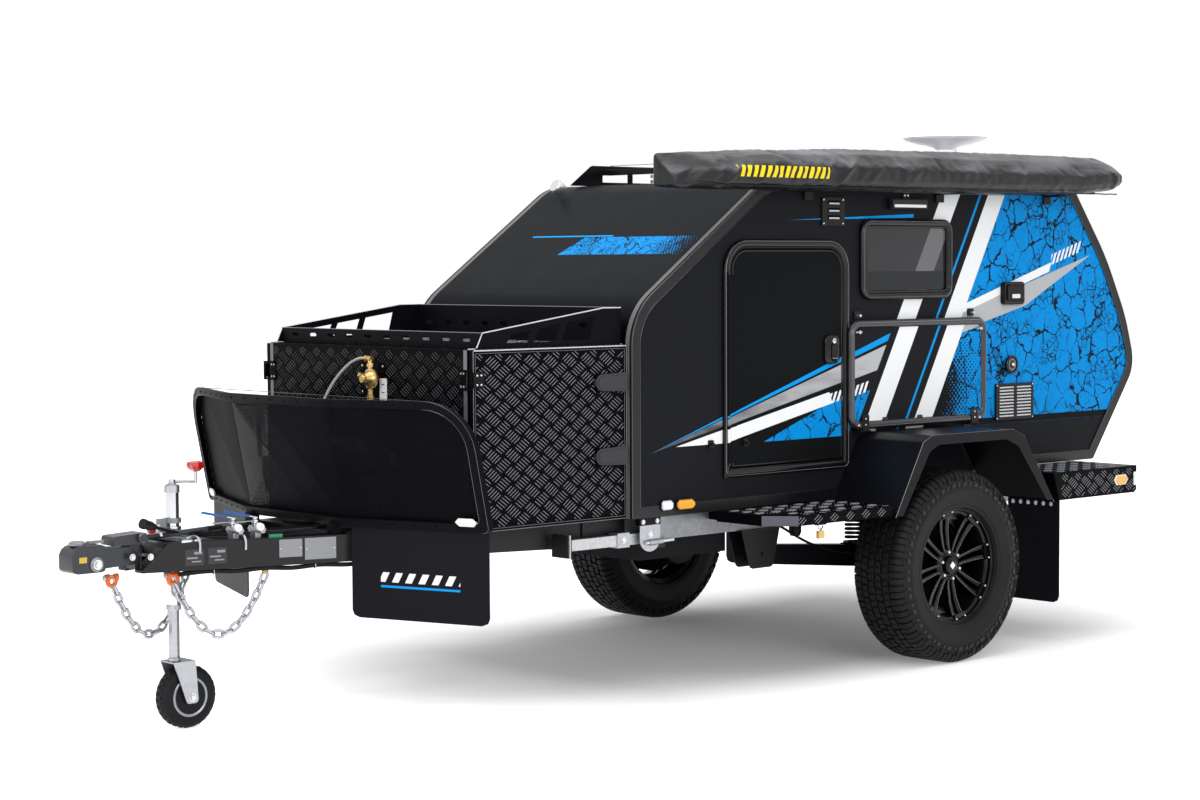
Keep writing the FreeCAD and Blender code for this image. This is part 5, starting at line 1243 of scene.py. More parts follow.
def make_regulator():
    shape = Shape()
    x, z = REGULATOR_X, REGULATOR_Z
    shape.prism(rectangle(-0.02, 0.132, 1.165, 1.29, 0.008), on_front(x), (0.0025, 0, 0), "plate")
    shape.prism(rectangle(0.104, 0.146, 1.13, 1.232, 0.005), on_front(x + 0.0026), (0.003, 0, 0), "white plastic")
    for zz in (1.15, 1.18, 1.21):
        shape.slab((x + 0.006, 0.125, zz), Y, Z, (0.018, 0.004, 0.002), "lever grey")
    for y, zz in ((-0.008, 1.277), (0.12, 1.277), (-0.008, 1.178), (0.12, 1.178)):
        shape.dome((x + 0.0025, y, zz), X, 0.005, 0.0025, "stainless", 8)
    # body of two pressed bowls with a flange between them
    shape.lathe((x + 0.0025, 0.08, z), X, [(0.0, 0.0), (0.018, 0.0), (0.024, 0.01), (0.032, 0.022), (0.04, 0.024),
                                           (0.04, 0.03), (0.032, 0.032), (0.028, 0.042), (0.016, 0.056),
                                           (0.016, 0.066), (0.013, 0.07), (0.0, 0.07)], "brass")
    # elbow on top, where the pale hose leaves
    shape.bar((x + 0.03, 0.08, z + 0.03), (x + 0.03, 0.08, z + 0.074), 0.0095, "brass", 14)
    shape.hexagon((x + 0.03, 0.08, z + 0.046), Z, 0.0135, 0.012, "brass")
    shape.bar((x + 0.03, 0.088, z + 0.074), (x + 0.03, 0.052, z + 0.076), 0.01, "brass", 14)
    shape.hexagon((x + 0.03, 0.062, z + 0.0755), -Y, 0.013, 0.014, "brass")
    for k in range(6):
        t = pi * k / 3
        shape.hexagon((x + 0.0325, 0.08 + 0.036 * cos(t), z + 0.036 * sin(t)), X, 0.0036, 0.003, "stainless")
    shape.bar((x + 0.03, 0.08, z - 0.04), (x + 0.03, 0.08, z - 0.08), 0.01, "brass")
    shape.hexagon((x + 0.03, 0.08, z - 0.064), -Z, 0.0145, 0.016, "brass")
    shape.bar((x + 0.03, 0.04, z + 0.01), (x + 0.03, 0.012, z + 0.01), 0.009, "brass")
    shape.hexagon((x + 0.03, 0.026, z + 0.01), -Y, 0.0135, 0.014, "brass")
    regulator = shape.done("regulator_detail", crease=35)
    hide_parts("gas_regulator")


def make_gas_hoses():
    shape = Shape()
    x, z = REGULATOR_X, REGULATOR_Z
    arch = [(x + 0.03, 0.052, z + 0.076), (x + 0.032, 0.01, z + 0.074), (x + 0.04, -0.045, z + 0.05),
            (x + 0.06, -0.1, z - 0.005), (x + 0.085, -0.138, z - 0.08), (BOTTLE_X - 0.045, -0.15, 1.072),
            (BOTTLE_X - 0.034, -0.15, 1.0515)]
    shape.hose(arch, 0.0058, "light hose", 7)
    fall = [(x + 0.03, 0.08, z - 0.08), (x + 0.032, 0.084, z - 0.14), (x + 0.04, 0.1, z - 0.23),
            (x + 0.034, 0.118, z - 0.33), (x + 0.014, 0.13, z - 0.42), (x + 0.008, 0.134, 0.7)]
    shape.hose(fall, 0.0052, "hose", 7)
    other = [(x + 0.034, 0.08, z - 0.078), (x + 0.06, 0.1, z - 0.11), (BOTTLE_X - 0.06, 0.135, 1.085),
             (BOTTLE_X - 0.04, 0.15, 1.0515)]
    shape.hose(other, 0.0052, "light hose", 7)
    shape.done("gas_hoses", crease=60)


def make_guard_brace():
    shape = Shape()
    # white bar and yellow tag behind the mesh
    shape.slab((BOX_X[1] + 0.255, -0.33, 1.02), Y, Z, (0.02, 0.19, 0.01), "white plastic")
    shape.slab((BOX_X[1] + 0.225, -0.33, 0.885), (0, 1, 0.1), Z, (0.05, 0.085, 0.002), "yellow")
    shape.done("guard_brace", bevel=0.001)


make_toolbox_door_fittings()
make_toolbox_front()
make_rack_fittings()
make_gas_bottles()
make_gas_strap()
make_regulator()
make_gas_hoses()
make_guard_brace()


# Side walls: edge trims, door, window, table and wall fittings

CABIN = [(1.538, DECK_Z, 0.008), (1.538, 1.469, 0.25), (0.793, 1.995, 0.25), (-1.197, 1.995, 0.11),
         (-1.45, 1.675, 1.2), (-1.602, 1.402, 0.8), (-1.676, 1.172, 0.15), (-1.358, 0.75, 0.02),
         (-0.5, 0.75, 0.0), (-0.44, DECK_Z, 0.0)]


def axle_corners(corners):
    return [(AXLE + a, b, r) for a, b, r in corners]


def inset_corners(corners, inset):
    """Corners of an anticlockwise outline moved inwards, with their radii kept concentric."""
    moved = []
    for k, (a, b, radius) in enumerate(corners):
        corner = Vector((a, b))
        before = (corner - Vector(corners[k - 1][:2])).normalized()
        after = (Vector(corners[(k + 1) % len(corners)][:2]) - corner).normalized()
        in_before, in_after = Vector((-before.y, before.x)), Vector((-after.y, after.x))
        reach = (in_before + in_after).normalized()
        point = corner + reach * (inset / max(0.3, reach.dot(in_before)))
        moved.append((point.x, point.y, max(0.0, radius - inset) if radius else 0.0))
    return moved


def wall_ring(shape, corners, inset, y, side, thick, wide, finish, sides, steps=8):
    """Moulding along an inset outline on a side wall, so thick off the wall and so wide along it."""
    points = [Vector((a, side * y, b)) for a, b in rounded(inset_corners(corners, inset), steps)]
    shape.tube(points, thick, finish, sides, closed=True, squeeze=wide / thick)


def screw(shape, x, y, z, side, radius=0.0045):
    shape.dome((x, y, z), side * Y, radius, radius * 0.5, "stainless", 12)


def make_trim_lines():
    shape = Shape()
    for side in SIDES:
        # painted highlights: thin light lines along both edges of the edge trim
        for inset, size in ((0.0025, 0.0022), (0.0445, 0.0018)):
            line = inset_corners(axle_corners(CABIN), inset)
            points = [Vector((a, side * 0.6684, b)) for a, b in rounded(line, 10)]
            # the wheel arch breaks the line
            kept = [p for p in points if not (p.z < 0.8 and AXLE - 0.545 < p.x < AXLE + 0.35)]
            start = next(k for k in range(len(kept)) if (kept[k] - kept[k - 1]).length > 0.7)
            kept = kept[start:] + kept[:start]
            shape.tube(kept, size, "bright edge", 6)
    shape.done("trim_edge_lines", crease=60)


DOOR = [(0.32, 0.812, 0.03), (1.046, 0.812, 0.03), (1.046, 1.751, 0.12), (0.32, 1.751, 0.12)]


def make_door_frames():
    for side, name in SIDES.items():
        shape = Shape()
        corners = axle_corners(DOOR)
        wall_ring(shape, corners, 0.0155, 0.6745, side, 0.0075, 0.015, "gloss black", 12)
        wall_ring(shape, corners, 0.033, 0.6752, side, 0.0022, 0.0022, "trim", 8)
        # painted highlight: a thin light ring round the frame
        wall_ring(shape, corners, 0.006, 0.68, side, 0.0014, 0.0014, "rim glint", 6)
        shape.done("door_frame_moulding_" + name, crease=60)
        shape = Shape()
        # edge of the leaf, with the handle's pan, paddle and lock
        wall_ring(shape, corners, 0.045, 0.6758, side, 0.0024, 0.004, "gloss black", 8)
        x, z = AXLE + 0.425, 1.302
        pan = rounded([(x - 0.04, z - 0.058, 0.032), (x + 0.05, z - 0.058, 0.026), (x + 0.05, z + 0.058, 0.026),
                       (x - 0.04, z + 0.058, 0.032)], 6)
        middle = scaled_about((x, z), pan, 0.9, 0.93)
        shape.skin([[on_side(side * 0.6764)(a, b) for a, b in pan], [on_side(side * 0.686)(a, b) for a, b in pan],
                    [on_side(side * 0.6895)(a, b) for a, b in middle]], "gloss black")
        shape.pad(side, (x - 0.018, x + 0.018, z - 0.04, z + 0.022), 0.6893, 0.006, "plastic", 0.01)
        shape.lathe((x, side * 0.6895, z + 0.036), side * Y,
                    [(0.0115, 0.0), (0.0115, 0.0035), (0.009, 0.0048), (0.0, 0.0048)], "chrome", 24)
        shape.slab((x, side * 0.6945, z + 0.036), Z, (side, 0, 0), (0.009, 0.0014, 0.0008), "black")
        shape.tube([(x - 0.016, side * 0.6953, z - 0.036), (x + 0.016, side * 0.6953, z - 0.036)], 0.002, "chrome", 6)
        shape.done("door_fittings_" + name, "door_%s_body" % name, crease=40)


WINDOW = (AXLE - 0.339, AXLE + 0.245, 1.502, 1.84)


def make_window_frames():
    shape = Shape()
    for side in SIDES:
        x0, x1, z0, z1 = WINDOW
        corners = corners_of(x0, x1, z0, z1, 0.055)
        wall_ring(shape, corners, 0.015, 0.6735, side, 0.011, 0.015, "gloss black", 14)
        wall_ring(shape, corners, 0.033, 0.6755, side, 0.0045, 0.0055, "gloss black", 8)
        # painted highlight: a thin light ring round the frame
        wall_ring(shape, corners, 0.011, 0.684, side, 0.0012, 0.0012, "rim glint", 6)
        # darker blind over the lower part of the pane
        place = on_side(side * 0.6686)
        shape.prism(rectangle(x0 + 0.04, x1 - 0.04, z0 + 0.04, z0 + 0.118, 0.01), place, Y * (side * 0.0004),
                    "deep glass")
        for dx in (0.12, 0.3, 0.48):
            shape.dome((x0 + dx, side * 0.6846, z1 - 0.015), side * Y, 0.0032, 0.0014, "black", 8)
    shape.done("window_mouldings", crease=60)


TABLE = (AXLE - 0.548, AXLE + 0.339, 0.966, 1.42)


def make_table():
    shape = Shape()
    x0, x1, z0, z1 = TABLE
    corners = corners_of(x0, x1, z0, z1, 0.06)
    wall_ring(shape, corners, 0.0172, 0.6905, 1, 0.014, 0.0172, "table tube", 18, 9)
    # painted highlight: a thin light ring on the tube frame
    wall_ring(shape, corners, 0.012, 0.7036, 1, 0.0016, 0.0016, "step bars", 6, 9)
    shape.pad(1, (x0 + 0.022, x1 - 0.022, z0 + 0.022, z1 - 0.022), 0.68, 0.014, "charcoal print", 0.045)
    # plain table top on the face that lies against the wall
    shape.pad(1, (x0 + 0.024, x1 - 0.024, z0 + 0.024, z1 - 0.024), 0.6788, 0.0011, "latch grey", 0.043)
    for x in (x0 + 0.052, x1 - 0.052):
        lean = 0.018 if x < AXLE else -0.018
        shape.bar((x - lean, 0.6985, z1 - 0.05), (x + lean, 0.6985, z1 - 0.05), 0.006, "chrome", 14)
        shape.bar((x, 0.694, z1 - 0.05), (x, 0.7085, z1 - 0.05), 0.0075, "chrome", 14)
        shape.dome((x, 0.7035, z0 + 0.017), Y, 0.007, 0.0035, "chrome", 12)
    for share in (0.25, 0.5, 0.75):
        x = x0 + (x1 - x0) * share
        outline = rounded([(x - 0.017, z0 + 0.034, 0), (x + 0.017, z0 + 0.034, 0), (x + 0.012, z0 + 0.046, 0.008),
                           (x - 0.012, z0 + 0.046, 0.008)], 4)
        shape.prism(outline, on_side(0.6942), (0, 0.006, 0), "gloss black")
    for x in (AXLE - 0.458, AXLE + 0.249):
        shape.pad(1, (x - 0.0205, x + 0.0205, 0.96, 1.0265), 0.7061, 0.0014, "plastic", 0.006)
        for dz in (0.985, 1.01):
            screw(shape, x, 0.7073, dz, 1)
        shape.tube([(x - 0.02, 0.704, 0.96), (x + 0.02, 0.704, 0.96)], 0.0064, "black", 12)
    table = shape.done("table_frame_detail", "table_body", crease=50)
    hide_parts("fold_table")


def make_table_catches():
    shape = Shape()
    x0, x1, _, z1 = TABLE
    # catches on the wall that hold the table's upper edge
    for x in (x0 + 0.075, x1 - 0.075):
        shape.pad(1, (x - 0.018, x + 0.018, z1 + 0.004, z1 + 0.036), 0.6635, 0.008, "plastic", 0.005)
        shape.bar((x, 0.6715, z1 + 0.018), (x, 0.6905, z1 + 0.018), 0.006, "stainless")
    shape.done("table_catches", crease=40)


def make_vent_plate(shape):
    x0, x1, z0, z1 = AXLE + 0.341, AXLE + 0.477, 1.808, 1.925
    y = 0.6713
    for x in (x0 + 0.01, x1 - 0.01):
        for z in (z0 + 0.01, z1 - 0.01):
            screw(shape, x, y, z, 1, 0.004)
    for row in range(3):
        z = z0 + 0.026 + row * 0.03
        shape.pad(1, (x0 + 0.028, x1 - 0.034, z, z + 0.017), y, 0.0012, "louvre shade", 0.003, 3)
        shape.pad(1, (x0 + 0.034, x1 - 0.04, z + 0.002, z + 0.0085), y, 0.0022, "louvre", 0.001, 2)


def make_awning_light(shape):
    x0, x1, z0, z1 = AXLE - 0.167, AXLE + 0.072, 1.881, 1.923
    y = 0.6853
    shape.pad(1, (x0 + 0.006, x1 - 0.006, z0 + 0.004, z1 - 0.004), y, 0.006, "gloss black", 0.012)
    shape.pad(1, (x0 + 0.018, x1 - 0.018, z0 + 0.007, z0 + 0.019), y + 0.006, 0.0016, "clear", 0.005)
    middle = (x0 + x1) / 2
    shape.pad(1, (middle - 0.022, middle + 0.022, z1, z1 + 0.036), 0.664, 0.004, "plastic", 0.004)
    for dx in (-0.01, 0.01):
        screw(shape, middle + dx, 0.668, z1 + 0.016, 1, 0.0055)


def make_outlets(shape):
    # square outlet with its lid and lip
    x0, x1, z0, z1 = AXLE - 0.831, AXLE - 0.685, 1.469, 1.569
    y = 0.6813
    lip = [[Vector((a, y + proud, b)) for a, b in rectangle(x0 + inset, x1 - inset, z0 + inset, z1 - inset, radius)]
           for inset, radius, proud in ((0.004, 0.01, 0), (0.004, 0.01, 0.004), (0.014, 0.006, 0.004),
                                        (0.014, 0.006, 0))]
    shape.skin(lip, "gloss black", loop=True)
    shape.pad(1, (x0 + 0.018, x1 - 0.018, z0 + 0.02, z1 - 0.018), y, 0.01, "plastic", 0.006)
    shape.pad(1, (x0 + 0.045, x1 - 0.045, z0 + 0.028, z0 + 0.046), y + 0.01, 0.003, "aluminium", 0.004)
    shape.bar((x0 + 0.024, y + 0.01, z1 - 0.014), (x1 - 0.024, y + 0.01, z1 - 0.014), 0.0032, "black", 8)
    # round outlet with its silver knob
    centre = (AXLE - 0.75, 0.6765, 1.204)
    shape.lathe(centre, Y, [(0.041, 0.0), (0.041, 0.004), (0.038, 0.0065), (0.031, 0.0065), (0.029, 0.002),
                            (0.0, 0.002)], "gloss black", 36)
    shape.lathe(centre, Y, [(0.009, 0.002), (0.009, 0.01), (0.007, 0.0125), (0.0, 0.0125)], "stainless", 20)
    shape.lathe(centre, Y, [(0.025, 0.002), (0.025, 0.0042), (0.02, 0.0042), (0.02, 0.002)], "lever grey", 28,
                closed=True)
    # vent grille with light blades
    for column in range(2):
        for row in range(10):
            x = AXLE - 0.895 + column * 0.122
            z = 0.974 + row * 0.014
            shape.slab((x + 0.054, 0.6738, z + 0.0028), X, (0, -0.35, 0.94), (0.098, 0.0062, 0.0012), "louvre")
    for x in (AXLE - 0.903, AXLE - 0.654):
        for z in (0.967, 1.113):
            screw(shape, x, 0.6733, z, 1, 0.0036)


def make_fender_lips():
    """Painted highlight: a light strip along the outer edge of each fender's folded lip."""
    shape = Shape()
    for side in SIDES:
        outline = [at(a, side * 1.0283, b) for a, b in ((0.43, 0.636), (0.262, 0.9295), (0.205, 0.9545),
                                                        (-0.315, 0.9545), (-0.388, 0.9245), (-0.597, 0.629))]
        shape.tube(outline, 0.0016, "rim glint", 6)
    shape.done("fender_lip_lines", crease=60)


def make_hatch_locks():
    """Two round locks on the lower, inward-sloping part of the rear hatch."""
    shape = Shape()
    out = Vector((-0.8, 0, -0.6))
    for y in (-0.3, 0.3):
        shape.lathe(at(-1.6, y, 1.074), out, [(0.019, 0.0), (0.019, 0.005), (0.014, 0.009), (0.0, 0.009)], "chrome",
                    24)
        shape.slab(at(-1.6, y, 1.074) + out * 0.0092, Y, (0.6, 0, -0.8), (0.013, 0.002, 0.0008), "black")
    shape.done("rear_hatch_locks", "rear_hatch_body", crease=40)


def make_brackets(shape):
    """Hold-back catches of the door."""
    for x, z in ((1.115, 0.949), (0.936, 0.947)):
        x += AXLE
        base = (0.6633 if x > AXLE + 1.05 else 0.6765)
        shape.pad(1, (x - 0.012, x + 0.012, z - 0.016, z + 0.016), base, 0.01, "plastic", 0.005)
        shape.bar((x, base + 0.01, z), (x, base + 0.024, z), 0.006, "plastic")


def make_wall_fittings():
    shape = Shape()
    make_vent_plate(shape)
    make_awning_light(shape)
    make_outlets(shape)
    shape.done("wall_fittings", crease=38)
    shape = Shape()
    make_brackets(shape)
    shape.done("door_catches", crease=38)


def lamp(shape, x0, x1, z0, z1, y, side, colour, proud, cut=0.01):
    """Small lamp on a black base with cut corners."""
    wide = [(x0, z0 + cut), (x0 + cut, z0), (x1 - cut, z0), (x1, z0 + cut), (x1, z1 - cut), (x1 - cut, z1),
            (x0 + cut, z1), (x0, z1 - cut)]
    shape.prism(wide, on_side(y), (0, side * proud * 0.4, 0), "plastic")
    middle = ((x0 + x1) / 2, (z0 + z1) / 2)
    low = scaled_about(middle, wide, 0.9, 0.86)
    high = scaled_about(middle, wide, 0.8, 0.68)
    start, end = on_side(y + side * proud * 0.4), on_side(y + side * proud)
    shape.skin([[start(a, b) for a, b in low], [end(a, b) for a, b in high]], colour)


def make_lamps():
    shape = Shape()
    for side in SIDES:
        y = side * 0.6686
        lamp(shape, AXLE + 1.327, AXLE + 1.391, 0.704, 0.748, y, side, "clear", 0.014)
        lamp(shape, AXLE + 1.209, AXLE + 1.311, 0.702, 0.746, y, side, "amber", 0.018, 0.014)
        # tail lamps on the rear end of the steps
        x = AXLE - 1.2103
        for y0, y1, colour in ((0.7, 0.8, "clear"), (0.8, 0.9, "amber"), (0.9, 1.0, "red lens")):
            ring = [(side * y0, 0.646), (side * y1, 0.646), (side * y1, 0.734), (side * y0, 0.734)]
            middle = (side * (y0 + y1) / 2, 0.69)
            place, front = on_front(x), on_front(x - 0.023)
            inner = scaled_about(middle, ring, 0.92, 0.9)
            shape.skin([[place(a, b) for a, b in ring], [on_front(x - 0.012)(a, b) for a, b in ring],
                        [front(a, b) for a, b in inner]], colour)
    lamps = shape.done("lamp_lenses", bevel=0.0012)
    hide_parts("marker_lamps")


def make_step_lamps():
    shape = Shape()
    for side in SIDES:
        # amber side lamp between white edges near the end of the rear step
        x0, x1 = AXLE - 1.13, AXLE - 1.05
        middle, z = (x0 + x1) / 2, 0.692
        for scale, finish, y in ((1.0, "white plastic", 1.0163), (0.8, "amber", 1.0205)):
            ring = [(middle + scale * a, z + scale * b) for a, b in
                    ((-0.05, 0.0), (-0.034, -0.022), (0.034, -0.022), (0.05, 0.0), (0.034, 0.022), (-0.034, 0.022))]
            shape.prism(ring, on_side(side * y), Y * (side * 0.0042), finish)
        shape.pad(side, (AXLE - 1.206, AXLE - 1.184, 0.662, 0.722), 1.0163, 0.006, "clear", 0.004)
    shape.done("step_lamps", bevel=0.0012)


make_trim_lines()
make_door_frames()
make_window_frames()
make_table()
make_table_catches()
make_wall_fittings()
make_fender_lips()
make_hatch_locks()
make_lamps()
make_step_lamps()


# Awning bag

BAG_X = (AXLE - 1.36, AXLE + 1.44)
BAG_Y_HELD = 0.7
# sections of the bag from the rear end to the front one: station, then (y, z) and the rounding of seven corners
BAG_SECTIONS = [(0.0, [(0.684, 1.996), (0.812, 1.998), (0.826, 2.014), (0.826, 2.046), (0.77, 2.082), (0.705, 2.112),
                       (0.684, 2.108)], 0.012), (0.03, [(0.679, 1.972), (0.826, 1.98), (0.844, 2.002), (0.844, 2.048),
                                                        (0.775, 2.094), (0.7, 2.126), (0.679, 2.124)], 0.016),
                (0.12, [(0.678, 1.954), (0.826, 1.962), (0.846, 1.99), (0.846, 2.036), (0.78, 2.088), (0.7, 2.128),
                        (0.679, 2.128)], 0.02), (0.35, [(0.678, 1.952), (0.828, 1.955), (0.847, 1.984),
                                                        (0.847, 2.032), (0.79, 2.086), (0.705, 2.127),
                                                        (0.679, 2.127)], 0.022),
                (0.6, [(0.678, 1.952), (0.826, 1.951), (0.846, 1.978), (0.847, 2.04), (0.8, 2.09), (0.706, 2.12),
                       (0.679, 2.119)], 0.024), (0.8, [(0.678, 1.952), (0.824, 1.948), (0.843, 1.972), (0.844, 2.034),
                                                       (0.8, 2.078), (0.705, 2.104), (0.679, 2.104)], 0.022),
                (0.93, [(0.678, 1.951), (0.816, 1.945), (0.834, 1.965), (0.828, 2.01), (0.78, 2.05), (0.7, 2.088),
                        (0.68, 2.089)], 0.018), (1.0, [(0.68, 1.95), (0.796, 1.946), (0.808, 1.96), (0.786, 1.996),
                                                       (0.74, 2.032), (0.69, 2.078), (0.682, 2.079)], 0.009), ]
BAG_AROUND = 72
BAG_MOST_MOVE = 0.005     # how far the cloth simulation may move a point


def evenly(points, count):
    """Closed line resampled to so many points, evenly spaced."""
    runs = [(points[(k + 1) % len(points)] - p).length for k, p in enumerate(points)]
    total = sum(runs)
    found, k, gone = [], 0, 0.0
    for step in range(count):
        want = total * step / count
        while gone + runs[k] < want:
            gone += runs[k]
            k += 1
        found.append(points[k].lerp(points[(k + 1) % len(points)], (want - gone) / max(runs[k], 1e-9)))
    return found


def bag_ring(share, sections):
    for (s0, low), (s1, high) in zip(sections, sections[1:]):
        if share <= s1:
            t = (share - s0) / (s1 - s0)
            t = t * t * (3 - 2 * t)
            return [a.lerp(b, t) for a, b in zip(low, high)]
    return sections[-1][1]


def fold_height(share, around):
    """Soft drape folds that run down and back over the outer face, stronger towards the front end."""
    outer = exp(-((around - 0.4) / 0.13) ** 2)
    lean = share + 0.24 * around
    height = 0.0
    for period, phase, depth, low, high in ((0.052, 0.01, 0.006, 0.6, 1.05), (0.091, 0.047, 0.006, 0.35, 0.98),
                                            (0.031, 0.012, 0.003, 0.84, 1.05), (0.123, 0.02, 0.0035, 0.05, 0.6)):
        reach = max(0.0, min(1.0, (share - low) / 0.08, (high - share) / 0.08))
        wave = sin(pi * (lean + phase) / period + 0.9 * sin(share * 17 + around * 4))
        height += depth * reach * (1 - abs(wave)) ** 2.2 * outer
    # small creases here and there
    height += 0.0004 * outer * sin(share * 211 + 17 * around) * sin(share * 67 - 9 * around)
    return height


def make_awning_bag():
    sections = [(s, evenly([Vector((0, a, b)) for a, b in rounded([(a, b, radius) for a, b in corners])], BAG_AROUND))
                for s, corners, radius in BAG_SECTIONS]
    shares = [0.0, 0.0022, 0.0046, 0.008, 0.012] + [0.0165 + (0.9835 - 0.0165) * k / 220
                                                    for k in range(221)] + [0.988, 0.992, 0.9954, 0.9978, 1.0]
    rings = []
    for share in shares:
        ring = bag_ring(share, sections)
        centre = sum(ring, Vector()) / len(ring)
        close = min(share, 1 - share)
        shrink = 1.0 if close > 0.008 else 0.9 + 0.1 * sin(pi / 2 * close / 0.008)
        placed = []
        for k, point in enumerate(ring):
            outward = (point - centre).normalized()
            lift = fold_height(share, k / BAG_AROUND) if close > 0.004 else 0.0
            moved = centre + (point - centre) * shrink + outward * lift
            placed.append(Vector((BAG_X[0] + (BAG_X[1] - BAG_X[0]) * share, moved.y, moved.z)))
        rings.append(placed)
    shape = Shape()
    shape.skin(rings, "awning")
    bag = shape.done("awning_bag_cloth", crease=80)
    settle(bag)
    soften = bag.modifiers.new("soft folds", "SUBSURF")
    soften.levels = soften.render_levels = 1
    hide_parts("awning_bag")


def settle(bag):
    """Let the vinyl rest over the rolled cloth in a short cloth simulation, its back edge held in the rail."""
    cloth = bag.modifiers.new("vinyl", "CLOTH")
    settings = cloth.settings
    settings.quality = 5
    settings.mass = 0.25
    settings.tension_stiffness = 20
    settings.compression_stiffness = 8
    settings.bending_stiffness = 0.4
    settings.use_pressure = True
    settings.uniform_pressure_force = 1.2
    settings.effector_weights.gravity = 0.0
    settings.shrink_min = -0.02
    holding = bag.vertex_groups.new(name="held")
    held = [v.index for v in bag.data.vertices
            if v.co.y < BAG_Y_HELD or v.co.x < BAG_X[0] + 0.006 or v.co.x > BAG_X[1] - 0.006]
    holding.add(held, 1.0, "REPLACE")
    settings.vertex_group_mass = "held"
    before = [v.co.copy() for v in bag.data.vertices]
    scene = bpy.context.scene
    for tick in range(1, 13):
        scene.frame_set(tick)
    shaped = bag.evaluated_get(bpy.context.evaluated_depsgraph_get()).to_mesh()
    settled = []
    for old, vertex in zip(before, shaped.vertices):
        move = vertex.co - old
        settled.append(old + move * min(1.0, BAG_MOST_MOVE / max(move.length, 1e-9)))
    bag.modifiers.remove(cloth)
    for vertex, place in zip(bag.data.vertices, settled):
        vertex.co = place
    scene.frame_set(1)


def make_awning_straps():
    shape = Shape()
    for x in (AXLE + 0.56, AXLE - 0.26, AXLE - 1.0):
        shape.box(x - 0.0255, x + 0.0255, 0.6688, 0.759, 1.9445, 1.9515, "plastic")
    # back rail of the awning, and the zip along the lower edge
    shape.box(BAG_X[0] + 0.02, BAG_X[1] - 0.02, 0.6765, 0.6835, 1.962, 2.07, "black")
    line = [(BAG_X[0] + 0.06 + (BAG_X[1] - BAG_X[0] - 0.16) * k / 60, 0.8315 + 0.001 * sin(k),
             1.9585 + 0.001 * sin(k * 2.3)) for k in range(61)]
    shape.tube(line, 0.003, "black", 6)
    shape.done("awning_rail_and_zip", crease=50)


make_awning_bag()
make_awning_straps()


# Drawbar, coupling, water taps and jockey wheel

def rail_y(x):
    """Outer face of a drawbar rail at a station from the axle."""
    return 0.0812 + (3.33 - x) * RAIL_TURN


def make_drawbar_fittings():
    shape = Shape()
    ahead = Vector((1, -RAIL_TURN, 0)).normalized()
    out = Vector((RAIL_TURN, 1, 0)).normalized()
    # two blank stickers and two silver plates on the left rail
    for x, length, height, z, finish in ((3.152, 0.068, 0.058, 0.63, "dark sticker"),
                                         (3.072, 0.068, 0.058, 0.632, "dark sticker"),
                                         (2.813, 0.086, 0.064, 0.644, "bright plate"),
                                         (2.706, 0.118, 0.078, 0.638, "bright plate")):
        centre = at(x, rail_y(x) + 0.001, z)
        shape.slab(centre, ahead, Z, (length, height, 0.0012), finish)
        if finish == "dark sticker":
            # worn blank patches on the stickers
            for a, b, wide, tall in ((-0.2, 0.26, 0.42, 0.16), (0.12, -0.04, 0.58, 0.1), (-0.1, -0.26, 0.5, 0.08)):
                shape.slab(centre + ahead * (length * a) + Z * (height * b) + out * 0.0007, ahead, Z,
                           (length * wide, height * tall, 0.0006), "bright plate")
        if finish == "bright plate":
            for a in (-0.44, 0.44):
                shape.dome(centre + ahead * (length * a) + out * 0.0006, out, 0.0028, 0.0018, "stainless", 8)
    # zinc hooks bent over the rail
    for x in (3.135, 2.975):
        y = rail_y(x)
        shape.hose([at(x, y + 0.0055, 0.648), at(x, y + 0.006, 0.68), at(x, y - 0.01, 0.6985), at(x, y - 0.045, 0.7),
                    at(x + 0.012, y - 0.06, 0.6885)], 0.0052, "zinc", 5)
    for x in (2.47, 2.44):
        shape.bolt(at(x, rail_y(x), 0.612), out, 0.007)
    # brake rod with its turnbuckle below the rails
    start, end = at(3.3, 0.0, 0.64), at(2.35, 0.0, 0.566)
    run = end - start
    for a, b, radius, finish in ((0.0, 0.34, 0.005, "zinc"), (0.3, 0.325, 0.0095, "zinc"),
                                 (0.34, 0.42, 0.0085, "zinc"), (0.42, 0.445, 0.0095, "zinc"),
                                 (0.42, 1.0, 0.005, "zinc")):
        shape.bar(start + run * a, start + run * b, radius, finish)
    # grey conduit along the left rail
    line = [at(x, rail_y(x) - 0.012, 0.574 + 0.003 * sin(x * 31)) for x in
            (3.2, 3.1, 3.0, 2.9, 2.8, 2.7, 2.6, 2.5, 2.4, 2.3, 2.2)]
    shape.hose(line, 0.0085, "rubber black", 5, 12)
    for x in (3.08, 2.72, 2.36):
        shape.tube(circle(at(x, rail_y(x) - 0.012, 0.575), out, Z, 0.0108, 24), 0.0018, "zinc", 6, closed=True)
    # weld seams where rails meet the coupling plate
    for side in SIDES:
        shape.tube([at(3.322, side * 0.0585, 0.592), at(3.322, side * 0.0585, 0.675)], 0.0035, "chassis black", 8)
    shape.done("drawbar_fittings", crease=40)


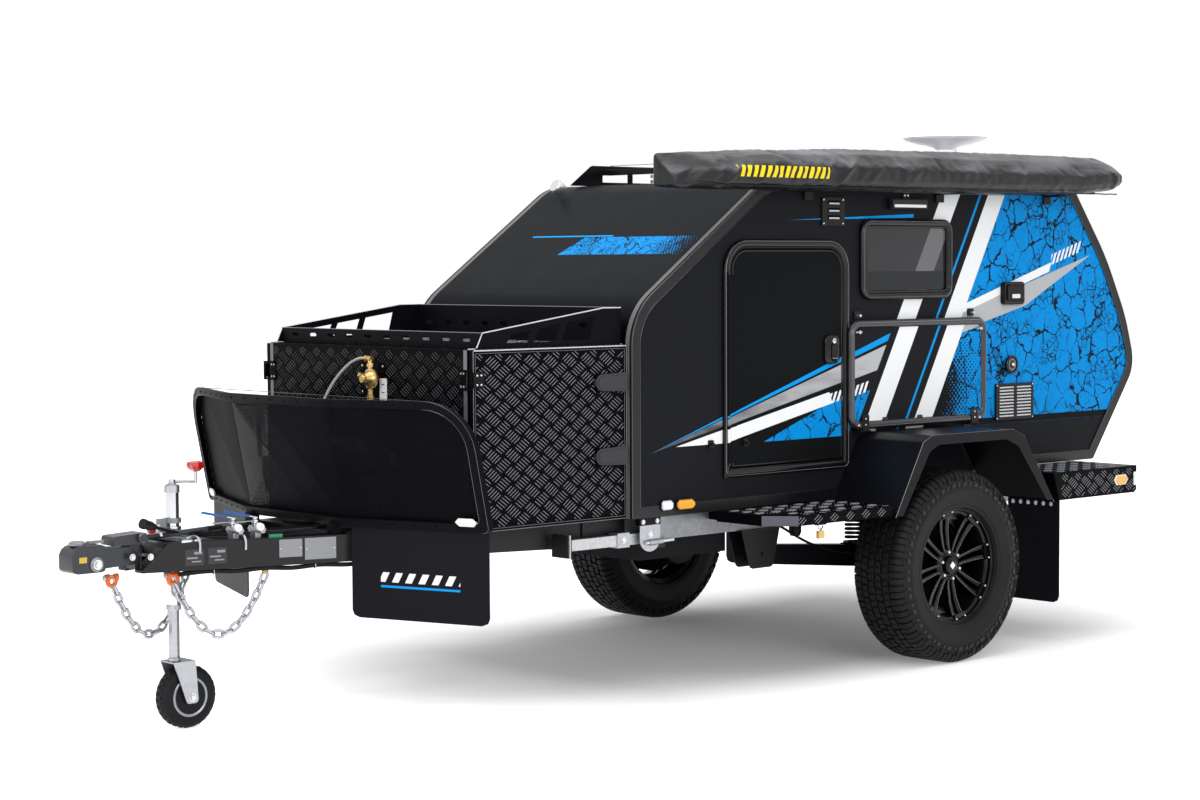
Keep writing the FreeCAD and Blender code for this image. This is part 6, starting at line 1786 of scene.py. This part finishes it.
def make_electric_plug():
    shape = Shape()
    # cable along the drawbar to its plug, laid in the holder beside the coupling
    points = [at(2.36, 0.02, 0.69), at(2.55, 0.05, 0.6905), at(2.76, 0.078, 0.6905), at(2.98, 0.065, 0.691),
              at(3.1, 0.048, 0.7005), at(3.2, 0.062, 0.7205), at(3.275, 0.08, 0.742)]
    shape.hose(points, 0.0058, "rubber black", 8, 12)
    centre = at(3.292, 0.083, 0.747)
    axis = Vector((0.9, 0.17, 0.28))
    shape.lathe(centre, axis, [(0.008, -0.02), (0.0125, -0.012), (0.0125, 0.0), (0.0165, 0.003), (0.0165, 0.03),
                               (0.0185, 0.032), (0.0185, 0.046), (0.0155, 0.0475), (0.0, 0.0475)], "plastic", 28)
    # small green connector on top of the rail, its cable along the rail
    x = 2.85
    y = rail_y(x) - 0.03
    shape.slab(at(x, y, 0.6885), (1, -0.3, 0), Z, (0.05, 0.011, 0.016), "green")
    shape.hose([at(x - 0.024, y, 0.6885), at(x - 0.1, y + 0.024, 0.687), at(x - 0.22, y + 0.058, 0.687),
                at(x - 0.34, y + 0.09, 0.687)], 0.0036, "rubber black", 6, 8)
    shape.done("electric_plug_and_cable", crease=40)


PIN_X, PIN_Z = 3.492, 0.626     # cross pin of the coupling head


def make_coupling():
    shape = Shape()
    # cast head around the ball, its pin and its bolts
    shape.bar(at(PIN_X, -0.058, PIN_Z), at(PIN_X, 0.058, PIN_Z), 0.014, "stainless", 18)
    for side in SIDES:
        shape.lathe(at(PIN_X, side * 0.046, PIN_Z), side * Y,
                    [(0.026, 0.0), (0.026, 0.006), (0.021, 0.009), (0.0, 0.009)], "lever grey", 28)
        shape.bolt(at(PIN_X, side * 0.055, PIN_Z), side * Y, 0.012)
        for x in (3.352, 3.302):
            shape.bolt(at(x, side * (rail_y(x) if x < 3.33 else 0.052), 0.64), side * Y, 0.008)
    shape.lathe(at(3.54, 0.0, 0.6975), Z, [(0.03, -0.004), (0.03, 0.004), (0.024, 0.009), (0.012, 0.011),
                                           (0.0, 0.011)], "lever grey", 30)
    shape.slab(at(3.47, 0.0, 0.699), X, Y, (0.06, 0.022, 0.01), "lever grey")
    shape.slab(at(3.545, 0.0475, 0.645), X, Z, (0.03, 0.02, 0.0015), "yellow")
    # rubber bellows between the head and the housing
    profile = [(0.022, 0.0)]
    for k in range(7):
        profile += [(0.03, 0.004 + k * 0.0095), (0.0225, 0.0088 + k * 0.0095)]
    shape.lathe(at(3.385, 0.0, 0.64), X, profile, "rubber black", 28)
    shape.done("coupling_detail", crease=38)


def make_brake_lever():
    shape = Shape()
    # brake lever with its grip, links and spring strut
    shape.slab(at(3.175, 0.0535, 0.711), (1, 0, -0.04), Z, (0.27, 0.02, 0.008), "lever grey")
    shape.tube([at(3.045, 0.0535, 0.7165), at(3.01, 0.0535, 0.7175), at(2.985, 0.0535, 0.7185)], 0.0105, "plastic",
               14)
    shape.disc(at(3.31, 0.05, 0.705), Y, 0.016, 0.01, "zinc", 20)
    shape.bar(at(3.24, 0.044, 0.706), at(3.13, 0.044, 0.69), 0.0065, "zinc")
    shape.bolt(at(3.24, 0.0575, 0.71), Y, 0.006)
    shape.done("brake_lever_detail", crease=40)


def make_taps():
    shape = Shape()
    for x, y in ((2.99, 0.139), (2.912, 0.163)):
        shape.lathe(at(x, y, 0.73), Z, [(0.01, -0.01), (0.01, 0.004), (0.013, 0.006), (0.013, 0.018), (0.0085, 0.02),
                                        (0.0085, 0.026), (0.0, 0.026)], "chrome", 20)
        # long blue lever that points ahead over the tap
        tilt = Vector((0.97, -0.06, 0.22))
        shape.slab(at(x + 0.012, y, 0.76), tilt, Y, (0.04, 0.011, 0.0035), "chrome")
        shape.slab(at(x + 0.076, y - 0.004, 0.7745), tilt, Y, (0.1, 0.0125, 0.0085), "tap blue")
        shape.bolt(at(x, y, 0.7535), Z, 0.0055)
        shape.lathe(at(x, y + 0.012, 0.729), (0.3, 1, 0), [(0.0075, 0.0), (0.0075, 0.01), (0.0095, 0.011),
                                                           (0.0095, 0.019), (0.007, 0.021), (0.0, 0.021)], "chrome",
                    16)
        shape.lathe(at(x + 0.004, y + 0.03, 0.726), (0.3, 1, 0),
                    [(0.012, 0.0), (0.0145, 0.004), (0.0145, 0.02), (0.0125, 0.024), (0.006, 0.0245), (0.005, 0.02),
                     (0.0, 0.02)], "white plastic", 18)
        shape.hose([at(x, y - 0.014, 0.716), at(x - 0.03, y - 0.045, 0.706), at(x - 0.13, y - 0.055, 0.6995),
                    at(x - 0.3, y - 0.05, 0.6985), at(2.45, y - 0.02, 0.6985)], 0.0055, "hose")
    shape.done("water_tap_detail", crease=38)


JOCKEY_X, JOCKEY_AXLE_X, JOCKEY_AXLE_Z = 3.155, 3.11, 0.115


def make_jockey_stand():
    shape = Shape()
    # clamp round the tube with its red knob, the tube's cap and two bands
    centre = at(JOCKEY_X, 0.0, 0.0)
    for z in (0.7, 0.752):
        shape.lathe(centre + Z * z, Z, [(0.0315, -0.0085), (0.0315, 0.0085), (0.024, 0.0085), (0.024, -0.0085)],
                    "lever grey", 32, closed=True)
    shape.slab(at(3.2, 0.0, 0.726), X, Z, (0.035, 0.07, 0.016), "lever grey")
    shape.bar(at(3.214, 0.0, 0.728), at(3.238, 0.0, 0.728), 0.0055, "zinc", 14)
    shape.lathe(at(3.236, 0.0, 0.728), X, [(0.01, -0.004), (0.022, 0.0), (0.0235, 0.006), (0.0205, 0.015),
                                           (0.0, 0.019)], "red", 7)
    shape.lathe(centre + Z * 0.87, Z, [(0.027, -0.018), (0.027, 0.006), (0.02, 0.01), (0.012, 0.014), (0.012, 0.022),
                                       (0.0, 0.022)], "zinc", 30)
    for z in (0.6, 0.44):
        shape.lathe(centre + Z * z, Z, [(0.0265, -0.008), (0.0265, 0.008), (0.0245, 0.008), (0.0245, -0.008)],
                    "zinc", 30, closed=True)
    shape.done("jockey_stand_detail", crease=38)


def make_jockey_crank_grip():
    shape = Shape()
    # grip of the crank, with three lobes
    knob = at(3.055, 0.0, 0.92)
    rings = []
    for r, h in ((0.01, 0.0), (0.017, 0.004), (0.0285, 0.016), (0.0295, 0.026), (0.026, 0.034), (0.012, 0.0375),
                 (0.002, 0.038)):
        rings.append([knob + Vector((r * (1 - 0.2 * cos(3 * t)) * cos(t), r * (1 - 0.2 * cos(3 * t)) * sin(t), h))
                      for t in angles(36)])
    shape.skin(rings, "red")
    shape.done("jockey_crank_grip", crease=40)


def make_jockey_wheel():
    shape = Shape()
    # tyre with blocks, and its plated rim
    centre = at(JOCKEY_AXLE_X, 0.0, JOCKEY_AXLE_Z)
    shape.lathe(centre, Y, [(0.066, -0.031), (0.086, -0.035), (0.103, -0.032), (0.1105, -0.024), (0.1125, -0.008),
                            (0.1125, 0.008), (0.1105, 0.024), (0.103, 0.032), (0.086, 0.035), (0.066, 0.031)],
                "rubber", 56)
    for k in range(28):
        a = 2 * pi * k / 28
        for side in SIDES:
            turn = a + side * 0.056
            radial, along = on_wheel(turn, 1), on_wheel(turn + pi / 2, 1)
            for dy, radius, wide in ((0.0, 0.1135, 0.0085), (side * 0.0105, 0.1105, 0.0075)):
                base = centre + radial * (radius - 0.006) + Vector((0, side * 0.0085 + dy, 0))
                rings = [[foot + along * (across * wide * share) + Y * (aside * 0.0048 * share)
                          for across, aside in ((-1, -1), (1, -1), (1, 1), (-1, 1))]
                         for foot, share in ((base, 1), (base + radial * 0.0072, 0.8))]
                shape.skin(rings, "rubber")
    for side in SIDES:
        shape.lathe(centre, side * Y, [(0.072, 0.022), (0.072, 0.0325), (0.0685, 0.0345), (0.063, 0.0325),
                                       (0.06, 0.022), (0.04, 0.018), (0.02, 0.02), (0.018, 0.036), (0.0, 0.036)],
                    "rim silver", 44)
        # painted shade: dark patches where the pressed spokes of the rim leave openings
        for k in range(6):
            a = pi / 3 * k + 0.35
            hollow = [centre + on_wheel(a + b, r, side * h) for r, b,
                      h in ((0.03, -0.22, 0.0193), (0.056, -0.3, 0.0217), (0.056, 0.3, 0.0217), (0.03, 0.22, 0.0193))]
            shape.skin([hollow, [p + Y * (side * 0.0012) for p in hollow]], "louvre shade")
        for k in range(3):
            a = 2 * pi / 3 * k + pi / 4
            shape.bolt(centre + on_wheel(a, 0.026, side * 0.0195), side * Y, 0.0045)
    wheel = shape.done("jockey_wheel_detail", "jockey_wheel_body", crease=40)
    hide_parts("jockey_wheel")


def make_jockey_fork():
    shape = Shape()
    for side in SIDES:
        shape.bolt(at(JOCKEY_AXLE_X, side * 0.046, JOCKEY_AXLE_Z), side * Y, 0.0105)
        shape.disc(at(JOCKEY_AXLE_X, side * 0.0385, JOCKEY_AXLE_Z), side * Y, 0.018, 0.003, "zinc", 24)
    shape.lathe(at(JOCKEY_X, 0.0, 0.2475), Z, [(0.022, 0.0), (0.022, 0.01), (0.018, 0.014), (0.0, 0.014)], "zinc", 28)
    shape.done("jockey_fork_detail", "jockey_fork_body", crease=40)


make_drawbar_fittings()
make_electric_plug()
make_coupling()
make_brake_lever()
make_taps()
make_jockey_stand()
make_jockey_crank_grip()
make_jockey_wheel()
make_jockey_fork()


# Chains, stabilisers, step corners, suspension and roof

def chain_curve(start, end, sag):
    """Fine points of the curve of a chain that hangs between two fixed ends."""
    shares = [k / 200 for k in range(201)]
    return [start.lerp(end, t) - Z * (4 * sag * t * (1 - t)) for t in shares]


def walk(points, step):
    """Stations a step apart along a line, each with its direction."""
    stations = []
    left = 0.0
    for a, b in zip(points, points[1:]):
        run = (b - a).length
        while left <= run:
            stations.append((a.lerp(b, left / run), (b - a).normalized()))
            left += step
        left -= run
    return stations


LINK_LENGTH, LINK_WIDTH, LINK_WIRE, LINK_PITCH = 0.05, 0.034, 0.0053, 0.034
# both chains, each from its shackle to its snap hook, as (x from the axle, y)
CHAINS = (((3.215, 0.09), (2.89, 0.1895)), ((3.4, -0.01), (3.06, -0.06)))
CHAIN_END_Z = 0.553
CHAIN_SAG = 0.205


def chain_link(shape, centre, ahead, side):
    """One welded link: a flat oval of round wire."""
    ahead = ahead.normalized()
    side = (side - ahead * side.dot(ahead)).normalized()
    straight, bend = (LINK_LENGTH - LINK_WIDTH) / 2, LINK_WIDTH / 2 - LINK_WIRE
    line = []
    for start in (1, -1):
        for a in [pi * (k / 8 - start / 2) for k in range(9)]:
            line.append(centre + ahead * (start * straight + bend * cos(a)) + side * (bend * sin(a)))
    shape.tube(line, LINK_WIRE, "zinc", closed=True)


def make_chains():
    shape = Shape()
    for start, end in CHAINS:
        points = chain_curve(at(*start, CHAIN_END_Z), at(*end, CHAIN_END_Z), CHAIN_SAG)
        for k, (centre, ahead) in enumerate(walk(points, LINK_PITCH)):
            chain_link(shape, centre, ahead, Y if k % 2 else ahead.cross(Y))
    chains = shape.done("safety_chain_links", crease=60)
    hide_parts("safety_chains")


def make_chain_fittings():
    shape = Shape()
    # orange hose end under the step, orange shackles at the drawbar, yellow snap hooks at the free ends
    shape.lathe(at(0.85, 0.42, 0.545), (0.3, 1, -0.35), [(0.01, -0.03), (0.024, -0.02), (0.026, 0.01), (0.012, 0.034),
                                                         (0.0, 0.036)], "orange", 18)
    for start, _ in CHAINS:
        top = at(*start, 0.578)
        bow = [top + Vector((0.017 * sin(a), 0, -0.022 - 0.018 * cos(a))) for a in angles(24, -10, 11)]
        shape.tube(bow, 0.008, "orange")
        for dx in (-0.017, 0.017):
            shape.disc(top + Vector((dx, 0, -0.01)), X, 0.013, 0.007, "orange", 16, -0.007)
        shape.bar(top + Vector((-0.026, 0, -0.01)), top + Vector((0.026, 0, -0.01)), 0.0066, "orange")
        shape.hexagon(top + Vector((0.026, 0, -0.01)), X, 0.0105, 0.006, "zinc")
    for _, end in CHAINS:
        top = at(*end, 0.56)
        hook = [top + Vector((0.016 * sin(a), 0, 0.01 + 0.022 * (1 - cos(a)))) for a in angles(20, 0, 19)]
        shape.tube(hook, 0.0048, "yellow")
        shape.slab(top + Z * 0.004, X, Z, (0.022, 0.012, 0.012), "yellow")
    # zinc loops welded under the rails for the hooks
    for x, y in ((2.89, 0.178), (3.062, -0.06), (3.225, 0.078)):
        loop = [at(x, y, 0.596) + Vector((0.02 * cos(a), 0, -0.024 * sin(a))) for a in angles(24, 0, 13)]
        shape.tube(loop, 0.005, "zinc")
    shape.done("chain_fittings", crease=40)


def make_stabilisers():
    for side, name in SIDES.items():
        body = "stabiliser_%s_body" % name
        shape = Shape()
        y, z = side * 0.619, 0.604
        # sleeve near the hinge with its bolt, and the black foot at the end
        shape.slab(at(1.56, y, z), X, Z, (0.062, 0.056, 0.05), "zinc")
        shape.bolt(at(1.56, y + side * 0.025, z), side * Y, 0.0085)
        shape.disc(at(1.832, y + side * 0.0212, z + 0.006), side * Y, 0.0062, 0.0015, "stainless", 16)
        shape.slab(at(1.852, y, z), Y, Z, (0.086, 0.086, 0.024), "rubber black")
        for k in range(5):
            shape.slab(at(1.864, y, z - 0.026 + 0.013 * k), Y, Z, (0.062, 0.005, 0.002), "rubber black")
        shape.done("stabiliser_tube_detail_" + name, body, crease=40)
        shape = Shape()
        # round-ended hinge plate with its bolt and the locking pin
        outline = [(AXLE + 1.492, 0.655), (AXLE + 1.386, 0.655)]
        outline += [(AXLE + 1.439 - 0.053 * cos(a), 0.603 - 0.05 * sin(a)) for a in angles(28, 0, 15)]
        shape.prism(outline if side > 0 else outline[::-1], on_side(side * 0.6595), Y * (side * 0.004), "zinc")
        shape.bolt(at(1.439, side * 0.6635, 0.618), side * Y, 0.009)
        shape.bar(at(1.47, side * 0.672, 0.588), at(1.325, side * 0.672, 0.592), 0.007, "stainless")
        shape.bar(at(1.452, side * 0.672, 0.588), at(1.385, side * 0.672, 0.59), 0.0105, "zinc", 14)
        shape.box(AXLE + 1.384, AXLE + 1.494, side * 0.64, side * 0.664, 0.656, 0.6825, "black")
        for x in (1.402, 1.476):
            shape.bolt(at(x, side * 0.664, 0.669), side * Y, 0.0065)
        shape.done("stabiliser_bracket_detail_" + name, crease=40)


def make_step_corners():
    """Ribbed trim on the cut corner of each front step, with a padlock hanging on its hook."""
    shape = Shape()
    for side in SIDES:
        start, end = at(0.985, side * 1.0165, 0.0), at(1.0855, side * 0.916, 0.0)
        run = (end - start).normalized()
        out = Vector((1, side, 0)).normalized()
        middle = (start + end) / 2
        shape.slab(middle + Z * 0.6628 + out * 0.0008, run, Z, ((end - start).length, 0.0385, 0.0024), "rib grey")
        for k in range(5):
            z = 0.648 + k * 0.0072
            shape.slab(middle + Z * z + out * 0.0026, run, Z, ((end - start).length - 0.01, 0.0032, 0.0018),
                       "rib grey")
        # hook and padlock under the step's outer edge
        top = at(0.8, side * 0.96, 0.64)
        shape.tube([top + Vector((0.013 * cos(a), 0, -0.012 - 0.016 * sin(a))) for a in angles(20, 0, 11)],
                   0.0032, "chrome", 8)
        shape.slab(top + Z * -0.048, X, Z, (0.034, 0.03, 0.014), "brass")
        shape.box(AXLE + 0.77, AXLE + 0.83, side * 0.955, side * 0.965, 0.63, 0.6425, "black")
    shape.done("step_corner_trims", crease=40)


def make_coil_springs():
    shape = Shape()
    for side in SIDES:
        # coil spring as a helix, with its seats
        centre = at(0.15, side * 0.56, 0.0)
        turns, count = 5.25, 150
        helix = [centre + Vector((0.04 * cos(a), 0.04 * sin(a), 0.484 + 0.092 * k / count))
                 for k, a in ((k, 2 * pi * turns * k / count) for k in range(count + 1))]
        shape.tube(helix, 0.0068, "rubber black", 8)
        for z in (0.479, 0.578):
            shape.disc(centre + Z * z, Z, 0.052, 0.003, "black", 32, -0.003)
    springs = shape.done("coil_spring_wire", crease=60)
    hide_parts("coil_springs")


def make_shock_absorbers():
    shape = Shape()
    for side in SIDES:
        start, end = at(-0.03, side * 0.5, 0.411), at(-0.15, side * 0.5, 0.638)
        run = (end - start).normalized()
        shape.lathe(start, run, [(0.014, 0.0), (0.021, 0.01), (0.021, 0.118), (0.014, 0.122), (0.0, 0.122)],
                    "rubber black", 24)
        shape.lathe(start + run * 0.118, run, [(0.0095, 0.0), (0.0095, (end - start).length - 0.128),
                                               (0.0, (end - start).length - 0.128)], "zinc", 20)
        for point in (start, end):
            shape.disc(point, side * Y, 0.018, 0.016, "rubber black", 20, -0.016)
            shape.bolt(point + Y * (side * 0.016), side * Y, 0.009)
        # hanger bolt and bump stop
        shape.bolt(at(0.755, side * 0.56, 0.48), side * Y, 0.016)
        shape.lathe(at(0.52, side * 0.56, 0.56), Z, [(0.0, -0.03), (0.02, -0.026), (0.026, -0.01), (0.026, 0.02),
                                                     (0.0, 0.02)], "rubber black", 24)
    shocks = shape.done("shock_absorber_detail", crease=38)
    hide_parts("shock_absorbers")


def make_hub_and_flap_fittings():
    shape = Shape()
    for side in SIDES:
        # brake drum's backing plate, brake hose, and flap bolts
        shape.lathe(at(0.0, side * 0.66, WHEEL_Z), side * Y, [(0.0, 0.0), (0.13, 0.0), (0.138, 0.008), (0.138, 0.03),
                                                              (0.128, 0.034), (0.0, 0.034)], "black", 40)
        shape.hose([at(0.06, side * 0.655, 0.45), at(0.14, side * 0.63, 0.44), at(0.28, side * 0.6, 0.45),
                    at(0.46, side * 0.585, 0.5), at(0.62, side * 0.56, 0.585)], 0.0055, "rubber black")
        for k in range(6):
            y = side * (0.77 + k * 0.041)
            shape.bolt(at(-0.654, y, 0.612), -X, 0.0062)
            shape.bolt(at(-0.6475, y, 0.612), X, 0.0062)
        for k in range(5):
            y = side * (0.405 + k * 0.105)
            shape.bolt(guard_point(y, 0.7165, -0.0085), X, 0.0058)
    shape.done("hub_and_flap_fittings", crease=40)


RACK_Y = 0.505
ROOF_BARS_X = (0.6, 0.18, -0.24, -0.66)


def make_roof_rack():
    shape = Shape()
    for side in SIDES:
        y = side * RACK_Y
        for x in (0.7, 0.32, -0.05, -0.42, -0.86):
            for dz in (0.0, 0.024):
                shape.lathe(at(x, y, 2.022 + dz), side * Y, [(0.0085, 0.0), (0.0085, 0.0015), (0.006, 0.0042),
                                                             (0.0, 0.0048)], "stainless", 14)
        # painted highlight: a light line along the folded top lip
        shape.tube([at(0.68, side * 0.5025, 2.0835), at(-0.95, side * 0.5025, 2.0835)], 0.0016, "bright edge", 6)
        for x in ROOF_BARS_X:
            shape.box(AXLE + x - 0.02, AXLE + x + 0.02, y - 0.004, y + 0.004, 2.052, 2.074, "plastic")
    # slots along the crossbars
    for x in ROOF_BARS_X:
        shape.prism(rectangle(AXLE + x - 0.006, AXLE + x + 0.006, -0.47, 0.47, 0.004), on_top(2.0832), (0, 0, 0.0016),
                    "rubber black")
    shape.done("roof_rack_detail", crease=40)


def make_dish():
    shape = Shape()
    # dish with a rolled rim
    centre = at(-0.92, 0.15, 0.0)
    dish = [(0.0, 2.17), (0.04, 2.172), (0.052, 2.182), (0.085, 2.192), (0.13, 2.201), (0.17, 2.213), (0.1885, 2.222),
            (0.1905, 2.227), (0.1885, 2.232), (0.172, 2.241), (0.14, 2.25), (0.095, 2.258), (0.045, 2.262),
            (0.0, 2.2628)]
    shape.lathe(centre, Z, dish, "dish white", 72)
    # flared foot, thin side post, and a grey ring round the rolled rim, painted shade that marks the rim's edge
    shape.lathe(centre, Z, [(0.06, 1.998), (0.058, 2.004), (0.034, 2.02), (0.024, 2.05), (0.022, 2.11), (0.026, 2.14),
                            (0.036, 2.165), (0.0, 2.172)], "dish white")
    shape.bar(centre + Vector((-0.075, 0, 1.998)), centre + Vector((-0.075, 0, 2.19)), 0.0065, "dish white")
    shape.tube([centre + Vector((0.19 * cos(t), 0.19 * sin(t), 2.2265)) for t in angles(72)],
               0.0014, "lever grey", 6, closed=True)
    dish_piece = shape.done("dish_detail", bevel=0.0008, crease=50)
    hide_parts("dish")


def make_roof_lamp():
    shape = Shape()
    # small silver lamp at the roof's far front edge
    point = at(0.86, -0.5, 1.975)
    shape.lathe(point, (0.9, 0.0, 0.45), [(0.026, 0.0), (0.03, 0.012), (0.03, 0.04), (0.026, 0.046), (0.0, 0.046)],
                "aluminium", 28)
    shape.done("roof_lamp", crease=40)


make_chains()
make_chain_fittings()
make_stabilisers()
make_step_corners()
make_coil_springs()
make_shock_absorbers()
make_hub_and_flap_fittings()
make_roof_rack()
make_dish()
make_roof_lamp()


# Studio

def area_light(name, place, aim, size, power):
    light = bpy.data.lights.new(name, "AREA")
    light.shape = "RECTANGLE"
    light.size, light.size_y = size
    light.energy = power
    obj = bpy.data.objects.new(name, light)
    obj.location = place
    obj.rotation_euler = (Vector(aim) - Vector(place)).to_track_quat("-Z", "Y").to_euler()
    bpy.context.scene.collection.objects.link(obj)


def white_for_viewing_rays(net):
    """1 for camera, mirror and glass rays, which see the plain white studio."""
    path = net.add("ShaderNodeLightPath")
    seen = net.math("MAXIMUM", path.outputs["Is Camera Ray"], path.outputs["Is Glossy Ray"])
    return net.math("MAXIMUM", seen, path.outputs["Is Transmission Ray"])


def make_world():
    world = bpy.data.worlds.new("studio")
    world.use_nodes = True
    net = Net(world.node_tree)
    background = world.node_tree.nodes["Background"]
    net.feed(background.inputs["Strength"], net.math("MAXIMUM", white_for_viewing_rays(net), 0.86))
    background.inputs["Color"].default_value = (1, 1, 1, 1)
    bpy.context.scene.world = world


def make_floor():
    mesh = bpy.data.meshes.new("studio_floor")
    reach = 30.0
    mesh.from_pydata([(-reach, -reach, 0), (reach, -reach, 0), (reach, reach, 0), (-reach, reach, 0)], [],
                     [(0, 1, 2, 3)])
    floor = bpy.data.objects.new("studio_floor", mesh)
    bpy.context.scene.collection.objects.link(floor)
    material = bpy.data.materials.new("studio floor")
    material.use_nodes = True
    net = Net(material.node_tree)
    shader = material.node_tree.nodes["Principled BSDF"]
    place = net.own_place()
    speck = net.noise(place, 2.0)
    net.feed(shader.inputs["Base Color"], net.mix(speck, (0.8, 0.8, 0.8, 1), (0.82, 0.82, 0.82, 1)))
    # painted shadow, in part: the floor's white glow drops below the cabin, so the floor is darker there and the
    # lamps' shadow shows; the glow is blotchy near that patch
    below = net.vector("ABSOLUTE", net.vector("SUBTRACT", place, (-0.8, -0.02, 0.0)))
    beyond = net.vector("LENGTH", net.vector("MAXIMUM", net.vector("SUBTRACT", below, (1.2, 0.66, 0.0)), (0, 0, 0)))
    far = net.ramp(beyond, 0.0, 1.05)
    cloudy = net.math("MULTIPLY", net.ramp(net.noise(place, 1.7, 6.0), 0.36, 0.7), net.ramp(beyond, 2.4, 0.7))
    glow = net.math("ADD", 0.08, net.math("MULTIPLY", far, net.math("SUBTRACT", 0.66,
                                                                    net.math("MULTIPLY", cloudy, 0.2))))
    shader.inputs["Roughness"].default_value = 0.9
    shader.inputs["Specular IOR Level"].default_value = 0.1
    shader.inputs["Emission Color"].default_value = (1, 1, 1, 1)
    net.feed(shader.inputs["Emission Strength"], net.math("MULTIPLY", white_for_viewing_rays(net), glow))
    mesh.materials.append(material)


def make_camera():
    """Camera at the photograph's place, with yaw, pitch and roll in degrees."""
    yaw, pitch, roll = (radians(a) for a in (-132.1353, -3.2282, -0.2674))
    ahead = Vector((cos(yaw) * cos(pitch), sin(yaw) * cos(pitch), sin(pitch)))
    right = Vector((sin(yaw), -cos(yaw), 0))
    up = right.cross(ahead)
    right, up = (right * cos(roll) + up * sin(roll), up * cos(roll) - right * sin(roll))
    data = bpy.data.cameras.new("camera")
    data.sensor_width = 36.0
    data.lens = 73.09
    data.clip_end = 200.0
    camera = bpy.data.objects.new("camera", data)
    turn = Matrix((right, up, -ahead)).transposed().to_4x4()
    camera.matrix_world = Matrix.Translation((6.8627, 7.441, 1.6622)) @ turn
    bpy.context.scene.collection.objects.link(camera)
    bpy.context.scene.camera = camera


make_world()
make_floor()
make_camera()
area_light("overhead softbox", (1.0, 1.0, 6.0), (0.0, 0.0, 0.8), (6.0, 4.5), 170)
area_light("left softbox", (2.0, 7.5, 3.4), (-0.4, 0.0, 0.9), (5.0, 3.0), 170)
area_light("front softbox", (8.0, 0.5, 3.2), (1.0, 0.0, 0.8), (3.5, 3.0), 110)


bpy.context.scene.view_settings.view_transform = "Standard"
